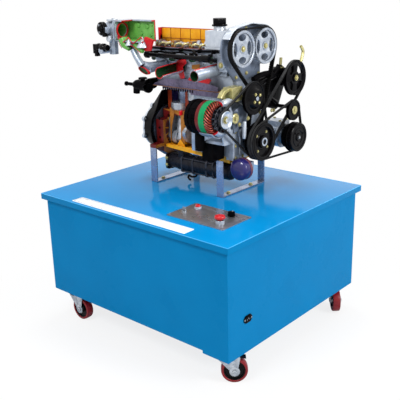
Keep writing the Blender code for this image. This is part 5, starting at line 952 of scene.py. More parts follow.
@dataclass
class Caster(Assembly):
    """One swivel caster: its pressed fork, wheel and, where it has one, brake pedal."""

    at: Vector = field(default_factory=lambda: FLOOR.copy())
    name: str = "operator_front"
    axle: Triple = (0.0, 1.0, 0.0)
    braked: bool = False
    radius: float = 0.05
    half: float = 0.016
    washer: float = 0.019

    def build(self) -> None:
        """Builds the wheel and dresses the fork."""
        wheel, fork = f"caster_wheel_{self.name}", f"caster_fork_{self.name}"
        low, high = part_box(wheel)
        centre = (low + high) / 2
        self.radius = (high.z - low.z) / 2
        place = Matrix.Translation(centre) @ upright(self.axle)
        self.wheel(wheel, place)
        self.refine(fork, ZINC, f"swivel_{self.name}")
        flo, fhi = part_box(fork)
        body = f"swivel_{self.name}"
        pivot = self.pivot(fork, fhi.z)
        race = lathe(beyond(fhi.z, (-0.0175, 0.012), (-0.0165, 0.0215), (-0.0125, 0.0245), (-0.0085, 0.0225),
            (-0.0055, 0.0255), (-0.003, 0.0255), (-0.003, 0.012)), pivot, "Z", ring=True)
        self.add(f"ball_race_{self.name}", race, BLACK, body, slot="black_plastic", angle=40.0)
        if self.braked:
            self.refine(f"brake_pedal_{self.name}", BLACK, f"brake_{self.name}", slot="black_plastic",
                edge=0.0006)

    def pivot(self, fork: str, top: float) -> Pair:
        """Where the swivel axis stands, from the fork's uppermost points."""
        spots = [v.co for v in bpy.data.objects[fork].data.vertices if v.co.z > top - 0.001]
        return (min(p.x for p in spots) + max(p.x for p in spots)) / 2, (min(p.y for p in spots) + max(p.y
            for p in spots)) / 2

    def wheel(self, node: str, place: Matrix) -> None:
        """The wheel: a red tyre on a dark core with its bearing.

        Args:
            node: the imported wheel.
            place: the wheel's middle and its axle's direction.
        """
        r, h = self.radius, self.half
        tread = [(-h + 0.001, 0.0395), (-h, 0.0405), (-h, 0.0445), (-h + 0.0018, 0.048),
            (-h + 0.005, r - 0.0003), (0.0, r), (h - 0.005, r - 0.0003), (h - 0.0018, 0.048), (h, 0.0445),
            (h, 0.0405), (h - 0.001, 0.0395)]
        tyre = lathe(tread, steps=72, ring=True)
        core_half = h - 0.0025
        core = lathe([(-core_half, 0.006), (-core_half, 0.014), (-core_half + 0.004, 0.017),
            (-core_half + 0.004, 0.033), (-core_half, 0.035), (-core_half, 0.0397), (core_half, 0.0397),
            (core_half, 0.035), (core_half - 0.004, 0.033), (core_half - 0.004, 0.017), (core_half, 0.014),
            (core_half, 0.006)], steps=72, ring=True)
        cap = lathe([(-h, 0.006), (-h, 0.0115), (-h + 0.003, 0.0125), (h - 0.003, 0.0125), (h, 0.0115),
            (h, 0.006)], steps=48, ring=True)
        body = f"wheel_{self.name}"
        for shape, finish, label, stands_for in ((tyre, TYRE, "tyre", node), (core, BLACK, "core", ""),
                (cap, ZINC, "bearing", "")):
            shape.transform(place)
            self.add(f"{label}_{self.name}", shape, finish, body, stands_for, slot="wheel_red", angle=40.0)
        nuts = []
        for side in (-1.0, 1.0):
            spot = place @ Vector((side * (h + 0.0052), 0.0, 0.0))
            way = (place.to_3x3() @ Vector((side, 0.0, 0.0))).normalized()
            nuts.append(bolt(tuple(spot), tuple(way), 0.0085, 0.005))
        for side in (-1.0, 1.0):
            washer = lathe([(side * (h + 0.005), 0.0), (side * (h + 0.005), self.washer), (side * (h + 0.0058),
                self.washer), (side * (h + 0.0062), 0.018), (side * (h + 0.0062), 0.0)], steps=40)
            washer.transform(place)
            nuts.append(washer)
        self.add(f"axle_nuts_{self.name}", nuts, ZINC, f"swivel_{self.name}")


@dataclass
class Stand(Assembly):
    """The two leg frames with their bolts."""

    foot_top: float = -0.212
    front_x: float = 0.1345
    rear_x: float = -0.232

    def build(self) -> None:
        """Dresses the legs and bolts them down."""
        for node in ("stand_front", "stand_rear"):
            self.refine(node, STAND)
        feet = [(x, y, self.foot_top) for x in (self.front_x, self.rear_x) for y in (-0.085, 0.063)]
        self.add("foot_bolts", bolts(feet, UP, 0.0075, 0.007), GOLD)
        self.refine("engine_mount", SATIN, edge=0.0025)


@dataclass
class CylinderBlock(Assembly):
    """The sectioned block with the crank train that shows in it."""

    deck: float = 0.193
    flange: float = 0.02
    bore: float = 0.041
    case_cut: float = -0.044
    barrel_cut: float = -0.012
    cut_front: float = -0.045
    far_face: float = 0.0998

    def build(self) -> None:
        """Dresses the block and the pieces inside it."""
        inside = self.cut_front + 0.001
        self.refine("cylinder_block", CAST, rules=[(DECK_BAND, lambda c, n: c.z > self.deck - self.flange
            - 0.001 and c.x < 0.14 and c.z < self.deck - 0.0005 and abs(n.y) > 0.5 and c.y < -0.03),
            (OCHRE, lambda c, n: c.x > -0.217 and c.x < -0.213 and n.x > 0.9 and c.y < 0.0),
            (DARK_RED, lambda c, n: c.x < -0.214 and math.hypot(c.y, c.z) > 0.05 and c.z < 0.086),
            # Painted shade on the bores: violet and dark red bands across each cylinder wall, the rest left
            # bright.
            (VIOLET_BORE_SHADE, lambda c, n: self.is_bore(c, n) and self.bore_shade_band(c) == 1),
            (DARK_RED, lambda c, n: self.is_bore(c, n) and self.bore_shade_band(c) == 2), (BORE, self.is_bore),
            (BRICK, lambda c, n: c.x < inside and n.y < -0.8 and abs(c.y - self.barrel_cut) < 0.003),
            (OCHRE, lambda c, n: c.x < inside and n.y < -0.8 and abs(c.y - self.case_cut) < 0.003),
            (YELLOW, lambda c, n: c.x < 0.14 and c.z < 0.088 and abs(c.y) < 0.0895 and c.x > -0.25 and n.y * c.y
            + n.z * c.z < 0.001), (BRICK, lambda c, n: c.x < inside and 0.06 < c.z < self.deck - self.flange
            and c.y < 0.0)])
        for cylinder in (3, 4):
            self.refine(f"piston_{cylinder}", STEEL, edge=0.0005)
            self.refine(f"con_rod_{cylinder}", STEEL, edge=0.001)
        self.refine("crankshaft", STEEL, edge=0.001, rules=[(DARK_CAST, lambda c, n: c.x < -0.26)])
        self.case_section()
        self.gasket_line()
        self.refine("oil_pan", YELLOW, edge=0.001, rules=[(MOTOR, lambda c, n: n.z < -0.5)])
        self.front_fittings()
        self.far_side()

    def is_bore(self, centre: Vector, normal: Vector) -> bool:
        """Whether a face lies on the wall of a cylinder."""
        if centre.z < 0.06 or abs(normal.z) > 0.3:
            return False
        return any(abs(math.hypot(centre.x - x, centre.y) - self.bore) < 0.003 for x in CYLINDERS[2:])

    def bore_shade_band(self, centre: Vector) -> int:
        """Which band of painted light a face of a cylinder's wall belongs to: 0 the bright band in the bore's
        own metal, 1 violet painted shade, 2 dark red painted shade.
        """
        across_bore = min((centre.x - x for x in CYLINDERS[2:]), key=abs)
        return 2 if across_bore > 0.026 else 1 if across_bore > 0.006 or across_bore < -0.034 else 0

    def case_section(self) -> None:
        """The painted cut of the crankcase: its ochre rear wall and the yellow lip with a peak between bays."""
        y = self.case_cut
        wall = [(-0.2145, 0.0935), (-0.2095, 0.0965), (-0.187, 0.0779), (-0.1942, 0.0512), (-0.205, 0.017),
            (-0.2098, -0.029), (-0.208, -0.052), (-0.2145, -0.056)]
        self.add("case_rear_wall", slab(wall, y - 0.0035, y - 0.0002, "Y", edge=0.001), OCHRE)
        lip = [(-0.2145, -0.056), (-0.195, -0.064), (-0.178, -0.064), (-0.1573, -0.0357), (-0.1298, -0.066),
            (-0.0956, -0.069), (-0.0655, -0.0189), (-0.0606, -0.0397), (-0.0336, -0.064), (-0.0291, -0.072),
            (-0.2145, -0.072)]
        self.add("case_lower_lip", slab(lip, y - 0.0036, y - 0.0003, "Y", edge=0.001), YELLOW)
        # Black discs stand for the flange's holes: painted shade in the holes.
        holes = [rod(-0.0918, -0.0898, 0.0052, (-0.236, z), "Y", 24) for z in (0.052, 0.012, -0.03)]
        self.add("flange_hole_shade", holes, BLACK)

    def gasket_line(self) -> None:
        """The joint's edge between block and head, and black blocks that paint the shade in the water jacket's
        slots.
        """
        low, high = self.deck + 0.0004, self.deck + 0.003
        line = slab([(-0.2565, -0.0985), (0.1505, -0.0985), (0.1505, 0.0995), (-0.2565, 0.0995)], low, high,
            "Z", [[(-0.25, -0.06), (0.145, -0.06), (0.145, 0.09), (-0.25, 0.09)]], 0.0003)
        self.add("head_gasket", line, GASKET)
        teeth = []
        for i in range(14):
            x = -0.198 + i * 0.0125
            teeth.append(block((x, -0.103, self.deck - 0.012), (x + 0.0045, -0.099, self.deck - 0.0005)))
        # Black blocks stand for the slots' depth: painted shade.
        self.add("jacket_slot_shade", teeth, BLACK)

    def far_side(self) -> None:
        """Core plugs, cast ribs and studs on the side away from the operator."""
        face = self.far_face
        plugs = []
        for x in CYLINDERS:
            plugs.append(lathe(beyond(face, (0.0, 0.0), (0.0, 0.02), (0.0022, 0.019), (0.0024, 0.0165),
                (0.0008, 0.015), (0.0008, 0.0)), (x, 0.118), "Y", 48))
        self.add("core_plugs", plugs, ZINC)
        ribs = [tube([(x, face, 0.09), (x, face + 0.001, 0.172)], 0.003, 10, smooth=False)
            for x in (0.046, -0.05, -0.146)]
        ribs.append(tube([(-0.25, face, 0.088), (0.14, face, 0.088)], 0.0032, 10, smooth=False))
        ribs.append(tube([(-0.25, face, 0.232), (0.14, face, 0.232)], 0.003, 10, smooth=False))
        self.add("far_side_ribs", ribs, CAST)
        spots = [(0.13 - 0.048 * i, face, 0.318) for i in range(9)]
        self.add("far_side_bolts", bolts(spots, FAR, 0.005, 0.005), ZINC)

    def front_fittings(self) -> None:
        """Bolts, ribs and the oil pump's boss on the front casting."""
        spots = [(0.1722, y, z) for y, z in ((-0.088, 0.098), (-0.088, 0.045), (-0.088, -0.012),
            (-0.088, -0.058), (-0.04, -0.06), (0.01, -0.06), (0.074, -0.058), (0.074, 0.098))]
        self.add("front_case_bolts", bolts(spots, radius=0.0052), GOLD)
        ribs = [tube([(0.168, -0.095, 0.105), (0.17, -0.095, -0.06)], 0.006, smooth=False),
            tube([(0.17, -0.09, 0.075), (0.172, -0.058, 0.02), (0.172, -0.06, -0.05)], 0.0055),
            tube([(0.17, -0.075, 0.108), (0.172, -0.04, 0.085), (0.172, -0.03, 0.06)], 0.005)]
        self.add("front_case_ribs", ribs, CAST)
        disc = lathe([(0.172, 0.0), (0.172, 0.014), (0.198, 0.014), (0.198, 0.02), (0.203, 0.02),
            (0.205, 0.017), (0.205, 0.0)], (-0.121, 0.107))
        self.add("tensioner_disc", disc, GOLD)
        self.add("tensioner_bolt", bolt((0.205, -0.121, 0.107), radius=0.009, height=0.006), GOLD)
        sensor = merged(lathe([(0.02, 0.0), (0.02, 0.0065), (0.024, 0.0082), (0.084, 0.0082), (0.088, 0.0065),
            (0.088, 0.0)], (0.205, -0.07), "Z"), block((0.172, -0.078, 0.068), (0.208, -0.062, 0.08)))
        self.add("sensor_rod", sensor, PALE)
        self.add("sensor_bolts", bolts([(0.209, -0.052, 0.098), (0.2, -0.095, 0.08)], radius=0.006), GOLD)
        bracket = slab([(-0.11, 0.045), (-0.04, 0.062), (-0.03, 0.11), (-0.06, 0.15), (-0.1, 0.135),
            (-0.122, 0.125)], 0.172, 0.186)
        self.add("tensioner_bracket", bracket, DARK_CAST, edge=0.001)


@dataclass
class LowerEnd(Assembly):
    """The bell housing, the drive motor under the pan, the oil filter and the coolant outlet."""

    motor_y: float = -0.05
    motor_z: float = -0.134
    motor_ends: Pair = (-0.2145, 0.132)
    filter_x: float = 0.205
    filter_z: float = -0.099
    filter_ends: Pair = (-0.122, -0.068)
    filter_radius: float = 0.043
    bell_rear: float = -0.3333
    bell_radius: float = 0.094
    outlet_axis: Pair = (-0.115, 0.191)
    outlet_rear: float = -0.34
    outlet_front: float = -0.264

    def build(self) -> None:
        """Builds the black pieces round the block's rear and foot."""
        self.refine("bell_housing", SATIN, edge=0.003)
        rear, r = self.bell_rear, self.bell_radius
        rim = lathe(beyond(rear, (-0.002, r - 0.009), (-0.002, r + 0.001), (0.009, r + 0.003),
            (0.009, r - 0.009)), steps=80, ring=True)
        ears = ring_spots((0.0, 0.0), r + 0.003, 8, rear - 0.001, 0.35)
        lugs = [lathe(beyond(rear, (-0.003, 0.0), (-0.003, 0.011), (0.011, 0.012), (0.011, 0.0)), (u, v),
            steps=28) for _, u, v in ears]
        self.add("bell_rim", [rim, *lugs], PALE, edge=0.001)
        seats = [(rear + 0.011, u, v) for _, u, v in ears]
        self.add("bell_bolts", bolts(seats, radius=0.0055), ZINC)
        self.motor()
        self.oil_filter()
        self.outlet()

    def motor(self) -> None:
        """The drive motor with its clamp bands and its cable hook."""
        c = (self.motor_y, self.motor_z)
        rear, front = self.motor_ends
        profile = [*beyond(rear, (0.0, 0.0), (0.0, 0.03), (0.002, 0.035), (0.015, 0.0355), (0.016, 0.031),
            (0.055, 0.031), (0.057, 0.0335), (0.088, 0.0335), (0.09, 0.0355), (0.15, 0.0355), (0.152, 0.0345),
            (0.215, 0.0345), (0.217, 0.036)), *beyond(front, (-0.045, 0.036), (-0.043, 0.0345),
            (-0.014, 0.0345), (-0.003, 0.031), (0.0, 0.024), (0.0, 0.0))]
        whole = merged(lathe(profile, c), *(self.saddle(x) for x in (-0.15, 0.07)))
        self.add("drive_motor_case", whole, MOTOR, stands_for="drive_motor", edge=0.0006)
        square = rounded((c[0] - 0.0355, c[1] - 0.0355), (c[0] + 0.0355, c[1] + 0.0355), 0.012)
        frames = [slab(square, x, x + wide, edge=0.0012) for x, wide in ((-0.1255, 0.008), (-0.0625, 0.006),
            (0.0105, 0.01), (0.048, 0.006))]
        rods = [tube([(-0.12, c[0] + u, c[1] + v), (0.05, c[0] + u, c[1] + v)], 0.0028, 10, smooth=False)
            for u in (-0.0285, 0.0285) for v in (-0.0285, 0.0285)]
        self.add("motor_end_frames", [*frames, *rods], FRAME_GREY)
        flange = slab(rounded((c[0] - 0.034, c[1] - 0.034), (c[0] + 0.034, c[1] + 0.034), 0.01), rear,
            rear + 0.012)
        self.add("motor_flange", flange, BLACK)
        spots = [(rear + 0.006, c[0] - 0.0342, c[1] + dz) for dz in (-0.014, 0.016)]
        self.add("motor_flange_bolts", bolts(spots, NEAR, 0.006, 0.004), GOLD)
        hook = merged(tube([(-0.062, -0.05, -0.166), (-0.07, -0.052, -0.184), (-0.092, -0.053, -0.19),
            (-0.108, -0.053, -0.186), (-0.112, -0.053, -0.198), (-0.1, -0.053, -0.206)], 0.0045),
            lathe([(-0.176, 0.0), (-0.176, 0.01), (-0.166, 0.013), (-0.16, 0.0)], (-0.062, -0.05), "Z"))
        self.add("motor_terminal_hook", hook, BLACK)

    def saddle(self, x: float) -> Mesh:
        """A saddle between the motor and the sloping pan."""
        tops = [-0.0573 - 0.013 - 0.02 * ((x + d) + 0.214) / 0.3515 for d in (0.0, 0.03)]
        return slab([(x, self.motor_z), (x + 0.03, self.motor_z), (x + 0.03, tops[1]), (x, tops[0])],
            self.motor_y - 0.022, self.motor_y + 0.022, "Y")

    def oil_filter(self) -> None:
        """The domed oil filter with its brown seam."""
        (near, far), r = self.filter_ends, self.filter_radius
        dome = [(near + r * 0.42 * (1 - math.cos(t)), r * math.sin(t)) for t in (math.pi / 2 * i / 12
            for i in range(13))]
        profile = dome + [(far - 0.004, r), (far, r - 0.003), (far, 0.019), (-0.0533, 0.019), (-0.0533, 0.0)]
        self.add("oil_filter_can", lathe(profile, (self.filter_x, self.filter_z), "Y", 72), FILTER,
            stands_for="oil_filter", angle=40.0)
        seam = lathe([(far - 0.016, r - 0.0005), (far - 0.015, r + 0.0012), (far - 0.004, r + 0.0012),
            (far - 0.002, r - 0.002)], (self.filter_x, self.filter_z), "Y", 72, ring=True)
        self.add("oil_filter_seam", seam, FILTER_RIM)

    def outlet(self) -> None:
        """The coolant outlet with its nozzle, cap and elbow."""
        c = self.outlet_axis
        rear, front = self.outlet_rear, self.outlet_front
        tip = rear - 0.068
        body = lathe([(tip, 0.0), (tip, 0.0075), (tip + 0.002, 0.0095), (tip + 0.009, 0.0098),
            (tip + 0.011, 0.007), *beyond(rear, (-0.02, 0.0075), (-0.01, 0.015), (-0.002, 0.02),
            (0.012, 0.0232)), *beyond(front, (-0.014, 0.0232), (-0.011, 0.0285), (-0.001, 0.029), (0.0, 0.0275),
            (0.0, 0.0))], c)
        cap = lathe([(c[1], 0.0), (c[1], 0.0125), (c[1] + 0.026, 0.0105), (c[1] + 0.0275, 0.018),
            (c[1] + 0.029, 0.019), (c[1] + 0.033, 0.0185), (c[1] + 0.0345, 0.015), (c[1] + 0.0345, 0.0)],
            (-0.3, c[0]), "Z")
        elbow = tube([(rear + 0.022, c[0], c[1]), (rear + 0.006, c[0], c[1] - 0.008),
            (rear, c[0], c[1] - 0.024), (rear - 0.002, c[0], c[1] - 0.036)], (0.017, 0.0175, 0.015, 0.014), 24)
        neck = slab([(-0.273, 0.2), (-0.2563, 0.2), (-0.2563, 0.222), (-0.273, 0.222)], -0.115, -0.04, "Y")
        self.add("coolant_outlet_case", [body, cap, elbow, neck], SATIN, stands_for="coolant_outlet",
            edge=0.0006)
        pad = slab(rounded((c[0] - 0.036, c[1] - 0.012), (c[0] + 0.036, c[1] + 0.012), 0.011), -0.2638, -0.2565)
        seats = [(c[0] + across, c[1]) for across in (-0.032, 0.032)]
        ears = [lathe([(-0.266, 0.0), (-0.266, 0.0085), (-0.2565, 0.0095), (-0.2565, 0.0)], spot, steps=28)
            for spot in seats]
        self.add("outlet_flange", [pad, *ears], SATIN, edge=0.001)
        studs = [(-0.266, *spot) for spot in seats]
        self.add("outlet_flange_bolts", bolts(studs, BACK, 0.005), BLACK)


@dataclass
class CylinderHead(Assembly):
    """The head, the sectioned cover, the camshaft and the filler cap."""

    wall_y: float = -0.034
    cover_front: float = 0.04
    near_face: float = -0.1001
    filler: Pair = (0.08, -0.06)

    def build(self) -> None:
        """Dresses the head and builds what stands in its open well."""
        self.refine("cylinder_head", CAST, edge=0.0012, rules=[(ZINC, lambda c, n: c.z > 0.357),
            (OCHRE, lambda c, n: c.z > 0.33 and abs(c.y + 0.064) < 0.0285 and n.z > -0.5),
            (RED, lambda c, n: c.z > 0.355 and n.z > 0.8 and c.y < -0.02)])
        self.refine("cam_cover", PALE, edge=0.003, rules=[(YELLOW, lambda c, n: n.y < -0.5 and c.y > -0.04
            and c.y < 0.0 and c.x < self.cover_front + 0.01), (RED, lambda c, n: c.x < self.cover_front
            and n.z > 0.8 and c.z > 0.42)])
        self.refine("intake_camshaft", STEEL, "intake_cam")
        self.section_edges()
        self.cam_gear()
        self.filler_cap()
        self.near_side()
        self.painted_cuts()

    def section_edges(self) -> None:
        """Red paint on the cut edges of the cover's wall and the ribs moulded into it."""
        y = self.wall_y
        top = block((-0.2562, y - 0.001, 0.4255), (0.04, y + 0.0065, 0.4275))
        rear = block((-0.258, y - 0.02, 0.358), (-0.2545, y + 0.0062, 0.4275))
        knob = block((-0.263, y - 0.012, 0.372), (-0.2545, y + 0.002, 0.398))
        self.add("cover_cut_edge", [top, rear, knob], RED, edge=0.0006)
        ribs = [block((x, y - 0.0016, 0.359), (x + 0.0016, y + 0.001, 0.425)) for x in (-0.205, -0.15, -0.096,
            -0.042, 0.008)]
        ribs.append(block((-0.254, y - 0.0022, 0.384), (0.039, y, 0.3855)))
        self.add("cover_ribs", ribs, BRICK, edge=0.0004)
        well = block((-0.244, -0.092, 0.3345), (0.137, -0.036, 0.3365))
        self.add("well_floor", well, OCHRE)

    def cam_gear(self) -> None:
        """Bearing caps, tappets, springs and the plug tubes in the open well."""
        caps, studs, buckets = [], [], []
        for x in (0.046, -0.05, -0.146, -0.236):
            arch = [(-0.086, 0.352), *arc((-0.064, 0.362), 0.0185, 14, math.pi, -math.pi), (-0.042, 0.352)]
            caps.append(slab(arch, x - 0.0075, x + 0.0075, "X", edge=0.001))
            studs += [(x, y, 0.3665) for y in (-0.0855, -0.0425)]
        for x in CYLINDERS:
            for side in (-0.02, 0.02):
                buckets.append(lathe([(0.336, 0.0), (0.336, 0.0155), (0.3376, 0.0155), (0.3384, 0.0142),
                    (0.3384, 0.0)], (x + side, -0.064), "Z", 32))
        self.add("cam_caps", caps, ZINC, slot="machined_steel", edge=0.0006)
        self.add("cam_cap_bolts", bolts(studs, UP, 0.0052, 0.007), GOLD)
        self.add("tappets", buckets, STEEL)
        hooks = [tube([(x - 0.012, -0.088, 0.35), (x - 0.004, -0.092, 0.366), (x + 0.01, -0.086, 0.371),
            (x + 0.018, -0.07, 0.362)], 0.0045) for x in (-0.208, -0.175, -0.122, -0.08, -0.03, 0.012)]
        self.add("rocker_arms", hooks, GOLD)

    def painted_cuts(self) -> None:
        """The painted cuts and open ports on the head's operator side."""
        face = self.near_face
        cuts: tuple[tuple[str, Finish, float, tuple[Pair, ...]], ...] = (("head_joint_face", DECK_BAND, 0.0016,
            ((-0.254, 0.1972), (-0.242, 0.206), (-0.2016, 0.2196), (-0.1838, 0.2292), (-0.1217, 0.2299),
            (-0.0449, 0.2359), (0.0289, 0.2299), (0.0699, 0.2215), (0.1, 0.215), (0.1, 0.1972))),
            ("head_red_cut", RED, 0.0026, ((-0.0558, 0.2311), (-0.0391, 0.2483), (0.0399, 0.2503),
            (0.0704, 0.241), (0.0546, 0.2241), (0.0288, 0.2259))), ("port_red_cut", RED, 0.0022,
            ((-0.1304, 0.2818), (-0.1071, 0.3072), (-0.0633, 0.3138), (-0.0586, 0.2983), (-0.0809, 0.2811),
            (-0.0718, 0.2378), (-0.094, 0.2321), (-0.1041, 0.2515))), ("port_ochre_cut", OCHRE, 0.0018,
            ((-0.0321, 0.2922), (0.0102, 0.2988), (0.0095, 0.2754), (-0.0327, 0.2764))))
        for name, finish, thick, outline in cuts:
            self.add(name, slab(outline, face - thick, face, "Y", edge=0.0006), finish)
        # Each port's opening is a disc of darkened green: painted shade inside the port.
        ports = []
        for x, z, wide, tall in ((-0.242, 0.309, 0.014, 0.0105), (-0.137, 0.308, 0.023, 0.009),
                (-0.029, 0.31, 0.023, 0.009), (0.068, 0.318, 0.017, 0.02)):
            outline = ellipse((x, z), wide, tall, 32)
            inner = ellipse((x, z), wide * 0.86, tall * 0.82, 32)
            self.add(f"port_rim_{len(ports) + 1}", slab(outline, face - 0.0024, face, "Y", [inner], 0.0005),
                CAST)
            ports.append(slab(inner, face - 0.0009, face, "Y", edge=0.0002))
        self.add("port_shade_discs", ports, SHADED_GREEN)

    def filler_cap(self) -> None:
        """The black filler cap with its grip ribs and the neck's collar."""
        low = 0.443
        grip = fluted(self.filler, 0.0242, 0.0009, 24, 120)
        flange = lathe(beyond(low, (-0.01, 0.0), (-0.01, 0.0172), (0.0004, 0.0174), (0.0004, 0.0292),
            (0.003, 0.03), (0.0065, 0.0292), (0.0085, 0.024), (0.0085, 0.0)), self.filler, "Z", 72)
        cap = merged(flange, slab(grip, low + 0.008, low + 0.03, "Z", edge=0.002))
        self.add("filler_cap_moulded", cap, BLACK, "filler_cap", "oil_filler_cap", slot="black_plastic")
        neck = lathe([(0.424, 0.0225), (0.424, 0.0262), (0.428, 0.0245), (0.44, 0.0228), (0.4428, 0.0242),
            (0.4428, 0.0205)], self.filler, "Z", 72, ring=True)
        self.add("filler_neck_collar", neck, PALE)

    def near_side(self) -> None:
        """Ribs, bosses and bolts on the head's operator side and on the cover's front."""
        spots = [(0.121, -0.1002, 0.301)]
        boss = lathe([(-0.1, 0.0), (-0.1, 0.021), (-0.106, 0.019), (-0.106, 0.0)], (0.121, 0.301), "Y")
        pad = block((0.1, -0.1035, 0.275), (0.149, -0.0995, 0.345))
        self.add("head_boss", [boss, pad], CAST, edge=0.001)
        self.add("head_boss_bolt", bolts([(s[0], -0.106, s[2]) for s in spots], NEAR, 0.008, 0.006), GOLD)
        rails = [block((0.04, -0.1035, 0.3575), (0.1502, -0.0995, 0.3655)), block((0.0385, -0.104, 0.356),
            (0.048, -0.06, 0.366))]
        self.add("cover_rail", rails, PALE, edge=0.0012)
        lip = block((-0.25, -0.1025, 0.33), (0.035, -0.099, 0.333))
        self.add("head_rib", lip, PALE, edge=0.0008)


@dataclass
class TimingDrive(Assembly):
    """The arch, both cam sprockets and the toothed belt."""

    intake: Pair = (-0.064, 0.362)
    exhaust: Pair = (0.078, 0.362)
    radius: float = 0.0695
    arch_radius: float = 0.0805
    rear: float = 0.178
    front: float = 0.202
    belt_edges: Pair = (0.1805, 0.1995)
    teeth: int = 40

    def build(self) -> None:
        """Builds the timing drive."""
        self.refine("timing_cover", DARK_CAST, edge=0.0015, rules=[(PALE, lambda c, n: c.x > 0.158)])
        self.arch()
        self.sprocket("intake_sprocket", "intake_cam", self.intake, 0.0093)
        self.sprocket("exhaust_sprocket", "exhaust_cam", self.exhaust, 0.0)
        self.belt()

    def arch(self) -> None:
        """The rolled rim of the arch and the bosses on the plate."""
        r = self.arch_radius
        middle = ((self.intake[0] + self.exhaust[0]) / 2, self.intake[1])
        lean, low, near = 1.437, -0.409, 0.52
        line = arc(self.exhaust, r, 18, low, lean - low)
        line += arc(middle, r + 0.0095, 6, lean, math.pi - lean * 2)
        line += arc(self.intake, r, 10, math.pi - lean, lean - near)
        bead = tube([(0.1862, u, v) for u, v in line], 0.0022, 12, smooth=False)
        self.add("arch_rim", bead, PALE)
        spots = [(0.1565, y, z) for y, z in ((0.007, 0.432), (0.007, 0.262), (-0.058, 0.252), (0.086, 0.252))]
        self.add("timing_plate_bolts", bolts(spots), GOLD)

    def sprocket(self, node: str, body: str, centre: Pair, bore: float) -> None:
        """One cam sprocket with teeth, an X-shaped web and its bolt.

        Args:
            node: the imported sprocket.
            body: the body that turns with it.
            centre: its axis.
            bore: the radius of the hole for the shaft behind the web, or 0.
        """
        teeth = []
        for i in range(self.teeth):
            for share, drop in ((0.0, 0.0), (0.42, 0.0), (0.54, 0.0016), (0.88, 0.0016)):
                teeth += arc(centre, self.radius - drop, 1, math.tau * (i + share) / self.teeth)
        rim = slab(teeth, self.rear + 0.0015, self.front - 0.0015, "X", [arc(centre, 0.061, 64)], 0.0004)
        flange = lathe([(self.front - 0.0024, 0.0602), (self.front - 0.0024, 0.0688), (self.front, 0.0682),
            (self.front, 0.0634), (self.front - 0.0012, 0.0626), (self.front - 0.0022, 0.0602)], centre,
            steps=72, ring=True)
        middle = (self.rear + self.front) / 2
        windows = []
        for k in range(4):
            turn = math.pi / 2 * k
            out, deep, wide = (0.0425, 0.013, 0.0225) if k % 2 else (0.043, 0.0125, 0.0265)
            middle_of = arc(centre, out, 1, turn)[0]
            windows.append(ellipse(middle_of, deep, wide, 32, turn))
        web = slab(arc(centre, 0.0618, 64), middle - 0.004, middle + 0.0035, "X", windows, 0.0012)
        hub_low = middle if bore else 0.1566
        hub = lathe([(hub_low - (0.0195 if bore else 0.0), max(bore, 0.0)),
            (hub_low - (0.0195 if bore else 0.0), 0.0158), (middle + 0.0055, 0.0158), (middle + 0.007, 0.0145),
            (middle + 0.007, 0.0)] + ([(middle, 0.0), (middle, bore)] if bore else []), centre, ring=bool(bore))
        self.add(f"{node}_rim", rim, WHITE, body, node)
        self.add(f"{node}_web", [web, hub, flange], WHITE, body)
        self.add(f"{node}_bolt", bolt((middle + 0.007, *centre), radius=0.0085, height=0.006), GOLD, body)
        if not bore:
            stub = rod(0.1003, 0.16, 0.0123, centre)
            self.add("exhaust_cam_stub", stub, STEEL, body)

    def belt(self) -> None:
        """The toothed belt."""
        wheels = [(0.0, 0.0, 0.035, 1), (*self.exhaust, self.radius, 1), (*self.intake, self.radius, 1),
            (-0.026, 0.173, 0.026, -1)]
        line = belt_line(wheels, 0.005)
        low, high = self.belt_edges
        strap = band(line, [(low, -0.0025), (high, -0.0025), (high, 0.0002), (low, 0.0002)])
        teeth = bmesh.new()
        for u, v, nu, nv in evenly(line, 0.0085):
            tu, tv = nv, -nu
            corners = [(-0.0023, 0.0), (0.0023, 0.0), (0.0014, 0.0024), (-0.0014, 0.0024)]
            rows = [[teeth.verts.new((x, u + tu * a + nu * d, v + tv * a + nv * d)) for a, d in corners]
                for x in (low, high)]
            for i in range(4):
                teeth.faces.new((rows[0][i], rows[0][(i + 1) % 4], rows[1][(i + 1) % 4], rows[1][i]))
            teeth.faces.new(rows[0])
            teeth.faces.new(rows[1])
        self.add("toothed_belt", [strap, tidy(teeth)], RUBBER, stands_for="timing_belt")


class Track(Enum):
    """Where each ribbed belt runs: its rear and its front edge along the crankshaft."""

    ALTERNATOR = (0.2113, 0.2213)
    STEERING = (0.2239, 0.2359)
    COMPRESSOR = (0.2385, 0.2485)


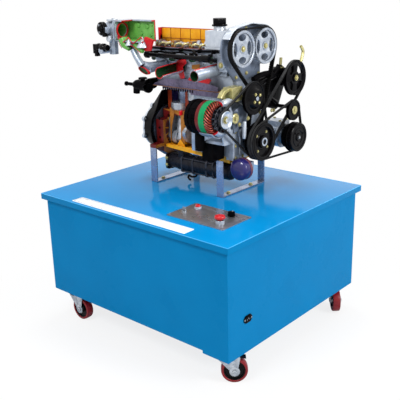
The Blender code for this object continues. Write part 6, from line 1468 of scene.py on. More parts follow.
@dataclass
class BeltDrive(Assembly):
    """The pulleys of the accessory drive with their three ribbed belts."""

    pump: Pair = (-0.026, 0.173)
    alternator: Pair = (-0.199, 0.1165)
    steering: Pair = (0.237, 0.221)
    clutch: Pair = (0.215, -0.02)
    idler: Pair = (0.209, 0.093)
    crank_rim: float = 0.0755
    pump_rim: float = 0.064
    alternator_rim: float = 0.034
    steering_rim: float = 0.072
    clutch_rim: float = 0.062
    idler_rim: float = 0.043
    groove: float = 0.0055
    ribs: int = 4
    front: float = 0.2508

    def build(self) -> None:
        """Builds the pulleys and the belts."""
        self.crank_pulley()
        self.water_pulley()
        self.steering_pulley()
        self.clutch_pulley()
        self.idler_pulley()
        loops = {Track.ALTERNATOR: ((*self.pump, self.pump_rim), (*self.alternator, self.alternator_rim)),
            Track.STEERING: ((*self.steering, self.steering_rim),),
            Track.COMPRESSOR: ((*self.clutch, self.clutch_rim), (*self.idler, self.idler_rim))}
        for track, driven in loops.items():
            wheels = [(u, v, rim - self.groove, 1) for u, v, rim in ((0.0, 0.0, self.crank_rim), *driven)]
            self.ribbed(track.name.lower(), *track.value, wheels)

    def ribbed(self, name: str, low: float, high: float, wheels: Sequence[Wheel]) -> None:
        """One ribbed belt.

        Args:
            name: what the belt drives.
            low: its rear edge.
            high: its front edge.
            wheels: the wheels that it runs round.
        """
        section = [(low, -0.003), (high, -0.003), (high, 0.0004)]
        pitch = (high - low) / self.ribs
        for i in range(self.ribs, 0, -1):
            section += [(low + pitch * i - pitch * 0.2, 0.0028), (low + pitch * (i - 1) + pitch * 0.2, 0.0028)]
            if i > 1:
                section.append((low + pitch * (i - 1), 0.0006))
        section.append((low, 0.0004))
        strap = band(belt_line(wheels, 0.006), section)
        # Faces that don't face along the crank take the grey rubber.
        self.add(f"ribbed_belt_{name}", strap, RUBBER, stands_for=f"{name}_belt",
            rules=[(GREY_BELT_FACES, lambda c, n: abs(n.x) < 0.3)])

    def rim(self, radius: float, low: float, high: float, *tracks: Track) -> list[Pair]:
        """A pulley's outside, with its grooves cut for the ribs.

        Args:
            radius: the rim's radius.
            low: the rear face.
            high: the front face.
            tracks: the belts that it carries.

        Returns:
            The profile from rear to front.
        """
        profile = [(low, radius - 0.0008), (low + 0.0008, radius)]
        floor = radius - self.groove
        for start, end in (track.value for track in tracks):
            profile += [(start - 0.0003, radius), (start - 0.0003, floor)]
            for i in range(self.ribs):
                x = start + (end - start) * (i + 0.5) / self.ribs
                profile += [(x - 0.0006, floor), (x, floor - 0.0012), (x + 0.0006, floor)]
            profile += [(end + 0.0003, floor), (end + 0.0003, radius)]
        return profile + [(high - 0.0008, radius), (high, radius - 0.0008)]

    def crank_pulley(self) -> None:
        """The crank pulley with its damper ring, deep dish and toothed sprocket."""
        front = self.front
        profile = [(0.178, 0.0143), (0.178, 0.035), (0.202, 0.035), (0.202, 0.024), (0.209, 0.024)]
        profile += self.rim(self.crank_rim, 0.209, front, *Track)
        profile += beyond(front, (0.0, 0.069), (-0.0015, 0.0682), (-0.0015, 0.066), (0.0, 0.0652), (0.0, 0.06),
            (-0.0012, 0.059), (-0.011, 0.057), (-0.012, 0.033), (-0.0105, 0.031), (-0.0105, 0.0262),
            (-0.0005, 0.024), (-0.0005, 0.0143))
        self.add("crank_pulley_turned", lathe(profile, steps=96, ring=True), BLACK, "crank", "crank_pulley")
        ring = lathe(beyond(front, (-0.0008, 0.0145), (-0.0008, 0.0172), (0.0022, 0.0168), (0.0022, 0.0112),
            (-0.0003, 0.0108)), steps=48, ring=True)
        self.add("crank_washer", ring, WHITE, "crank")
        self.add("crank_pulley_bolts", bolts(ring_spots((0.0, 0.0), 0.0445, 4, front - 0.0118, 0.9),
            radius=0.0042, height=0.003), GOLD, "crank")
        nose = lathe(beyond(front, (-0.004, 0.0), (-0.004, 0.0105), (0.0004, 0.01), (0.0004, 0.0)), steps=32)
        self.add("crank_bolt_socket", nose, BLACK, "crank")

    def water_pulley(self) -> None:
        """The water pump's pulley with four gold bolts round a white centre."""
        low, high = 0.209, 0.2236
        profile = [(0.1625, 0.0), (0.1625, 0.0098), (low, 0.0098), (low, 0.05)]
        profile += self.rim(self.pump_rim, low, high, Track.ALTERNATOR)
        profile += beyond(high, (0.0, 0.058), (-0.0022, 0.0565), (-0.0022, 0.05), (-0.0008, 0.0485),
            (-0.0002, 0.042), (0.003, 0.0385), (0.009, 0.034), (0.0112, 0.031), (0.0118, 0.0))
        self.add("water_pulley_turned", lathe(profile, self.pump, steps=96), BLACK, "water_pump",
            "water_pump_pulley")
        self.add("water_pulley_bolts", bolts(ring_spots(self.pump, 0.0205, 4, high + 0.0118, 0.6),
            radius=0.0046, height=0.0038), GOLD, "water_pump")
        hub = lathe(beyond(high, (0.0116, 0.0), (0.0116, 0.0085), (0.0132, 0.0082), (0.0132, 0.0)), self.pump,
            steps=40)
        self.add("water_pulley_hub", hub, WHITE, "water_pump")

    def steering_pulley(self) -> None:
        """The steering pump's pulley with its windows and gold nut."""
        low, high = 0.2216, 0.2382
        centre = self.steering
        rim = self.rim(self.steering_rim, low, high, Track.STEERING)
        profile = [(low, 0.0605)] + rim + [(high, 0.0665), (high - 0.004, 0.063), (high - 0.008, 0.0605)]
        ring = lathe(profile, centre, steps=96, ring=True)
        windows = [arc(centre, 0.055, 10, start, 0.95) + arc(centre, 0.028, 8, start + 0.95 - 0.15, -0.65)
            for start in (0.25 + math.tau * k / 4 for k in range(4))]
        web = merged(slab(arc(centre, 0.0625, 72), high - 0.01, high - 0.006, "X", windows, 0.0008),
            slab(arc(centre, 0.0625, 72), low + 0.0005, low + 0.003, "X", windows[:1], 0.0006))
        hub = lathe([(0.2013, 0.0), (0.2013, 0.0078), (low, 0.0078), (low, 0.018), (high - 0.001, 0.0175),
            (high, 0.0165), (high, 0.0)], centre, steps=48)
        self.add("steering_pulley_turned", [ring, web, hub], BLACK, "steering", "steering_pulley")
        self.add("steering_pulley_nut", bolt((high, *centre), radius=0.0088, height=0.005), GOLD, "steering")

    def clutch_pulley(self) -> None:
        """The compressor's clutch: a grooved pulley behind a ringed plate."""
        low, high = 0.2362, self.front
        face = high + 0.02
        profile = [(0.1955, 0.0), (0.1955, 0.0078), (low, 0.0078), (low, 0.05)]
        profile += self.rim(self.clutch_rim, low, high, Track.COMPRESSOR)
        profile += [*beyond(high, (0.004, 0.0612), (0.005, 0.057), (0.013, 0.0575), (0.014, 0.06)),
            *beyond(face, (-0.002, 0.06), (0.0, 0.0575), (0.0, 0.048), (-0.0025, 0.0465), (-0.0025, 0.04),
            (-0.0005, 0.0385), (-0.0005, 0.028), (-0.003, 0.026), (-0.003, 0.018), (0.0015, 0.016),
            (0.0015, 0.0))]
        self.add("clutch_turned", lathe(profile, self.clutch, steps=96), BLACK, "clutch", "compressor_clutch")
        self.add("clutch_bolt", bolt((face + 0.0015, *self.clutch), radius=0.005, height=0.0035), ZINC,
            "clutch")
        self.add("clutch_rivets", bolts(ring_spots(self.clutch, 0.0335, 3, face - 0.0006, 0.4), radius=0.0036,
            height=0.002), SATIN, "clutch")

    def idler_pulley(self) -> None:
        """The idler: a ribbed rim round its bearing, with the gold boss of its pin."""
        low, high = 0.2362, self.front
        web = low + 0.0058
        profile = [(web, 0.0085), (web, 0.0322), (low, 0.0325)] + self.rim(self.idler_rim, low, high,
            Track.COMPRESSOR)
        profile += beyond(high, (0.0, 0.037), (-0.003, 0.035), (-0.003, 0.021), (-0.001, 0.0195),
            (-0.001, 0.0085))
        self.add("idler_turned", lathe(profile, self.idler, steps=80, ring=True), BLACK, "idler",
            "idler_pulley")
        boss = lathe(beyond(high, (-0.004, 0.0), (-0.004, 0.008), (0.0006, 0.008), (0.0006, 0.0172),
            (0.0022, 0.0165), (0.0026, 0.0)), self.idler)
        self.add("idler_boss", boss, GOLD)
        self.add("idler_bolt", bolt((high + 0.0024, *self.idler), radius=0.006, height=0.0035), GOLD)


@dataclass
class Alternator(Assembly):
    """The sectioned alternator."""

    centre: Pair = (-0.199, 0.1165)
    radius: float = 0.066
    cover: Pair = (0.058, 0.12)
    core: Pair = (0.137, 0.164)
    housing: Pair = (0.19, 0.207)
    wheel: Pair = (0.209, 0.2236)
    coils: int = 34
    face_radius: float = 0.0512
    kept_wall: tuple[tuple[float, ...], ...] = ((232.0,), (52.0, -92.0))

    def build(self) -> None:
        """Builds the housings, stator, windings and rotor."""
        self.rear_cover()
        self.stator()
        self.rotor()
        self.front_housing()

    def span(self, angle: float, distance: float) -> Pair:
        """A place across the shaft, by its angle and its distance."""
        return arc(self.centre, distance, 1, angle)[0]

    def rear_cover(self) -> None:
        """The black rear cover with its bands and ribs."""
        rear, front = self.cover
        r = self.radius
        profile = [*beyond(rear, (0.0, 0.0083), (0.0, r - 0.013), (0.005, r - 0.004), (0.009, r - 0.001),
            (0.018, r - 0.0005), (0.02, r - 0.003), (0.03, r - 0.003), (0.032, r), (0.044, r),
            (0.046, r - 0.0025)), (front - 0.002, r - 0.0025), (front, r - 0.0035), (front, r - 0.006),
            (rear + 0.01, r - 0.006), (rear + 0.007, 0.0083)]
        cover = lathe(profile, self.centre, steps=72, ring=True)
        ribs = []
        for a in (2.45, 2.8, 3.15, 3.5, 3.85, 4.2):
            u, v = self.span(a, r - 0.0015)
            ribs.append(tube([(rear + 0.008, u, v), (front - 0.002, u, v)], 0.0026, 8, smooth=False))
        low = self.centre[1] - r - 0.001
        near, far = self.centre[0] - 0.012, self.centre[0] + 0.012
        leg = slab(rounded((near, -0.02), (far, low + 0.024), 0.004), rear + 0.0125, rear + 0.0455, "X",
            edge=0.0025)
        clamp = sleeve(rear + 0.02, rear + 0.026, r - 0.004, r + 0.0012, self.centre, steps=72)
        terminal = lathe(beyond(rear, (-0.004, 0.0), (-0.004, 0.006), (0.004, 0.0075), (0.004, 0.0)),
            self.span(2.7, r * 0.62), steps=24)
        self.add("alternator_rear_case", [cover, leg, clamp, terminal, *ribs], SATIN,
            stands_for="alternator_rear_cover", edge=0.0005)
        flag = slab(rounded((-0.279, 0.128), (-0.2615, 0.146), 0.004), 0.056, 0.06, "X")
        self.add("terminal_cap", flag, RED, edge=0.0006)

    def stator(self) -> None:
        """The green laminations with red coils behind them and the slanted winding before them."""
        r = self.radius
        low, high = self.core
        laminations = lathe([(low, 0.0485), (low, r - 0.0008), (low + 0.0006, r), (high - 0.0006, r),
            (high, r - 0.0008), (high, 0.0485)], self.centre, steps=96, ring=True)
        self.add("stator_core", laminations, STATOR, stands_for="alternator_stator")
        rear = [self.coil(i, low - 0.0005, 0.1212, 0.0475, r - 0.004, 0.12) for i in range(self.coils)]
        self.add("stator_coils_rear", rear, COPPER)
        front = [self.coil(i, high + 0.0005, 0.1905, 0.047, r - 0.003, 0.34) for i in range(self.coils)]
        self.add("stator_coils_front", front, COPPER, stands_for="stator_winding")
        collar = lathe([(0.1203, r - 0.0045), (0.1203, r - 0.0008), (low - 0.0002, r - 0.0008),
            (low - 0.0002, r - 0.0022), (0.1225, r - 0.0022), (0.1225, r - 0.0045)], self.centre, steps=96,
            ring=True)
        self.add("stator_rear_collar", collar, DARK_RED)

    def coil(self, number: int, low: float, high: float, inner: float, outer: float, slant: float) -> Mesh:
        """One end turn: wire that leaves the core, leans round it and goes back.

        Args:
            number: its place round the stator.
            low: where it leaves the core.
            high: its furthest point.
            inner: its inner radius.
            outer: its outer radius.
            slant: how far it leans, in radians.

        Returns:
            The mesh.
        """
        start = math.tau * number / self.coils
        reach = high - low
        turn = 0.003 if reach > 0 else -0.003
        stations = ((low, outer, 0.0), (low + reach * 0.55, outer, slant * 0.45),
            (high - turn, (inner + outer) / 2 + 0.004, slant * 0.8), (high - turn, inner + 0.003, slant),
            (low + reach * 0.4, inner + 0.002, slant * 1.2), (low, inner + 0.002, slant * 1.3))
        points = [(x, *self.span(start + lean, rad)) for x, rad, lean in stations]
        return tube(points, 0.003, 6)

    def rotor(self) -> None:
        """The rotor with its claws and fan, and the white pulley with its nut."""
        c = self.centre
        shaft = rod(0.0583, 0.226, 0.0079, c, steps=32)
        body = lathe([(0.13, 0.008), (0.13, 0.036), (0.134, 0.0405), (0.166, 0.0405), (0.17, 0.036),
            (0.17, 0.008)], c, steps=64, ring=True)
        claws = []
        for i in range(12):
            u, v = self.span(math.tau * i / 12, 0.0395)
            widths = (0.0034, 0.0018) if i % 2 else (0.0018, 0.0034)
            claws.append(tube([(0.132, u, v), (0.168, u, v)], widths, 8, smooth=False))
        plate = lathe([(0.172, 0.008), (0.172, 0.043), (0.174, 0.0455), (0.176, 0.043), (0.176, 0.008)], c,
            steps=64, ring=True)
        blades = []
        for i in range(14):
            a = math.tau * i / 14
            line = [(0.0, *self.span(a + lean, rad)) for rad, lean in ((0.02, 0.0), (0.033, 0.14),
                (0.0455, 0.3))]
            blade = tube(line, 0.0013, 6)
            for vert in blade.verts:
                vert.co.x = 0.1855 + vert.co.x * 8.0
            blades.append(blade)
        self.add("rotor_core", [body, *claws], BLACK, "alternator", "alternator_rotor")
        self.add("rotor_fan", [plate, *blades], DARK_CAST, "alternator", slot="machined_steel")
        self.add("rotor_shaft", shaft, STEEL, "alternator")
        low, high = self.wheel
        belts = BeltDrive()
        drive = belts.rim(belts.alternator_rim, low, high, Track.ALTERNATOR)
        wheel = lathe([(low, 0.0078)] + drive + beyond(high, (0.0006, 0.0312), (-0.004, 0.0235),
            (-0.006, 0.015), (-0.006, 0.0078)), c, steps=72, ring=True)
        self.add("alternator_pulley", wheel, DARK_CAST, "alternator", slot="machined_steel",
            rules=[(WHITE, lambda p, n: p.x > high - 0.0075 and n.x > 0.25 and off_axis(p, c) < 0.0345)])
        self.add("alternator_nut", bolt((high - 0.0062, *c), radius=0.0105, height=0.0085), GOLD, "alternator")

    def sector(self, ring: Mesh, *cuts: float) -> Mesh:
        """Keeps what lies past each cut of a ring round the shaft, and closes the cuts.

        Args:
            ring: the whole ring, changed here.
            cuts: angles, in degrees; a negative one keeps what lies before it.

        Returns:
            The same mesh.
        """
        for cut in cuts:
            angle, way = math.radians(abs(cut)), math.copysign(1.0, cut)
            normal = Vector((0.0, -math.sin(angle), math.cos(angle))) * way
            bmesh.ops.bisect_plane(ring, geom=[*ring.verts, *ring.edges, *ring.faces],
                plane_co=(0.0, *self.centre), plane_no=normal, clear_inner=True)
            bmesh.ops.holes_fill(ring, edges=[e for e in ring.edges if e.is_boundary], sides=0)
        return tidy(ring)

    def front_housing(self) -> None:
        """The silver front housing with its air slots and lugs, and the red cut of its wall."""
        c, r = self.centre, self.radius
        low, high = self.housing
        profile = [(low - 0.0018, r - 0.007), (low - 0.0018, r), (low + 0.008, r), (low + 0.0125, r - 0.003),
            (high - 0.001, r - 0.01), (high - 0.001, r - 0.018), (low + 0.01, r - 0.018),
            (low + 0.008, r - 0.01)]
        wall = merged(*(self.sector(lathe(profile, c, steps=72, ring=True), *cuts) for cuts in self.kept_wall))
        slots = []
        for k in range(10):
            start = math.tau * k / 10 + 0.12
            slots.append(arc(c, 0.0475, 6, start, 0.38) + arc(c, 0.0235, 5, start + 0.38, -0.38))
        face = slab(arc(c, 0.0505, 72), high - 0.0055, high - 0.001, "X", slots + [arc(c, 0.0085, 24)], 0.001)
        boss = lathe([(low + 0.004, 0.0086), (low + 0.004, 0.019), (high - 0.001, 0.018),
            (high + 0.0012, 0.015), (high + 0.0012, 0.0086)], c, steps=48, ring=True)
        strap = lifted("alternator_housing")
        strap.transform(Matrix.Translation(-self.at))
        gone = [f for f in strap.faces if f.calc_center_median().x > low - 0.0012
            and off_axis(f.calc_center_median(), c) < r + 0.0002]
        bmesh.ops.delete(strap, geom=gone, context="FACES")
        self.add("alternator_front_case", [wall, face, boss, strap], CAST, stands_for="alternator_housing",
            edge=0.0006, rules=[(SATIN, lambda p, n: p.x > low and off_axis(p, c) < r - 0.009 and n.x < 0.3
            and p.x < high - 0.002), (FRAME_GREY, lambda p, n: p.x > high - 0.0065
            and off_axis(p, c) < self.face_radius), (RED, lambda p, n: abs(n.x) < 0.1 and p.x > low - 0.002
            and off_axis(p, c) < r and abs(n.y * (p.y - c[0]) + n.z * (p.z - c[1])) < 0.003)])
        edge = [(low - 0.0034, r - 0.0075), (low - 0.0034, r + 0.0002), (low - 0.0016, r + 0.0002),
            (low - 0.0016, r - 0.0075)]
        cut = merged(*(self.sector(lathe(edge, c, steps=72, ring=True), *cuts) for cuts in self.kept_wall))
        self.add("alternator_cut_ring", cut, RED)
        bosses = []
        for a in (0.9, 5.4):
            bosses.append(lathe([(low - 0.002, 0.0), (low - 0.002, 0.0085), (high - 0.002, 0.0085),
                (high, 0.006), (high, 0.0)], self.span(a, r - 0.0035), steps=28))
        self.add("alternator_bosses", bosses, CAST)
        apron = arc(c, r + 0.0022, 10, math.radians(225), math.radians(90))
        apron += arc(c, r + 0.0062, 10, math.radians(315), math.radians(-90))
        self.add("alternator_cradle", slab(apron, 0.128, low + 0.002, "X"), CAST, edge=0.0012)
        arm = slab([(-0.19, 0.168), (-0.168, 0.163), (-0.14, 0.166), (-0.136, 0.182), (-0.158, 0.19),
            (-0.192, 0.184)], low, low + 0.014)
        self.add("alternator_arm", arm, PALE, edge=0.0015)


@dataclass
class Brackets(Assembly):
    """The gold bracket, the steering pump, the compressor and the pipes behind them."""

    steering: Pair = (0.237, 0.221)
    compressor: Pair = (0.215, -0.02)

    def build(self) -> None:
        """Builds the brackets and pumps."""
        self.gold_bracket()
        self.refine("steering_pump", BLACK, edge=0.0015)
        self.refine("compressor", CAST, edge=0.0025)
        self.compressor_details()
        self.pipes()
        self.carrier_details()

    def gold_bracket(self) -> None:
        """The folded bracket with its curved ear."""
        self.refine("mount_bracket", GOLD, edge=0.002)
        self.add("bracket_bolts", bolts([(0.1716, -0.152, 0.176), (0.1716, -0.158, 0.19)], radius=0.006), GOLD)

    def compressor_details(self) -> None:
        """Ribs, the head plate and bolts of the compressor."""
        c = self.compressor
        ribs = [sleeve(x, x + 0.004, 0.049, 0.0535, c, steps=64) for x in (0.098, 0.14, 0.186)]
        deck = block((0.12, c[0] - 0.032, c[1] + 0.04), (0.2, c[0] + 0.034, c[1] + 0.062))
        self.add("compressor_ribs", [*ribs, deck], PALE, edge=0.001)
        spots = [(x, y, c[1] + 0.062) for x in (0.13, 0.19) for y in (c[0] - 0.022, c[0] + 0.024)]
        self.add("compressor_bolts", bolts(spots, UP, 0.0055, 0.005), GOLD)
        coil = sleeve(0.214, 0.232, 0.02, 0.05, c, steps=64)
        self.add("clutch_coil", coil, SATIN, edge=0.001)

    def pipes(self) -> None:
        """The bent gold pipes and black hoses at the steering pump."""
        tall = tube([(0.186, 0.272, 0.246), (0.196, 0.3, 0.262), (0.203, 0.318, 0.276), (0.204, 0.33, 0.3),
            (0.204, 0.334, 0.316), (0.204, 0.326, 0.33), (0.203, 0.318, 0.339)], 0.0066, 16, bore=0.6)
        short = tube([(0.18, 0.2, 0.25), (0.182, 0.202, 0.275), (0.184, 0.203, 0.303)], 0.0062, 16, bore=0.6)
        self.add("steering_pipes", [tall, short], GOLD)
        hoses = merged(tube([(0.176, 0.15, 0.232), (0.18, 0.172, 0.252), (0.182, 0.196, 0.262),
            (0.18, 0.215, 0.255)], 0.013), tube([(0.176, 0.178, 0.246), (0.18, 0.196, 0.272)], 0.011,
            smooth=False), tube([(0.18, 0.02, 0.236), (0.184, 0.06, 0.248), (0.184, 0.11, 0.25),
            (0.178, 0.16, 0.236)], 0.011))
        self.add("steering_hoses", hoses, SATIN, slot="black_plastic")
        self.add("hose_clip", rod(0.262, 0.268, 0.0165, (0.181, 0.199), "Z", 36), GOLD)

    def carrier_details(self) -> None:
        """Bolts and webs on the black carrier."""
        spots = [(0.1665, y, z) for y, z in ((0.06, 0.205), (0.06, 0.15), (0.15, 0.23), (0.165, 0.09),
            (0.18, 0.088))]
        self.add("carrier_bolts", bolts(spots, radius=0.006), GOLD)
        webs = [tube([(0.168, 0.06, 0.16), (0.172, 0.13, 0.15), (0.172, 0.19, 0.12)], 0.009),
            tube([(0.168, 0.06, 0.205), (0.172, 0.13, 0.222), (0.172, 0.205, 0.235)], 0.009)]
        self.add("carrier_webs", webs, BLACK)


@dataclass
class Intake(Assembly):
    """The sectioned intake manifold, throttle body, fuel rail and wire loom."""

    plenum_low: Triple = (-0.327, -0.235, 0.383)
    plenum_high: Triple = (-0.172, -0.155, 0.466)
    throttle: Pair = (-0.197, 0.425)
    throat: float = 0.0268
    plate_x: float = -0.3773
    runners: Pair = (-0.098, 0.085)
    rail_axis: Pair = (-0.15, 0.328)

    def build(self) -> None:
        """Dresses the manifold and builds its section."""
        body = lifted("intake_manifold")
        gone = []
        for face in body.faces:
            c = face.calc_center_median() - self.at
            if abs(c.x - self.runners[0]) < 0.024 and c.y < -0.103 and c.z < 0.31:
                gone.append(face)
        bmesh.ops.delete(body, geom=gone, context="FACES")
        self.channel()
        # Inside the runners the green is darkened: painted shade.
        self.add("intake_manifold_dressed", body, CAST, stands_for="intake_manifold", edge=0.0012,
            rules=[(GREEN, self.in_plenum), (RED, lambda c, n: c.z > 0.38 and n.x > 0.9 and -0.318 < c.x <
            -0.16), (SHADED_GREEN, lambda c, n: self.in_runner(c)), (RED, self.is_runner_cut)], shift=False)
        self.plenum_edges()
        self.plenum_foot()
        self.throttle_body()
        self.rail()
        self.loom()

    def in_plenum(self, c: Vector, n: Vector) -> bool:
        """Whether a face is one of the plenum's inner walls."""
        low, high, wall = self.plenum_low, self.plenum_high, 0.003
        if n.y > 0.5 or not (low[0] - 0.001 < c.x < high[0] + 0.001 and c.y < high[1] and low[2] - 0.001 < c.z):
            return False
        if n.y < -0.9:
            return c.y > high[1] - 0.012
        if n.x > 0.9:
            return c.x < low[0] + 0.012
        return low[2] + wall < c.z < high[2] - wall and c.y > low[1] + 0.001 and c.x > low[0] + wall

    def in_runner(self, c: Vector) -> bool:
        """Whether a face is inside a runner."""
        drop = 0.281 - 0.01 * (c.y + 0.076) / -0.144
        return c.y < -0.075 and any(abs(c.x - x) < 0.0195 and math.hypot(c.x - x, c.z - drop) < 0.0197
            for x in self.runners)

    def is_runner_cut(self, c: Vector, n: Vector) -> bool:
        """Whether a face is the cut end or the cut side of a runner."""
        return c.z < 0.31 and c.y < -0.085 and n.z > 0.97 and abs(c.x - self.runners[1]) < 0.006

    def channel(self) -> None:
        """The third cylinder's runner, cut open along its upper near side."""
        x, outer, inner = self.runners[0], 0.0228, 0.0192
        start, sweep, steps = math.radians(112.0), math.radians(222.0), 26
        stations = [(-0.1005, 0.279), (-0.13, 0.2775), (-0.16, 0.2755), (-0.19, 0.273), (-0.2195, 0.27)]

        def depth(point: Vector) -> float:
            """How far a point lies from the runner's middle line."""
            return math.hypot(point.x - x, point.z - (0.271 + (point.y + 0.21) * 0.075))

        bm = bmesh.new()
        rows = []
        for y, z in stations:
            ring = arc((x, z), outer, steps, start, sweep) + arc((x, z), inner, steps, start + sweep, -sweep)
            rows.append([bm.verts.new((u, y, v)) for u, v in ring])
        count = len(rows[0])
        skin(bm, rows)
        for row in (rows[0], rows[-1]):
            for i in range(steps):
                bm.faces.new((row[i], row[i + 1], row[count - 2 - i], row[count - 1 - i]))
        ring = sleeve(-0.221, -0.2195, 0.0186, 0.0202, (self.runners[1], 0.2702), "Y", 56)
        self.add("runner_mouth_edge", ring, DARK_RED)
        # Inside the cut runner the green is darkened: painted shade; its cut edges are red.
        self.add("runner_channel", tidy(bm), PALE, rules=[(RED, lambda c, n: c.y < -0.219 and n.y < -0.9),
            (SHADED_GREEN, lambda c, n: depth(c) < 0.0203), (RED, lambda c, n: depth(c) < 0.0222)])

    def plenum_edges(self) -> None:
        """Red paint along the plenum's cut and the ring of the throttle's mouth."""
        x0, y0, z0 = self.plenum_low
        x1, y1, z1 = self.plenum_high
        back = [(x0 + 0.048, y1 - 0.0045, z1 - 0.0015), (x1 - 0.001, y1 - 0.0045, z1 - 0.0015),
            (x1 - 0.001, y1 - 0.0045, z0 + 0.004)]
        top = tube([(x0 + 0.012, y0 + 0.001, z1 - 0.0016), (x0 + 0.045, y0 + 0.001, z1 - 0.0016), *back],
            0.0013, 8, False)
        ring = sleeve(x0 + 0.0045, x0 + 0.009, 0.0262, 0.032, self.throttle, steps=56)
        self.add("plenum_cut_edge", [top, ring], RED, edge=0.0004)
        corner = [(y0 + 0.0005, z0 + 0.002), (y0 + 0.0005, z1 - 0.0005), (self.throttle[0], z1 - 0.0005)]
        corner += arc(self.throttle, 0.0315, 24, math.radians(90.0), math.radians(160.0))
        self.add("plenum_end_plate", slab(corner, x0 + 0.0048, x0 + 0.0056), CAST)
        dents = merged(*(lathe([(y1 - 0.0048, 0.0), (y1 - 0.0052, size), (y1 - 0.0095, size * 0.72),
            (y1 - 0.0105, 0.0)], (x, z), "Y", 32) for x, z, size in ((-0.262, 0.444, 0.012),
            (-0.246, 0.412, 0.009), (-0.212, 0.44, 0.011), (-0.192, 0.408, 0.008), (-0.186, 0.448, 0.007))))
        self.add("plenum_bosses", dents, GREEN)

    def plenum_foot(self) -> None:
        """The zigzag cut of the plenum's floor, with the runners' scoops, cones and legs."""
        y = self.plenum_low[1]
        cuts = [(-0.309, 0.404), (-0.3, 0.395), (-0.276, 0.381), (-0.247, 0.402), (-0.222, 0.378),
            (-0.173, 0.406), (-0.168, 0.396)]
        zigzag = tube([(x, y - 0.0005, z) for x, z in cuts], 0.0022, 8, False)
        rims = merged(zigzag, tube([(-0.312, y + 0.002, 0.404), (-0.303, y + 0.002, 0.372),
            (-0.29, y + 0.002, 0.357)], 0.0012, 8, False),
            tube([(-0.236, y - 0.002, 0.372), (-0.214, y - 0.002, 0.366), (-0.178, y - 0.002, 0.344)], 0.0012,
            8, False))
        self.add("plenum_zigzag", rims, RED)
        scoops = merged(tube([(-0.293, y + 0.016, 0.392), (-0.281, y + 0.012, 0.372),
            (-0.254, y + 0.01, 0.354)], (0.02, 0.017, 0.008)),
            tube([(-0.222, y + 0.018, 0.376), (-0.205, y + 0.013, 0.363), (-0.178, y + 0.01, 0.349)],
            (0.015, 0.014, 0.008)))
        self.add("plenum_scoops", scoops, GREEN)
        cones = merged(lathe([(0.4, 0.0), (0.3985, 0.0015), (0.374, 0.015), (0.37, 0.015), (0.369, 0.0)],
            (-0.249, y + 0.006), "Z", 40), lathe([(0.405, 0.0), (0.4035, 0.0015), (0.368, 0.0235),
            (0.364, 0.0235), (0.362, 0.0)], (-0.184, y + 0.016), "Z", 40))
        self.add("runner_cones", cones, PALE, edge=0.0005)
        face = slab([(-0.181, 0.3925), (-0.17, 0.406), (-0.128, 0.395), (-0.145, 0.352), (-0.186, 0.35)],
            y + 0.016, y + 0.026, "Y")
        self.add("manifold_cut_face", face, RED, edge=0.001)
        leg = tube([(-0.246, -0.213, 0.352), (-0.224, -0.213, 0.322), (-0.196, -0.213, 0.291)],
            (0.012, 0.0125, 0.0145))
        neck = tube([(-0.196, -0.212, 0.296), (-0.192, -0.18, 0.286), (-0.192, -0.12, 0.283),
            (-0.194, -0.086, 0.284)], (0.0145, 0.017, 0.018, 0.019))
        self.add("runner_legs", [leg, neck], CAST, edge=0.0006)
        self.mouth("runner_mouth_4", (-0.18, -0.226, 0.274), 0.03, 0.0105, -0.36)

    def mouth(self, name: str, centre: Triple, long: float, short: float, tilt: float) -> None:
        """A runner's slanted mouth: a red rim round a bowl of darkened green, painted shade inside the runner.

        Args:
            name: the piece's name.
            centre: the middle of the mouth.
            long: half its length.
            short: half its height.
            tilt: how far it leans, in radians.
        """
        x, y, z = centre
        rim, inside, bowl = (ellipse((x, z), long * scale, short * scale, 40, tilt) for scale in (1.0, 0.92,
            0.935))
        self.add(f"{name}_rim", slab(rim, y, y + 0.012, "Y", [inside], 0.0005), RED)
        self.add(f"{name}_bowl", slab(bowl, y + 0.004, y + 0.0118, "Y", edge=0.002), SHADED_GREEN)

    def throttle_body(self) -> None:
        """The throttle body with its sensor, bypass valve and connector."""
        self.refine("throttle_body", CAST, edge=0.0025, rules=[(GREEN, lambda c, n: abs(n.x) < 0.3
            and off_axis(c, self.throttle) < self.throat)])
        # The plate's front face takes the darkened green: painted shade in the bore.
        self.refine("throttle_plate", GOLD, "throttle", edge=0.0005,
            rules=[(SHADED_GREEN, lambda c, n: n.x > 0.5)])
        x, top = self.plate_x, self.throttle[1]
        spindle = (x - 0.004, top + 0.008)
        case = merged(slab(ellipse(spindle, 0.0215, 0.0265), -0.262, -0.24, "Y", edge=0.003),
            slab(ellipse(spindle, 0.015, 0.019), -0.268, -0.258, "Y", edge=0.002))
        plug = block((x + 0.006, -0.262, top - 0.024), (x + 0.021, -0.246, top - 0.008))
        self.add("throttle_sensor", [case, plug], BLACK, slot="black_plastic", edge=0.0008)
        self.add("throttle_sensor_screws", bolts([(x - 0.004, -0.268, top + 0.022), (x - 0.004, -0.268,
            top - 0.007)], NEAR, 0.0036, 0.0025), ZINC)
        elbow = merged(lathe([(-0.415, 0.0), (-0.415, 0.015), (-0.409, 0.0165), (-0.402, 0.015),
            (-0.398, 0.013), (-0.392, 0.015), (-0.386, 0.0165), (-0.374, 0.0165), (-0.368, 0.0125),
            (-0.356, 0.0125), (-0.356, 0.0)], (-0.25, 0.357), "X"), block((-0.4335, -0.263, 0.332),
            (-0.409, -0.237, 0.37)), block((-0.43, -0.259, 0.32), (-0.415, -0.241, 0.336)))
        self.add("bypass_connector", elbow, BLACK, slot="black_plastic", edge=0.0012)
        lug = merged(block((x - 0.012, -0.218, 0.459), (x + 0.016, -0.18, 0.467)), rod(0.465, 0.4705, 0.006,
            (x + 0.004, -0.197), "Z", 24))
        boss = lathe([(-0.244, 0.0), (-0.244, 0.012), (-0.23, 0.014), (-0.23, 0.0)], (x + 0.02, 0.392), "Y", 28)
        self.add("throttle_lever", [lug, boss], PALE, edge=0.0008)
        flange_bolts = [(-0.3362, self.throttle[0] + du, top + dv) for du in (-0.031, 0.031)
            for dv in (-0.031, 0.031)]
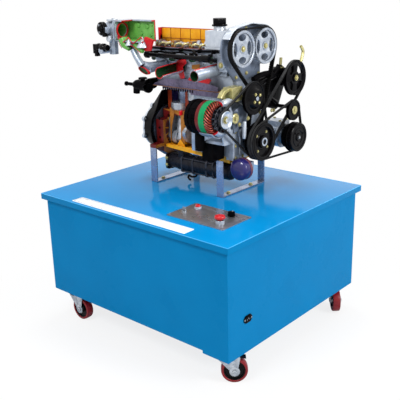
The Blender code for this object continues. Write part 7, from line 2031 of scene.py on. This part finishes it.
        self.add("throttle_bolts", bolts(flange_bolts, BACK, 0.0052), ZINC)

    def rail(self) -> None:
        """The fuel rail with its injectors and connectors."""
        y, z = self.rail_axis
        bar = lathe([(-0.242, 0.0), (-0.242, 0.0105), (-0.236, 0.0145), (-0.222, 0.0145), (-0.216, 0.0088),
            (0.06, 0.0088), (0.062, 0.0125), (0.071, 0.0125), (0.073, 0.014), (0.098, 0.014), (0.101, 0.011),
            (0.101, 0.0)], (y, z))
        sprays = []
        for x in CYLINDERS:
            sprays.append(tube([(x, y, z), (x, -0.118, 0.3195), (x, -0.0845, 0.311)], (0.0062, 0.0075, 0.0052),
                16, smooth=False))
            sprays.append(block((x - 0.006, y + 0.006, z + 0.006), (x + 0.006, y + 0.024, z + 0.016)))
        self.add("fuel_rail_turned", [bar, *sprays], BLACK, stands_for="fuel_rail", edge=0.0005)

    def loom(self) -> None:
        """The black wire loom over the head's near edge, with its clips."""
        cable = merged(tube([(-0.256, -0.112, 0.35), (-0.2, -0.118, 0.352), (-0.13, -0.114, 0.35),
            (-0.06, -0.116, 0.352), (0.0, -0.112, 0.349), (0.05, -0.108, 0.35), (0.11, -0.106, 0.352)], 0.0042,
            12), tube([(-0.25, -0.135, 0.334), (-0.19, -0.128, 0.34), (-0.12, -0.132, 0.338),
            (-0.06, -0.126, 0.342), (-0.03, -0.13, 0.334)], 0.0036, 12),
            tube([(-0.01, -0.116, 0.35), (0.012, -0.132, 0.344), (0.03, -0.142, 0.338)], 0.0055, 12))
        self.add("wire_loom", cable, SATIN, slot="black_plastic")
        clips = [block((x - 0.003, -0.122, 0.343), (x + 0.003, -0.101, 0.357)) for x in (-0.18, -0.08, 0.02,
            0.09)]
        self.add("loom_clips", clips, SATIN, slot="black_plastic", edge=0.0008)


def main() -> None:
    """Builds the scene: the studio first, then each assembly in order."""
    logging.basicConfig(level=logging.INFO, format="%(message)s")
    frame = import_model()
    Studio().build()
    assemblies: list[Assembly] = [Cabinet(), Controls(), Stand(), CylinderBlock(), LowerEnd(), CylinderHead(),
        TimingDrive(), BeltDrive(), Alternator(), Brackets(), Intake()]
    for joint in frame["joints"]:
        if joint["child"].startswith("wheel_"):
            name = joint["child"].removeprefix("wheel_")
            assemblies.append(Caster(name=name, axle=tuple(joint["axis"]), braked=name.startswith("operator")))
    for assembly in assemblies:
        assembly.build()
        LOG.info("built %s", type(assembly).__name__)
    bpy.context.view_layer.update()


if __name__ == "__main__":
    main()
